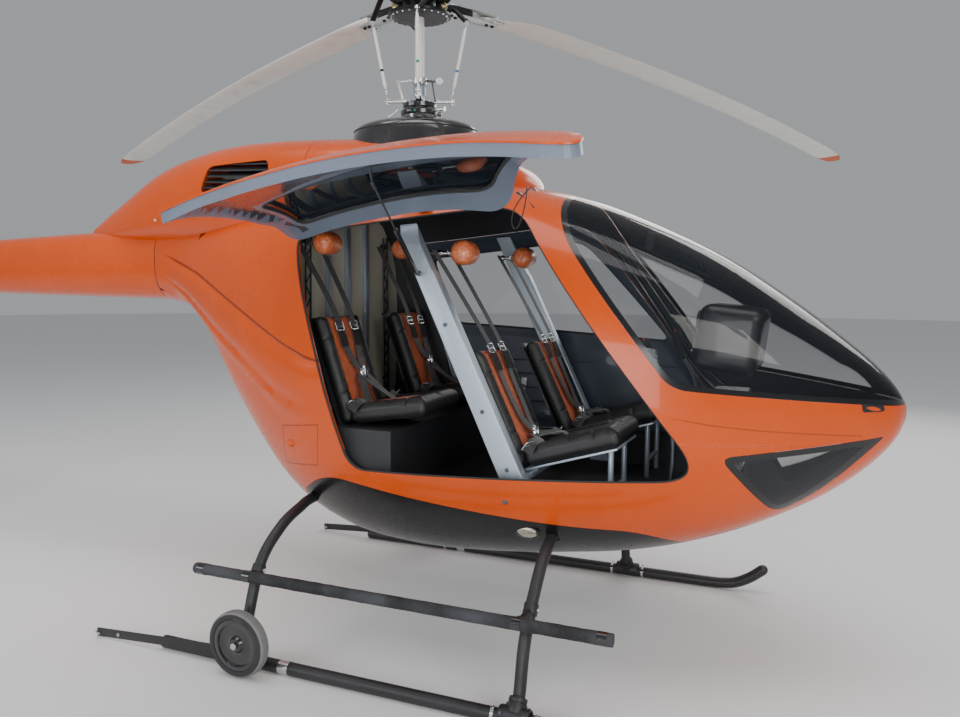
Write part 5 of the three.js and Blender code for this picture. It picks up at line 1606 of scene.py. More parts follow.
def panel_faces(shape, test):
    for face in shape.faces:
        face.material_index = 1 if test(face.calc_center_median(), face.normal) else 0


panel_faces(cushion_form, lambda c, n: abs(c.y) < 0.112 and c.x < 0.098 and n.z > 0.2)
panel_faces(back_form, lambda c, n: abs(c.y) < 0.100 and n.x > 0.2)
black_cushion_form = cushion_form.copy()
panel_faces(black_cushion_form, lambda c, n: False)
cover_leather = surface("cover_leather", (0.014, 0.014, 0.015), 0.42, "black_leather", coat=0.12, drift=0.25,
                        smudge=0.15, grain=0)
cover_leather.bump(cover_leather.noise(620, 3, 0.7), 0.0009)


def moved(shape, place):
    bmesh.ops.transform(shape, matrix=place, verts=shape.verts)
    return shape


def pad_piece(name, shape, place, stands_for=None):
    piece(name, moved(shape.copy(), place), [cover_leather, cloth], sharp=80,
                    stands_for=stands_for)


SEATS = [
    # row, corner x, corner z, cushion length, rise, back length, lean
    ("front", 0.716, 0.956, 0.430, 17, 0.450, 25),
    ("rear", -0.096, 1.082, 0.400, 9, 0.430, 19),
]
seat_places = {}
for row, corner_x, corner_z, length, rise, back_length, lean in SEATS:
    for label, side in SIDES:
        up, back, y = math.radians(rise), math.radians(lean), side * SEAT_Y
        half_length, half_rest = length / 2, (back_length - CUSHION_DEPTH) / 2
        middle = (
            corner_x + math.cos(up) * half_length + math.sin(up) * CUSHION_DEPTH / 2, y,
            corner_z + math.sin(up) * half_length - math.cos(up) * CUSHION_DEPTH / 2,
        )
        rest_middle = (
            corner_x - math.sin(back) * half_rest - math.cos(back) * BACK_DEPTH / 2, y,
            corner_z + math.cos(back) * half_rest - math.sin(back) * BACK_DEPTH / 2,
        )
        cushion_place = placed(middle, (0, -rise, 0)) @ Matrix.Diagonal((length / CUSHION_LENGTH, 1, 1, 1))
        stretch = Matrix.Diagonal((1, 1, (back_length + CUSHION_DEPTH) / BACK_LENGTH, 1))
        rest_place = placed(rest_middle, (0, -lean, 0)) @ stretch
        seat_places[row, label] = cushion_place, rest_place
        pad_piece(f"{row}_{label}_cushion", black_cushion_form if row == "front" else cushion_form,
                  cushion_place, f"{row}_{label}_seat")
        pad_piece(f"{row}_{label}_back", back_form, rest_place)
print("seats", len(seat_places))

# %% [markdown]
# The shell behind each back is a folded black panel, and the frame under the front cushions is tube and
# sheet. Both are what one sees from the side through the open door.

# %% Seat shells, pans and frame tubes
tubes, feet = bmesh.new(), bmesh.new()
shells = [moved(box(bmesh.new(), (0.007, 0.352, 0.520), (-BACK_DEPTH / 2 - 0.0045, 0, 0.0), bevel=0.003),
                rest_place) for _, rest_place in seat_places.values()]
beam_x, beam_z, leg_x, reach = 0.735, 0.838, 1.080, POST_Y - POST_DEPTH / 2
rod(tubes, (beam_x, -reach, beam_z), (beam_x, reach, beam_z), 0.0195, segments=32, bevel=0.002)
for side in (-1, 1):
    pan_place = (0.926, side * SEAT_Y, 0.9256)
    box(tubes, (0.400, 0.330, 0.0095), pan_place, (0, -17, 0), 0.003)
    for offset in (-0.110, 0.110):
        y = side * SEAT_Y + offset
        rod(tubes, (beam_x, y, beam_z), (0.778, y, 0.870), 0.0115, segments=20)
        rod(tubes, (leg_x, y, 0.968), (leg_x, y, FLOOR_Z + 0.004), 0.0115, segments=24)
        lathe(feet, [(0.0006, 0.0), (0.0006, 0.027), (0.004, 0.027), (0.0065, 0.022), (0.0065, 0.0)],
              (leg_x, y, FLOOR_Z), (0, 0, 1), 28)
    box(tubes, (0.018, 0.240, 0.018), (leg_x, side * SEAT_Y, 0.800), bevel=0.003)
    box(feet, (0.016, 0.050, 0.070), (beam_x, side * (reach - 0.010), beam_z), bevel=0.003)
piece("seat_shells", joined(*shells), pod_black)
piece("seat_frame", tubes, satin_metal, stands_for="front_seat_frame")
piece("seat_feet", feet, dark_metal)
print("seat frame ready")

# %% [markdown]
# ## Headrests
# Each headrest is a short roll in its shiny protective wrap on a silver rod. In front the rod turns a
# corner to the leaning post, and in the rear it comes straight out of the bulkhead. The wrap is gathered
# at both ends, so the roll is a barrel with soft ends and its film creases.

# %% Headrest rolls and their rods
def headrest_roll(middle):
    """A roll along Y with gathered ends."""
    shape = lathe(bmesh.new(), symmetric(
        (0.0690, 0.0), (0.0695, 0.012), (0.0680, 0.024), (0.0630, 0.0345), (0.0540, 0.0440), (0.0410, 0.0505),
        (0.0200, 0.0535), middle=[(0.0, 0.0530)],
    ), middle, (0, 1, 0), 64)
    long_edges = [e for e in shape.edges if e.calc_length() > 0.006]
    bmesh.ops.subdivide_edges(shape, edges=long_edges, cuts=2, use_grid_fill=True)
    random.seed(round(middle[0] * 1000) + round(middle[1] * 1000))
    phases = [random.uniform(0, math.tau) for _ in range(6)]
    for vert in shape.verts:
        away = vert.co - Vector(middle)
        angle = math.atan2(away.z, away.x)
        ripple = math.sin(angle * 11 + phases[0] + away.y * 40) * 0.35
        ripple += math.sin(angle * 23 + phases[1] - away.y * 90) * 0.25
        ripple += math.sin(angle * 5 + away.y * 120 + phases[2]) * 0.4
        ends = ramp_between(abs(away.y), 0.030, 0.066)
        out = Vector((away.x, 0, away.z))
        if out.length > 0.004:
            vert.co += out.normalized() * ripple * (0.0006 + 0.0012 * ends)
    return shape


HEADREST_Y, ARM_RADIUS = 0.365, 0.0085


def headrest(row, label, middle, arms):
    roll = piece(f"{row}_{label}_headrest_roll", headrest_roll(middle), wrap, sharp=60,
                 stands_for=f"{row}_{label}_headrest")
    piece(f"{row}_{label}_headrest_arm", arms, bright_steel, slot="satin_aluminium")


for label, side in SIDES:
    y, z, corner_x, post_face = side * HEADREST_Y, 1.750, 0.290, side * (POST_Y - POST_DEPTH / 2)
    arms = rod(bmesh.new(), (0.300, y, z), (0.396, y, z), ARM_RADIUS, segments=24)
    rod(arms, (corner_x, y, z), (corner_x, post_face, z), ARM_RADIUS, segments=24)
    ball(arms, (corner_x, y, z), 0.015)
    for x in (0.352, 0.330):
        rod(arms, (x - 0.004, y, z), (x + 0.004, y, z), 0.014, segments=6, bevel=0.001)
    lathe(arms, [(0.0, 0.0), (0.0, 0.024), (0.003, 0.024), (0.006, 0.018), (0.006, 0.0)],
          (corner_x, post_face, z), (0, -side, 0), 32)
    headrest("front", label, (0.407, y, z), arms)

    z = 1.800
    arms = rod(bmesh.new(), (BULKHEAD_X, y, z), (-0.325, y, z), ARM_RADIUS, segments=24)
    ball(arms, (-0.350, y, z), 0.016)
    lathe(arms, [(0.0, 0.0), (0.0, 0.030), (0.003, 0.030), (0.008, 0.020), (0.008, 0.0)], (BULKHEAD_X, y, z),
          (1, 0, 0), 32)
    headrest("rear", label, (-0.285, y, z), arms)
print("headrests ready")

# %% [markdown]
# ## Harnesses
# Every seat has a black harness. Two shoulder straps come down from behind the headrest, over the top of
# the back, and meet two lap straps at a round buckle. Flat webbing is a thin section drawn along a path,
# with its wide side facing the seat. Chrome adjusters sit near the top edge of each back.

# %% Straps, adjusters and buckles
def strap(shape, path, width, face_way, thick=0.0018):
    """Draws a flat strap along a path with its face turned to one way."""
    path = smooth_path(path, 6)
    face_way = Vector(face_way).normalized()
    rings = []
    for i, point in enumerate(path):
        way = (path[min(i + 1, len(path) - 1)] - path[max(i - 1, 0)]).normalized()
        across = way.cross(face_way).normalized()
        normal = across.cross(way)
        place = Matrix.Translation(point) @ Matrix((across, normal, way)).transposed().to_4x4()
        stretch = Matrix.Diagonal((width / 2 * 1.414, thick / 2 * 1.414, 1, 1))
        rings.append(place @ stretch @ Matrix.Rotation(math.pi / 4, 4, "Z"))
    return drawn(shape, rings, 4)


def frame_buckle(shape, place, size, radius):
    """A wire frame with a cross bar, as on a webbing adjuster."""
    half_width, half_height = size[0] / 2, size[1] / 2
    corners = [(-half_width, -half_height), (half_width, -half_height), (half_width, half_height),
               (-half_width, half_height)]
    ring = []
    for (x1, z1), (x2, z2) in zip(corners, corners[1:] + corners[:1]):
        for share in (0.12, 0.5, 0.88):
            ring.append(place @ Vector((0, x1 + (x2 - x1) * share, z1 + (z2 - z1) * share)))
    pipe(shape, ring, radius, 8, closed=True)
    rod(shape, place @ Vector((0, -half_width, 0)), place @ Vector((0, half_width, 0)), radius, segments=10)


for (row, label), (cushion_place, rest_place) in seat_places.items():
    side, front = -1 if label == "right" else 1, row == "front"
    webs, metal, pads = bmesh.new(), bmesh.new(), bmesh.new()
    facing = (rest_place.to_3x3() @ Vector((1, 0, 0))).normalized()
    upward = (cushion_place.to_3x3() @ Vector((0, 0, 1))).normalized()
    on_back = lambda out, y, z: rest_place @ Vector((BACK_DEPTH / 2 + out, y, z))
    on_seat = lambda x, y, out: cushion_place @ Vector((x, y, CUSHION_DEPTH / 2 + out))
    buckle_height, adjuster_height = (-0.150, 0.246) if front else (-0.045, 0.192)
    buckle = on_back(0.020, 0.0, buckle_height)
    head = Vector((0.330 if front else -0.360, side * HEADREST_Y, 1.750 if front else 1.800))
    for across in (-1, 1):
        anchor = head + Vector((-0.030, across * 0.085, 0.010))
        top = on_back(0.006, across * 0.062, BACK_LENGTH / 2 - 0.010)
        path = [anchor, anchor.lerp(top, 0.5) + facing * 0.006, top + facing * 0.006,
                on_back(0.006, across * 0.056, 0.120), on_back(0.008, across * 0.046, buckle_height + 0.120),
                on_back(0.014, across * 0.026, buckle_height + 0.050),
                buckle + facing * 0.004 + Vector((0, across * 0.018, 0.014))]
        strap(webs, path, 0.042, facing)
        lap_end = on_seat(-0.170, across * 0.212, -0.020)
        lap = [lap_end, on_seat(-0.150, across * 0.170, 0.012), on_seat(-0.145, across * 0.100, 0.010),
               buckle + Vector((0, across * 0.026, -0.006)) + facing * 0.004]
        strap(webs, lap, 0.042, (facing + upward).normalized())
        adjuster = placed(on_back(0.012, across * 0.060, adjuster_height), (0, -25 if front else -19, 0))
        frame_buckle(metal, adjuster, (0.056, 0.040), 0.0028)
        strap(pads, [on_back(0.010, across * 0.0595, adjuster_height - 0.012),
                     on_back(0.013, across * 0.058, adjuster_height - 0.050),
                     on_back(0.010, across * 0.055, adjuster_height - 0.100)], 0.050, facing, 0.005)
        hook = placed(on_seat(-0.165, across * 0.196, 0.004), (0, 40, across * 20))
        frame_buckle(metal, hook, (0.050, 0.046), 0.0030)
    crotch = [on_seat(-0.060, 0, -0.004), on_seat(-0.085, 0, 0.014),
              buckle - Vector((0, 0, 0.020)) + facing * 0.003]
    strap(webs, crotch, 0.042, (facing + upward).normalized())
    lathe(metal, [(-0.006, 0.0), (-0.006, 0.030), (0.004, 0.030), (0.009, 0.026), (0.011, 0.018),
                  (0.011, 0.0)], buckle + facing * 0.006, facing, 36)
    latch = [buckle + facing * out + Vector((0, 0, up))
             for out, up in ((0.019, -0.022), (0.021, 0), (0.019, 0.022))]
    strap(metal, latch, 0.014, facing, 0.004)
    piece(f"{row}_{label}_harness", webs, webbing)
    piece(f"{row}_{label}_harness_pads", pads, soft_black, slot="black_leather")
    piece(f"{row}_{label}_harness_metal", metal, bright_steel)
print("harnesses ready")

# %% [markdown]
# ## Fairings and the dome round the mast
# Two thin mouldings cover the engine and the gearbox. They could be two sheets with a thickness added, but
# a sheet thickened that way gets ragged where it meets the curved body. Each one is cut from a closed
# form instead, as the body is, and the space of the body and the dome is then taken away from it.

# %% Engine fairing, mast fairing and dome
COWL_WALL = 0.008
ENGINE_COWL = [
    # x, half width, bottom, top, height of the widest point
    (-2.0800, 0.050, 1.860, 1.925, 1.890),
    (-1.8000, 0.150, 1.830, 2.060, 1.910),
    (-1.4500, 0.245, 1.820, 2.225, 1.950),
    (-1.0500, 0.322, 1.800, 2.308, 1.990),
    (-0.7000, 0.352, 1.800, 2.324, 2.010),
    (-0.4312, 0.356, 1.800, 2.316, 2.020),
]
MAST_COWL = [
    (-0.4288, 0.356, 1.800, 2.316, 2.020),
    (-0.2000, 0.368, 1.800, 2.304, 2.020),
    (0.0600, 0.368, 1.800, 2.290, 2.020),
    (0.3000, 0.345, 1.850, 2.252, 2.015),
    (0.4800, 0.260, 1.900, 2.175, 2.010),
    (0.5800, 0.160, 1.940, 2.108, 2.028),
    (0.6120, 0.040, 1.990, 2.062, 2.030),
]
BOOM_STATIONS = [
    (-4.960, 0.070, 1.600, 1.775, 1.688),
    (-4.400, 0.088, 1.582, 1.798, 1.690),
    (-2.930, 0.132, 1.544, 1.868, 1.706),
    (-1.504, 0.176, 1.524, 1.918, 1.722),
]
INTAKE = [(-1.060, 2.060, 0.030), (-1.020, 2.190, 0.035), (-0.640, 2.200, 0.030), (-0.600, 2.060, 0.030)]
INTAKE_REACH = (0.15, 0.5)
DOME_X, DOME_FLATNESS = -0.020, 0.88
ROD_ANGLES, ROD_REACH = (30, 150, 270), 0.080
DOME_PROFILE = [(2.240, 0.322), (2.300, 0.310), (2.336, 0.302), (2.350, 0.291), (2.360, 0.275),
                (2.368, 0.254), (2.377, 0.221), (2.384, 0.187), (2.390, 0.138), (2.394, 0.080), (2.396, 0.0)]


def dome_form(shrink=0.0, foot=0.0):
    shape = bmesh.new()
    profile = [(z - shrink, max(radius - shrink, 0)) for z, radius in DOME_PROFILE]
    lathe(shape, [(profile[0][0] - foot, 0), (profile[0][0] - foot, profile[0][1]), *profile], steps=96)
    bmesh.ops.transform(
        shape, matrix=placed((DOME_X, 0, 0)) @ Matrix.Diagonal((1, DOME_FLATNESS, 1, 1)), verts=shape.verts,
    )
    return shape


def fairing(rows, rings):
    shell = form(rows, rings * FINE, 90 * FINE, nose_shift=0)
    rear = [(rows[0][0] + (0.02 if rows is ENGINE_COWL else -0.02), *rows[0][1:]), *rows[1:]]
    cut(shell, form(rear, 50, 60, COWL_WALL, 0.4))
    cut(shell, outer_form.copy())
    cut(shell, dome_form(-0.0012, 0.1))
    return shell


def without_loose_ends(shape):
    """Keeps only the largest connected part of a cut shape."""
    islands, waiting = [], set(shape.verts)
    while waiting:
        island, edge = set(), [waiting.pop()]
        while edge:
            vert = edge.pop()
            island.add(vert)
            near = [e.other_vert(vert) for e in vert.link_edges if e.other_vert(vert) in waiting]
            waiting.difference_update(near)
            edge.extend(near)
        islands.append(island)
    largest = max(islands, key=len)
    bmesh.ops.delete(shape, geom=[v for v in shape.verts if v not in largest], context="VERTS")
    return shape


engine_shell = fairing(ENGINE_COWL, 70)
cut(engine_shell, form(BOOM_STATIONS, 40, 60))
cut(engine_shell, both_sides(INTAKE, *INTAKE_REACH))
mast_shell = fairing(MAST_COWL, 60)
for name, shell, stand_in in (("engine_fairing", engine_shell, "engine_cowl"),
                              ("mast_fairing", mast_shell, "mast_cowl")):
    without_loose_ends(shell)
    piece(name, shell, orange_plain, stands_for=stand_in)

dome_shell = cut(dome_form(), dome_form(0.012, 0.05))
cut(dome_shell, rod(bmesh.new(), (0, 0, 2.2), (0, 0, 2.5), 0.034, segments=48))
for degrees in ROD_ANGLES:
    foot = Matrix.Rotation(math.radians(degrees), 4, "Z") @ Vector((ROD_REACH, 0, 2.2))
    cut(dome_shell, rod(bmesh.new(), foot, foot + Vector((0, 0, 0.3)), 0.0084, segments=24))
piece("dome_shell", dome_shell, black_gloss, stands_for="mast_dome")
print("fairings and dome ready")

# %% [markdown]
# The engine breathes through an intake in each flank of its fairing, closed by slats. The slats are flat
# strips pushed through and then trimmed by the fairing's own form, so they follow its curve. Quarter-turn
# fasteners hold the mouldings down along their lower edges, and a thin bead closes the dome's joint.

# %% Intake slats, fasteners and beads
slats = bmesh.new()
for side in (-1, 1):
    for row in range(6):
        box(slats, (0.50, 0.16, 0.0025), (-0.83, side * 0.30, 2.066 + row * 0.026), (side * -28, 0, 0))
overlap(slats, form(ENGINE_COWL, 50, 60, 0.003, 0.4))
cut(slats, form(ENGINE_COWL, 50, 60, 0.034, 0.4))
overlap(slats, both_sides(INTAKE, *INTAKE_REACH, 0.001))
piece("intake_slats", slats, inside_black)

fasteners = bmesh.new()
for rows, places in ((ENGINE_COWL, (-1.42, -1.24, -1.06, -0.88, -0.70, -0.52)),
                     (MAST_COWL, (-0.34, -0.16, 0.02, 0.20, 0.36))):
    for x in places:
        for side in (-1, 1):
            z = station(POD_STATIONS, x)[2] + 0.012
            y = side_of_body(x, z, rows=rows)
            out = Vector((0, side_of_body(x, z - 0.01, rows=rows) - y + 0.02, 0.004)).normalized()
            out.y *= side
            lathe(fasteners, [(-0.004, 0), (-0.004, 0.009), (0.0010, 0.009), (0.0016, 0.007),
                              (0.0004, 0.005), (0.0004, 0)], (x, side * y, z), out, 20)
piece("fairing_fasteners", fasteners, bare_metal, slot="steel")

dome_ring = [Vector((DOME_X + 0.3022 * math.cos(a), 0.3022 * DOME_FLATNESS * math.sin(a), 2.3350))
             for a in (math.tau * i / 96 for i in range(96))]
piece("dome_bead", pipe(bmesh.new(), dome_ring, 0.0028, 8, closed=True), rubber)
print("intake, fasteners and bead ready")

# %% [markdown]
# ## Mast and swashplates
# Four white links carry the pilot's pitch demand from a star on the mast up to the blades. The star turns
# with the mast, pulled round by a cranked aluminium arm from a clamp collar, and the ring under it stands
# still on three rods. Every part of this is machined, so it is all turned shapes, bars and small bolts.

# %% Turned and barred parts of the mast
def bolt(shape, at, way, radius=0.006, height=0.005):
    """A hexagon head on its washer, standing on a surface."""
    at, way = Vector(at), Vector(way).normalized()
    rod(shape, at - way * 0.001, at + way * height * 0.3, radius * 1.35, segments=20)
    return rod(shape, at + way * height * 0.25, at + way * height, radius, segments=6, bevel=radius * 0.12)


def polar(radius, degrees, z):
    angle = math.radians(degrees)
    return Vector((radius * math.cos(angle), radius * math.sin(angle), z))


def bar(shape, start, end, width, thickness, bevel=0.002):
    """A flat bar between two places, its width level."""
    start, end = Vector(start), Vector(end)
    along = (end - start).normalized()
    level = Vector((0, 0, 1)).cross(along)
    across = level.normalized() if level.length > 0.05 else along.orthogonal().normalized()
    turn = Matrix((along, across, along.cross(across))).transposed().to_4x4()
    length = (end - start).length
    corners = [(-length / 2, -width / 2), (length / 2, -width / 2), (length / 2, width / 2),
               (-length / 2, width / 2)]
    return plate(shape, corners, thickness, Matrix.Translation((start + end) / 2) @ turn, bevel)


FIRST_BLADE, LINK_LEAD, LINK_FOOT, LINK_HEAD = -25.5, 40.0, 0.155, 0.222
SCISSOR_ANGLE, COUNTER_ANGLE = 200, 12
BLADE_AZIMUTHS = [FIRST_BLADE + 90 * i for i in range(4)]
LINK_BANDS = [green_band, blue_band, red_plastic, soft_black]
sleeve_blue = surface("sleeve_blue_grey", (0.30, 0.38, 0.45), 0.35, "satin_aluminium", metal=0.5, drift=0.08,
                      cloud_scale=12)


def rotor_piece(name, shape, finish, **more):
    return piece(name, shape, finish, body="main_rotor", **more)


def on_mast(name, profile, finish, steps=48, **more):
    """A turned piece round the mast, from a section of (height, radius)."""
    return rotor_piece(name, lathe(bmesh.new(), profile, steps=steps), finish, **more)


on_mast("mast_tube", [(2.2503, 0), (2.2503, 0.0210), (2.2520, 0.0220), (2.872, 0.0220), (2.872, 0)],
        white_paint, stands_for="rotor_head")

collar = bmesh.new()
lathe(collar, [(2.560, 0.0222), (2.560, 0.033), (2.562, 0.035), (2.590, 0.035), (2.592, 0.033),
               (2.592, 0.0222)], steps=48)
for degrees in (-62, 118):
    box(collar, (0.030, 0.016, 0.026), polar(0.042, degrees, 2.576), (0, 0, degrees), 0.002)
    for z in (2.568, 2.584):
        bolt(collar, polar(0.043, degrees, z) + polar(0.008, degrees + 90, 0), polar(1, degrees + 90, 0),
             0.0035, 0.004)
rotor_piece("clamp_collar", collar, bare_metal, slot="steel")

on_mast("mast_sleeve", [(2.506, 0.0222), (2.506, 0.029), (2.548, 0.029), (2.556, 0.026), (2.559, 0.0222)],
        sleeve_blue)
on_mast("star_ball", [(2.470, 0.0222), (2.470, 0.034), (2.480, 0.042), (2.494, 0.042), (2.505, 0.034),
                      (2.505, 0.0222)], satin_metal, 10, sharp=12)
print("mast ready")

# %% Rotating star, scissor arms and hose
on_mast("star_hub", [
    (2.4485, 0.0225), (2.4485, 0.076), (2.452, 0.080), (2.470, 0.080), (2.474, 0.076), (2.474, 0.060),
    (2.479, 0.054), (2.479, 0.0430), (2.470, 0.0350), (2.470, 0.0225),
], black_gloss, 56)
star_arms, star_bolts = bmesh.new(), bmesh.new()
for azimuth in BLADE_AZIMUTHS:
    link = azimuth - LINK_LEAD
    bar(star_arms, polar(0.060, link, 2.481), polar(0.166, link, 2.481), 0.030, 0.012, 0.003)
    rod(star_arms, polar(LINK_FOOT, link, 2.470), polar(LINK_FOOT, link, 2.497), 0.011, segments=24,
        bevel=0.002)
    bolt(star_bolts, polar(LINK_FOOT, link, 2.4705), (0, 0, -1), 0.007, 0.006)
    for reach in (0.068, 0.088):
        bolt(star_bolts, polar(reach, link, 2.487), (0, 0, 1), 0.0045, 0.0045)
    for turn in (22, 45, 68):
        bolt(star_bolts, polar(0.067, link + turn, 2.474), (0, 0, 1), 0.0042, 0.0045)
rotor_piece("star_arms", star_arms, bare_metal)
rotor_piece("star_bolts", star_bolts, bright_steel)

scissor = bmesh.new()
bar(scissor, polar(0.034, SCISSOR_ANGLE, 2.582), polar(0.108, SCISSOR_ANGLE, 2.574), 0.014, 0.009)
bar(scissor, polar(0.104, SCISSOR_ANGLE, 2.579), polar(0.080, SCISSOR_ANGLE, 2.488), 0.014, 0.008)
half_pin = polar(0.012, SCISSOR_ANGLE - 90, 0)
for reach, z, radius in ((0.104, 2.575, 0.007), (0.080, 2.489, 0.006)):
    joint = polar(reach, SCISSOR_ANGLE, z)
    rod(scissor, joint + half_pin, joint - half_pin, radius)
rotor_piece("scissor_arm", scissor, bare_metal)
counter = bmesh.new()
bar(counter, polar(0.034, COUNTER_ANGLE, 2.578), polar(0.098, COUNTER_ANGLE, 2.570), 0.012, 0.009)
bar(counter, polar(0.062, COUNTER_ANGLE, 2.574), polar(0.078, COUNTER_ANGLE, 2.478), 0.010, 0.008)
rotor_piece("counter_arm", counter, dark_metal, slot="black_paint")
roller = bmesh.new()
tangent, hinge = polar(1, COUNTER_ANGLE - 90, 0), polar(0.100, COUNTER_ANGLE, 2.571)
lathe(roller, [(0, 0.004), (0, 0.014), (0.003, 0.0165), (0.011, 0.0165), (0.014, 0.014), (0.014, 0.004)],
      hinge + tangent * 0.005, tangent, 32)
rotor_piece("arm_roller", roller, white_paint)
pin = rod(bmesh.new(), hinge - tangent * 0.006, hinge + tangent * 0.023, 0.0046, bevel=0.001)
rotor_piece("arm_roller_pin", pin, bright_steel)
hose = smooth_path([polar(0.036, -70, 2.566), polar(0.049, -66, 2.545), polar(0.057, -60, 2.515),
                    polar(0.060, -56, 2.478)], 8)
rotor_piece("mast_hose", pipe(bmesh.new(), hose, 0.0032, 12), white_paint)
print("star and arms ready")

# %% Fixed ring, its rods and levers
ring = bmesh.new()
lathe(ring, [(2.4140, 0.037), (2.4140, 0.086), (2.418, 0.090), (2.434, 0.090), (2.4375, 0.086),
             (2.4375, 0.037)], steps=64)
for degrees in ROD_ANGLES:
    bar(ring, polar(0.060, degrees, 2.4255), polar(0.104, degrees, 2.4255), 0.034, 0.018, 0.003)
piece("fixed_ring", ring, black_gloss, stands_for="fixed_swashplate")
levers, lever_bolts = bmesh.new(), bmesh.new()
for degrees in ROD_ANGLES:
    rod(levers, polar(ROD_REACH, degrees, 2.2503), polar(ROD_REACH, degrees, 2.408), 0.0078, segments=24)
    rod(lever_bolts, polar(ROD_REACH, degrees, 2.400), polar(ROD_REACH, degrees, 2.412), 0.0105, segments=6)
for degrees, foot, head in ((202, (0.150, 2.408), (0.102, 2.446)), (-8, (0.142, 2.434), (0.086, 2.434)),
                            (92, (0.142, 2.434), (0.086, 2.434))):
    (foot_reach, foot_z), (head_reach, head_z) = foot, head
    bar(levers, polar(head_reach, degrees, head_z), polar(foot_reach, degrees, foot_z), 0.020, 0.010, 0.002)
    end = polar(foot_reach, degrees, foot_z)
    rod(lever_bolts, end - Vector((0, 0, 0.010)), end + Vector((0, 0, 0.010)), 0.0065, segments=6)
piece("swashplate_levers", levers, bare_metal)
piece("swashplate_bolts", lever_bolts, bright_steel)
teal = bmesh.new()
for degrees in (-84, 96):
    box(teal, (0.006, 0.030, 0.010), polar(0.0895, degrees, 2.426), (0, 0, degrees), 0.0015)
piece("ring_plugs", teal, teal_plastic)
print("fixed ring ready")

# %% Pitch links
links, link_ends = bmesh.new(), bmesh.new()
for azimuth, band in zip(BLADE_AZIMUTHS, LINK_BANDS):
    link = azimuth - LINK_LEAD
    low, high = polar(LINK_FOOT, link, 2.505), polar(LINK_HEAD, link, 2.850)
    along = (high - low).normalized()
    place = lambda share: low.lerp(high, share)
    rod(links, place(0.10), place(0.15), 0.0050, 0.0078)
    rod(links, place(0.15), place(0.88), 0.0078)
    rod(links, place(0.88), place(0.93), 0.0078, 0.0050)
    rod(link_ends, place(0.025), place(0.12), 0.0034, segments=16)
    rod(link_ends, place(0.91), place(0.985), 0.0034, segments=16)
    for share in (0.095, 0.935):
        rod(link_ends, place(share - 0.008), place(share + 0.008), 0.0058, segments=6)
    around = polar(1, link + 90, 0)
    for end in (low, high):
        lathe(link_ends, [(-0.0045, 0.0035), (-0.0045, 0.0100), (0.0045, 0.0100), (0.0045, 0.0035)], end,
              around, 24)
        ball(link_ends, end, 0.0070, segments=16)
        rod(link_ends, end - around * 0.011, end + around * 0.011, 0.0032, segments=12)
    stripe = pipe(bmesh.new(), [place(0.335), place(0.365)], 0.0084, 24)
    rotor_piece(f"link_band_{band.material.name}", stripe, band)
rotor_piece("pitch_links", links, white_paint)
rotor_piece("link_rod_ends", link_ends, bright_steel)
print("pitch links ready")

# %% [markdown]
# ## Hub and blades
# The hub is two round plates with brass spacers and bolts between them. A blade is a long constant
# wing section, so it is a grid wrapped round that section. The classic thickness curve of a symmetric
# section gives it a round nose and a thin tail, and only rows near root and tip change it.

# %% Wing section
SECTION_CURVE = (2.969, -1.260, -3.516, 2.843, -1.015)


def section_rise(share):
    """Half thickness of a symmetric section, as a share of its largest."""
    root, one, two, three, four = SECTION_CURVE
    return root * math.sqrt(share) + one * share + two * share ** 2 + three * share ** 3 + four * share ** 4


def wing(rows, place, spans=24, around=40, grow=0.0, sag=0.0):
    """A closed wing through rows of reach, leading edge, trailing edge and thickness."""
    shape = bmesh.new()
    first, last = rows[0][0], rows[-1][0]
    reaches = sorted({row[0] for row in rows} | {first + (last - first) * i / spans for i in range(1, spans)})
    bmesh.ops.create_grid(shape, x_segments=len(reaches) - 1, y_segments=around, size=0.5)
    lead_line, trail_line, thick_line = ([(row[0], row[k]) for row in rows] for k in (1, 2, 3))
    for vert in shape.verts:
        reach = reaches[round((vert.co.x + 0.5) * (len(reaches) - 1))]
        lead, trail = line_height(lead_line, reach) + grow, line_height(trail_line, reach) - grow
        angle = (vert.co.y + 0.5) * math.tau
        share = 0.5 - 0.5 * math.cos(angle)
        rise = section_rise(share) * line_height(thick_line, reach) / 2 + grow if share > 1e-9 else 0.0
        vert.co = (reach, lead + (trail - lead) * share, math.copysign(rise, math.sin(angle)))
    bmesh.ops.remove_doubles(shape, verts=shape.verts, dist=2e-5)
    for end in (first, last):
        ring = [v for v in shape.verts if abs(v.co.x - end) < 1e-6]
        bmesh.ops.contextual_create(shape, geom=edges_between(ring))
    for vert in shape.verts:
        vert.co.z -= sag * vert.co.x ** 2
    bmesh.ops.recalc_face_normals(shape, faces=shape.faces)
    bmesh.ops.transform(shape, matrix=place, verts=shape.verts)
    return shape


BLADE_ROWS = [
    # reach, leading edge, trailing edge, thickness
    (0.392, 0.036, -0.040, 0.029),
    (0.400, 0.044, -0.048, 0.034),
    (0.480, 0.050, -0.062, 0.034),
    (0.560, 0.058, -0.108, 0.030),
    (0.660, 0.060, -0.140, 0.025),
    (3.804, 0.060, -0.140, 0.022),
    (4.014, 0.051, -0.119, 0.016),
    (4.092, 0.030, -0.075, 0.010),
    (4.104, 0.018, -0.052, 0.006),
]
HUB_Z, SAG = 2.945, 0.020


def blade_place(azimuth):
    return placed((0, 0, HUB_Z), (0, 0, azimuth))


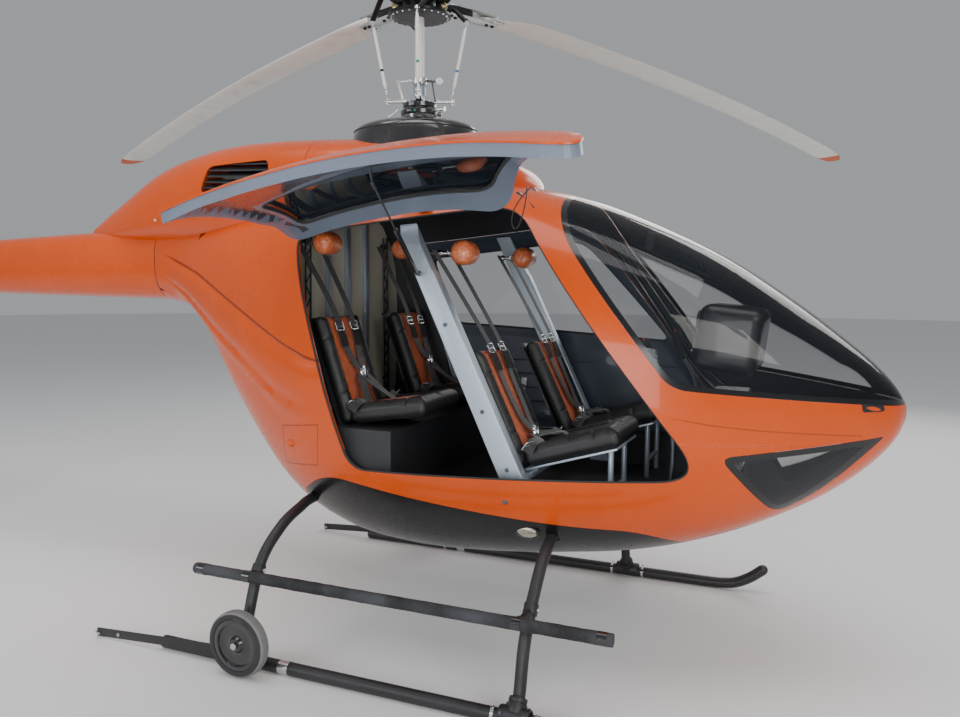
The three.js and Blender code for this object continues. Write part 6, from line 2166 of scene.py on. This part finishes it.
blade_finish = surface("blade_finish", (0.70, 0.70, 0.64), 0.42, "blade_white", coat=0.15, drift=0.05,
                       grain=0.0003)
across = blade_finish.axis(0) * blade_finish.axis(0) + blade_finish.axis(1) * blade_finish.axis(1)
tip = across.between(15.75, 15.80)
streaks = blade_finish.noise(1.2, 6, 0.65, blade_finish.place((3.0, 3.0, 40))).between(0.5, 0.8)
bare_blade = blade_finish.mix(streaks, (0.72, 0.73, 0.67), (0.54, 0.54, 0.49))
blade_finish.feed(Base_Color=blade_finish.mix(tip, bare_blade, ORANGE))
for number, azimuth in enumerate(BLADE_AZIMUTHS, 1):
    rotor_piece(f"blade_{number}", wing(BLADE_ROWS, blade_place(azimuth), 80, 44, sag=SAG), blade_finish,
                stands_for=f"rotor_blade_{number}")
print("blades ready")

# %% Hub plates, grips and bolts
on_mast("hub_plates", [(2.870, 0), (2.870, 0.143), (2.873, 0.149), (2.882, 0.149), (2.885, 0.146),
                       (2.887, 0.078), (2.957, 0.078), (2.959, 0.146), (2.961, 0.149), (2.968, 0.149),
                       (2.971, 0.143), (2.971, 0.060), (2.979, 0.050), (2.979, 0)], deep_black, 72)

STRAP = [(0.172, -0.026), (0.172, 0.026), (0.200, 0.032), (0.320, 0.040), (0.470, 0.034), (0.486, 0.020),
         (0.486, -0.020), (0.470, -0.034), (0.320, -0.040), (0.200, -0.032)]
arms, straps, strap_bolts, fixings, spacers = [], [], [], bmesh.new(), bmesh.new()
for azimuth in BLADE_AZIMUTHS:
    place = blade_place(azimuth)
    arm, strap, heads = bmesh.new(), bmesh.new(), bmesh.new()
    box(arm, (0.090, 0.056, 0.020), (0.127, 0, 0), bevel=0.003)
    box(arm, (0.150, 0.060, 0.0335), (0.235, 0, 0), bevel=0.006)
    for side in (-1, 1):
        plate(strap, STRAP, 0.005, placed((0, 0, side * 0.0195)), 0.0012)
        for reach, across in ((0.195, 0), (0.232, -0.016), (0.232, 0.016), (0.290, 0), (0.424, 0),
                              (0.462, 0)):
            bolt(heads, (reach, across, side * 0.022), (0, 0, side), 0.0075, 0.007)
    for shape, group in ((arm, arms), (strap, straps), (heads, strap_bolts)):
        group.append(moved(shape, place))
    root = place @ Vector((0.190, -0.026, 0))
    head = polar(LINK_HEAD, azimuth - LINK_LEAD, 2.853)
    bar(arms[-1], root, head, 0.024, 0.014, 0.003)
    on_pin = lambda reach: place @ Vector((reach, -0.062, -0.020))
    for washer in range(5):
        reach = 0.425 + washer * 0.013
        rod(fixings, on_pin(reach), on_pin(reach + 0.008), 0.0085 - 0.0012 * (washer % 2), segments=20)
    rod(fixings, on_pin(0.405), on_pin(0.505), 0.004, segments=12)
    middle, side = polar(0.118, azimuth + 45, 2.922), polar(0.026, azimuth + 135, 0)
    rod(spacers, middle - side, middle + side, 0.0125, segments=24, bevel=0.002)
bolt(fixings, (0, 0, 2.979), (0, 0, 1), 0.022, 0.006)
for i in range(24):
    for z, way in ((2.870, -1), (2.971, 1)):
        bolt(fixings, polar(0.134, i * 15 + 7, z), (0, 0, way), 0.0045, 0.0055)
rotor_piece("blade_arms", joined(*arms), deep_black)
rotor_piece("blade_straps", joined(*straps), bare_metal)
rotor_piece("strap_bolts", joined(*strap_bolts), soft_black)
rotor_piece("hub_fixings", fixings, bright_steel)
rotor_piece("hub_spacers", spacers, brass)
print("hub and grips ready")

# %% [markdown]
# ## Tail
# The boom is one long tapering moulding, so it comes from the same kind of form as the body and is
# hollowed by a second one. The fins and the stabiliser are wings with a symmetric section. The boom's
# form is cut out of the fins, and the stabiliser runs through a slot in it, so every joint is a clean line.

# %% Boom, fins, stabiliser and guard
STABILISER = [(-0.760, -3.846, -4.050, 0.008), (-0.752, -3.832, -4.060, 0.015), (0.0, -3.760, -4.060, 0.034),
              (0.752, -3.832, -4.060, 0.015), (0.760, -3.846, -4.050, 0.008)]
UPPER_FIN = [(1.740, -4.500, -4.930, 0.034), (2.060, -4.660, -5.010, 0.028), (2.366, -4.842, -5.107, 0.020),
             (2.380, -4.862, -5.098, 0.010)]
LOWER_FIN = [(1.150, -4.802, -5.000, 0.010), (1.162, -4.786, -5.010, 0.020), (1.400, -4.650, -4.950, 0.028),
             (1.640, -4.560, -4.930, 0.034)]
UPRIGHT = Matrix(((0, 1, 0, 0), (0, 0, 1, 0), (1, 0, 0, 0), (0, 0, 0, 1)))
CROSSWISE = Matrix(((0, 1, 0, 0), (1, 0, 0, 0), (0, 0, -1, 0), (0, 0, 0, 1)))
LEVEL = Matrix.Translation((0, 0, 1.710))
boom_form = form(BOOM_STATIONS, 90 * FINE, 60 * FINE, nose_shift=0)
inner_rows = [(-4.948, *BOOM_STATIONS[0][1:]), *BOOM_STATIONS[1:3], (-1.484, *BOOM_STATIONS[3][1:])]
boom_shell = cut(boom_form.copy(), form(inner_rows, 60, 60, 0.009, 0))
cut(boom_shell, wing(STABILISER, LEVEL @ CROSSWISE, 20, 30, 0.0006))
piece("boom_shell", boom_shell, [orange_plain, inside_black], stands_for="tail_boom")
piece("stabiliser_plane", wing(STABILISER, LEVEL @ CROSSWISE, 40, 48), orange_plain, stands_for="stabiliser")
for name, rows, stand_in in (("fin_above", UPPER_FIN, "upper_fin"), ("fin_below", LOWER_FIN, "lower_fin")):
    piece(name, cut(wing(rows, UPRIGHT, 30, 48), boom_form.copy()), orange_plain, stands_for=stand_in)
GUARD = [(-4.900, 0, 1.170), (-4.902, 0, 1.100), (-4.950, 0, 1.030), (-5.050, 0, 1.012), (-5.200, 0, 1.040),
         (-5.288, 0, 1.108)]
guard = pipe(bmesh.new(), smooth_path(GUARD, 8), 0.011, 20)
ball(guard, GUARD[-1], 0.0112, segments=20)
piece("tail_guard", guard, gear_black)
print("boom and fins ready")

# %% [markdown]
# A dark line of sealant marks where the boom is bonded to the body. Small lamps stand on the fin and the
# stabiliser's tips, and a row of flush screws closes the cover over the gearbox shaft.

# %% Joint line, lamps and screws
def ring_round(rows, x, out=0.0, points=80):
    """Places round the section of a form at x."""
    half, bottom, top, widest = station(rows, x)
    places = []
    for i in range(points):
        angle = math.tau * i / points
        lift, across = math.sin(angle), math.cos(angle)
        power = 2 / (UPPER_FULLNESS if lift > 0 else LOWER_FULLNESS)
        rise = (top - widest if lift > 0 else widest - bottom) + out
        places.append(Vector((x, (half + out) * math.copysign(abs(across) ** power, across),
                              widest + rise * math.copysign(abs(lift) ** power, lift))))
    return evened(places, 0.012)


piece("boom_joint", pipe(bmesh.new(), ring_round(BOOM_STATIONS, -1.5065, 0.0005), 0.0016, 8, closed=True),
      rubber)
tail_lamps, lamp_feet = bmesh.new(), bmesh.new()
for x, y, z, way in ((-3.90, -0.766, 1.710, (0, -1, 0)), (-3.90, 0.766, 1.710, (0, 1, 0)),
                     (-5.004, 0, 2.386, (0, 0, 1))):
    lathe(lamp_feet, [(-0.010, 0), (-0.010, 0.013), (0.000, 0.013), (0.002, 0.010), (0.002, 0)], (x, y, z),
          way, 28)
    at = Vector((x, y, z)) + Vector(way) * 0.004
    ball(tail_lamps, at, 0.0098, (1.5, 1, 1) if y else (1.5, 1, 1.2), segments=20)
piece("tail_lamps", tail_lamps, lamp_lens)
piece("tail_lamp_feet", lamp_feet, dark_metal)
screws = bmesh.new()
for step in range(12):
    x = -4.70 - 0.018 * step
    for side in (-1, 1):
        y = side_of_body(x, 1.745, rows=BOOM_STATIONS)
        lathe(screws, [(-0.003, 0), (-0.003, 0.0045), (0.0006, 0.0045), (0.0012, 0.003), (0.0004, 0.0015),
                       (0.0004, 0)], (x, side * y, 1.745), (0, side, 0.35), 14)
piece("boom_screws", screws, bare_metal, slot="steel")
print("tail details ready")

# %% [markdown]
# ## Tail rotor
# The gearbox carries the tail rotor on the left side. It is a turned casting with a ring of studs. The
# rotor has two blades on one yoke, and a slider on the shaft moves two short links to turn them.

# %% Tail gearbox and tail rotor
TAIL_X, TAIL_Z, TAIL_HUB_Y = -4.900, 1.700, 0.265
TAIL_SHAFT = Vector((TAIL_X, 0, TAIL_Z)), (0, 1, 0)
gearbox = bmesh.new()
lathe(gearbox, [(0.055, 0), (0.055, 0.074), (0.084, 0.074), (0.088, 0.070), (0.092, 0.066), (0.122, 0.062),
                (0.126, 0.066), (0.132, 0.066), (0.136, 0.060), (0.160, 0.052), (0.196, 0.044),
                (0.200, 0.040), (0.200, 0)], *TAIL_SHAFT, 56)
for i in range(8):
    angle = math.tau * i / 8 + 0.2
    way = Vector((math.cos(angle), 0, math.sin(angle)))
    centre = TAIL_SHAFT[0]
    bar(gearbox, centre + way * 0.056 + Vector((0, 0.136, 0)), centre + way * 0.046 + Vector((0, 0.190, 0)),
        0.005, 0.010)
cut(gearbox, boom_form.copy())
without_loose_ends(gearbox)
tail_casting = surface("tail_casting", (0.030, 0.031, 0.034), 0.42, metal=0.3, drift=0.2, grain=0.0015)
piece("gearbox_casting", gearbox, tail_casting, stands_for="tail_gearbox")
studs = bmesh.new()
for i in range(10):
    angle = math.tau * i / 10
    bolt(studs, (TAIL_X + 0.0690 * math.cos(angle), 0.0855, TAIL_Z + 0.0690 * math.sin(angle)), (0, 1, 0),
         0.0035, 0.0055)
piece("gearbox_studs", studs, bright_steel)

tail_hub, tail_metal = bmesh.new(), bmesh.new()
lathe(tail_metal, [(0.2003, 0), (0.2003, 0.016), (0.290, 0.016), (0.295, 0.011), (0.295, 0)], *TAIL_SHAFT, 32)
lathe(tail_metal, [(0.214, 0.0165), (0.214, 0.034), (0.217, 0.036), (0.230, 0.036), (0.233, 0.033),
                   (0.233, 0.0165)], *TAIL_SHAFT, 32)
box(tail_hub, (0.066, 0.024, 0.250), (TAIL_X, TAIL_HUB_Y, TAIL_Z), bevel=0.006)
for side in (-1, 1):
    box(tail_hub, (0.050, 0.030, 0.070), (TAIL_X, TAIL_HUB_Y, TAIL_Z + side * 0.092), bevel=0.005)
    start = Vector((TAIL_X + side * 0.031, 0.224, TAIL_Z))
    end = Vector((TAIL_X + side * 0.048, TAIL_HUB_Y - 0.016, TAIL_Z + side * 0.105))
    rod(tail_metal, start, end, 0.0042, segments=16)
    for place in (start, end):
        ball(tail_metal, place, 0.0082, segments=16)
    bar(tail_hub, (TAIL_X + side * 0.016, TAIL_HUB_Y - 0.010, TAIL_Z + side * 0.105), end, 0.014, 0.008)
    for reach in (0.078, 0.106):
        for face in (-1, 1):
            bolt(tail_metal, (TAIL_X, TAIL_HUB_Y + face * 0.0148, TAIL_Z + side * reach), (0, face, 0),
                 0.0055, 0.005)
piece("tail_yoke", tail_hub, black_gloss, body="tail_rotor_unit", stands_for="tail_rotor")
piece("tail_hub_metal", tail_metal, bright_steel, body="tail_rotor_unit")
TAIL_BLADE = [
    (0.112, 0.018, -0.026, 0.015), (0.120, 0.024, -0.034, 0.020), (0.150, 0.034, -0.048, 0.019),
    (0.200, 0.047, -0.071, 0.016), (0.628, 0.045, -0.067, 0.010), (0.640, 0.038, -0.058, 0.006),
]
tail_finish = surface("tail_blade_finish", (0.70, 0.69, 0.64), 0.40, "blade_white", coat=0.2, drift=0.05,
                      grain=0.0003)
height = abs(tail_finish.axis(2) - TAIL_Z)
tail_finish.feed(Base_Color=tail_finish.mix(height.between(0.548, 0.552), (0.70, 0.69, 0.64), ORANGE))
for number, turn in ((1, 0), (2, 180)):
    place = placed((TAIL_X, TAIL_HUB_Y, TAIL_Z), (0, turn, 0)) @ UPRIGHT
    piece(f"tail_blade_{number}", wing(TAIL_BLADE, place, 30, 40), tail_finish, body="tail_rotor_unit")
print("tail rotor ready")

# %% [markdown]
# ## Landing gear
# Tubes make up nearly all of the gear: two runners with upturned toes, two arched cross tubes and a step
# along each side. A drawn tube is a circle pushed along a curve. Where tubes meet, the real gear has
# sleeves, clamps and bolts, and those are what stop the joints from looking like crossed sticks.

# %% Runners with saddles, clamps and tape
SKID_Y, SKID_Z, SKID_R = 0.886, 0.0275, 0.0275
STEP_Y, STEP_Z, STEP_R = 0.874, 0.384, 0.025
SKID_TOE = [(1.180, 0.0275), (1.280, 0.0276), (1.360, 0.0300), (1.435, 0.0435), (1.505, 0.0800),
            (1.566, 0.1280)]


def skid_path(side):
    toe = smooth_path([(x, side * SKID_Y, z) for x, z in SKID_TOE], 8)
    straight = [Vector((-0.810 + 0.04975 * i, side * SKID_Y, SKID_Z)) for i in range(40)]
    return [*straight, *toe]


for name, side in SIDES:
    y = side * SKID_Y
    runner = pipe(bmesh.new(), skid_path(side), SKID_R, 28)
    ball(runner, (1.5665, y, 0.1284), 0.0270, segments=28)
    lathe(runner, [(-0.004, 0), (-0.004, 0.0268), (0.006, 0.0268), (0.014, 0.018), (0.017, 0)],
          (-0.808, y, SKID_Z), (-1, 0, 0), 28)
    piece(f"{name}_runner", runner, gear_black, stands_for=f"{name}_skid")
    saddles, gear_bolts, clamps = bmesh.new(), bmesh.new(), bmesh.new()
    for _, x, leg in CROSS_TUBES:
        lathe(saddles, symmetric((0.060, 0.0276), (0.060, 0.0340), (0.056, 0.0360)), (x, y, 0.0362),
              (1, 0, 0), 40)
        foot, top = Vector((x, y, 0.045)), Vector((x, side * leg[0][0], leg[0][1]))
        up = (top - foot).normalized()
        rod(saddles, foot, top, 0.0345, 0.0325, 36, 0.003)
        rod(saddles, top - up * 0.012, top + up * 0.006, 0.0355, segments=36, bevel=0.002)
        for along in (-0.045, 0.045):
            for face in (-1, 1):
                bolt(gear_bolts, (x + along, y + face * 0.0300, 0.0560), (0, face, 0.7), 0.0055, 0.006)
        for face in (-1, 1):
            bolt(gear_bolts, foot.lerp(top, 0.62) + Vector((face * 0.0330, 0, 0)), (face, 0, 0), 0.0065,
                 0.007)
    bmesh.ops.bisect_plane(saddles, geom=[*saddles.verts, *saddles.edges, *saddles.faces],
                           plane_co=(0, 0, 0.0012), plane_no=(0, 0, 1), clear_inner=True)
    rims = [e for e in saddles.edges if e.is_boundary]
    bmesh.ops.holes_fill(saddles, edges=rims, sides=0)
    piece(f"{name}_saddles", saddles, gear_black)
    for x in (FRONT_TUBE - 0.085, FRONT_TUBE + 0.085, REAR_TUBE + 0.085):
        lathe(clamps, symmetric((0.006, 0.0274), (0.006, 0.0287)), (x, y, SKID_Z + 0.0008), (1, 0, 0), 40)
        box(clamps, (0.013, 0.012, 0.009), (x, y + side * 0.012, SKID_Z + 0.030), (side * -22, 0, 0), 0.0015)
        rod(clamps, (x, y - side * 0.004, SKID_Z + 0.0315), (x, y + side * 0.026, SKID_Z + 0.0285), 0.0028,
            segments=12)
    piece(f"{name}_hose_clamps", clamps, bright_steel)
    piece(f"{name}_gear_bolts", gear_bolts, dark_metal)
    tape = bmesh.new()
    lathe(tape, [(-0.024, 0.0275), (-0.024, 0.0283), (-0.004, 0.0286), (0.020, 0.0284), (0.024, 0.0282),
                 (0.024, 0.0275)], (-0.168, y, SKID_Z + 0.0006), (1, 0, 0), 40)
    piece(f"{name}_skid_tape", tape, bare_metal)
print("runners ready")

# %% [markdown]
# The steps wear a foam sleeve, a little uneven from use, with tape at its ends. A ring on each leg holds
# the short stub that carries the step.

# %% Cross tubes, step stubs and steps
LEG_AT_STEP = {"front": 0.728, "rear": 0.808}
for name, x, leg in CROSS_TUBES:
    arch = [(x, -y, z) for y, z in leg] + [(x, 0, 0.615)] + [(x, y, z) for y, z in reversed(leg)]
    path = smooth_path(arch, 10)
    tube = pipe(bmesh.new(), path, LEG_RADIUS, 28)
    piece(f"{name}_arch", tube, gear_black, stands_for=f"{name}_cross_tube")
    stubs, stub_bolts = bmesh.new(), bmesh.new()
    for side in (-1, 1):
        leg_y = side * LEG_AT_STEP[name]
        rod(stubs, (x, leg_y, STEP_Z), (x, side * (STEP_Y - STEP_R + 0.001), STEP_Z), 0.0128, segments=24)
        nearest = min(path, key=lambda place: (place - Vector((x, leg_y, STEP_Z))).length)
        index = path.index(nearest)
        way = (path[index + 1] - path[index - 1]).normalized()
        lathe(stubs, symmetric((0.022, 0.0242), (0.022, 0.0275), (0.019, 0.0290)), nearest, way, 36)
        lathe(stubs, [(-0.006, 0.0125), (-0.006, 0.019), (0, 0.021), (0.004, 0.021), (0.004, 0.0125)],
              (x, side * (STEP_Y - STEP_R - 0.002), STEP_Z), (0, side, 0), 28)
        for face in (-1, 1):
            bolt(stub_bolts, nearest + Vector((face * 0.0285, 0, 0)), (face, 0, 0), 0.006, 0.006)
    piece(f"{name}_step_stubs", stubs, gear_black)
    piece(f"{name}_stub_bolts", stub_bolts, bright_steel)

rng = random.Random(7)
for name, side in SIDES:
    path = [Vector((-0.634 + 0.0153 * i, side * STEP_Y, STEP_Z)) for i in range(121)]
    path = [path[0] + Vector((-0.0055, 0, 0)), *path, path[-1] + Vector((0.0055, 0, 0))]
    foam = pipe(bmesh.new(), path, STEP_R - 0.0008, 26)
    worn = [rng.uniform(-0.0009, 0.0009) for _ in range(64)]
    for vert in foam.verts:
        share = (vert.co.x + 0.64) / 1.86 * 60
        low = int(share)
        wear = worn[low] + (worn[low + 1] - worn[low]) * (share - low)
        end = 0.86 if vert.co.x < -0.638 or vert.co.x > 1.211 else 1.0
        for axis, middle in ((1, side * STEP_Y), (2, STEP_Z)):
            vert.co[axis] = middle + (vert.co[axis] - middle) * end * (1 + wear / STEP_R)
    piece(f"{name}_step_foam", foam, worn_foam, stands_for=f"{name}_step")
    bands = bmesh.new()
    for x in (-0.600, FRONT_TUBE, REAR_TUBE, 1.170):
        lathe(bands, symmetric((0.018, 0.0244), (0.018, 0.0256)), (x, side * STEP_Y, STEP_Z), (1, 0, 0), 36)
    piece(f"{name}_step_tape", bands, black_gloss)
print("steps ready")

# %% [markdown]
# A wheel on a flat lever is pinned to each runner for moving the aircraft by hand. The lever lies along
# the runner, with a shackle at its rear end, and the wheel is a moulded hub with a thin worn tyre.

# %% Wheel levers and wheels
WHEEL_X, WHEEL_Y, WHEEL_Z, LEVER_Y, AXLE_END = -0.325, 0.984, 0.143, 0.9215, 1.014
for name, side in SIDES:
    y = side * LEVER_Y
    lever = bmesh.new()
    box(lever, (0.850, 0.008, 0.038), (-0.755, y, 0.048), (0, math.degrees(-0.062), 0), 0.0015)
    upright = [(-0.045, -0.055), (0.035, -0.055), (0.035, 0.040), (0.020, 0.058), (0.0, 0.062),
               (-0.014, 0.058), (-0.035, 0.020)]
    plate(lever, upright, 0.008, placed((-0.345, y, 0.105), (90, 0, 0)), 0.0012)
    piece(f"{name}_wheel_lever", lever, gear_black)
    axle = bmesh.new()
    for start, end, radius, segments, bevel in (
        (y, side * AXLE_END, 0.0098, 28, 0),
        (side * (AXLE_END - 0.0015), side * (AXLE_END + 0.0075), 0.0155, 6, 0.0015),
        (y + side * 0.004, y + side * 0.010, 0.018, 6, 0.0015),
    ):
        rod(axle, (WHEEL_X, start, WHEEL_Z), (WHEEL_X, end, WHEEL_Z), radius, None, segments, bevel)
    for x, z, radius in ((-0.372, 0.062, 0.0065), (-0.335, 0.062, 0.0065), (-0.48, 0.0645, 0.0060),
                         (-1.05, 0.0295, 0.0060)):
        bolt(axle, (x, y + side * 0.004, z), (0, side, 0), radius, 0.006)
    axle_steel = surface(f"{name}_axle_steel", (0.55, 0.60, 0.50), 0.3, "steel", metal=1.0, drift=0.06,
                         cloud_scale=20)
    piece(f"{name}_wheel_axle", axle, axle_steel)
    eye = Vector((-1.160, y, 0.0230))
    loop = [eye + Vector((-0.004 - 0.022 * math.sin(a), side * 0.014 * math.cos(a), 0))
            for a in (math.pi * i / 14 for i in range(15))]
    shackle = pipe(bmesh.new(), [loop[0] + Vector((0.014, 0, 0)), *loop, loop[-1] + Vector((0.014, 0, 0))],
                   0.0035, 12)
    rod(shackle, eye + Vector((0.008, -0.019, 0)), eye + Vector((0.008, 0.019, 0)), 0.0042, segments=12)
    piece(f"{name}_shackle", shackle, bright_steel)

    centre, axis = (WHEEL_X, side * WHEEL_Y, WHEEL_Z), (0, side, 0)
    tyre = lathe(bmesh.new(), symmetric(
        (0.0195, 0.108), (0.0255, 0.1100), (0.0270, 0.1180), (0.0250, 0.1290), (0.0180, 0.1362),
        (0.0085, 0.1378), (0.0075, 0.1362), (0.0055, 0.1362), (0.0045, 0.1380),
    ), centre, axis, 96)
    bmesh.ops.recalc_face_normals(tyre, faces=tyre.faces)
    for face in tyre.faces:
        x, _, z = face.calc_center_median()
        face.material_index = 1 if math.hypot(x - WHEEL_X, z - WHEEL_Z) > 0.1315 else 0
    piece(f"{name}_tyre", tyre, [rubber, tread], slot="wheel_rubber", body=f"{name}_wheel",
          stands_for=f"{name}_ground_wheel")
    hub = lathe(bmesh.new(), symmetric(
        (0.0265, 0.0109), (0.0265, 0.0260), (0.0235, 0.0290), (0.0150, 0.0340), (0.0120, 0.0420),
        (0.0120, 0.0780), (0.0150, 0.0860), (0.0235, 0.0900), (0.0240, 0.1060), (0.0215, 0.1100),
    ), centre, axis, 96)
    piece(f"{name}_wheel_hub", hub, black_gloss, body=f"{name}_wheel")
print("wheels ready")
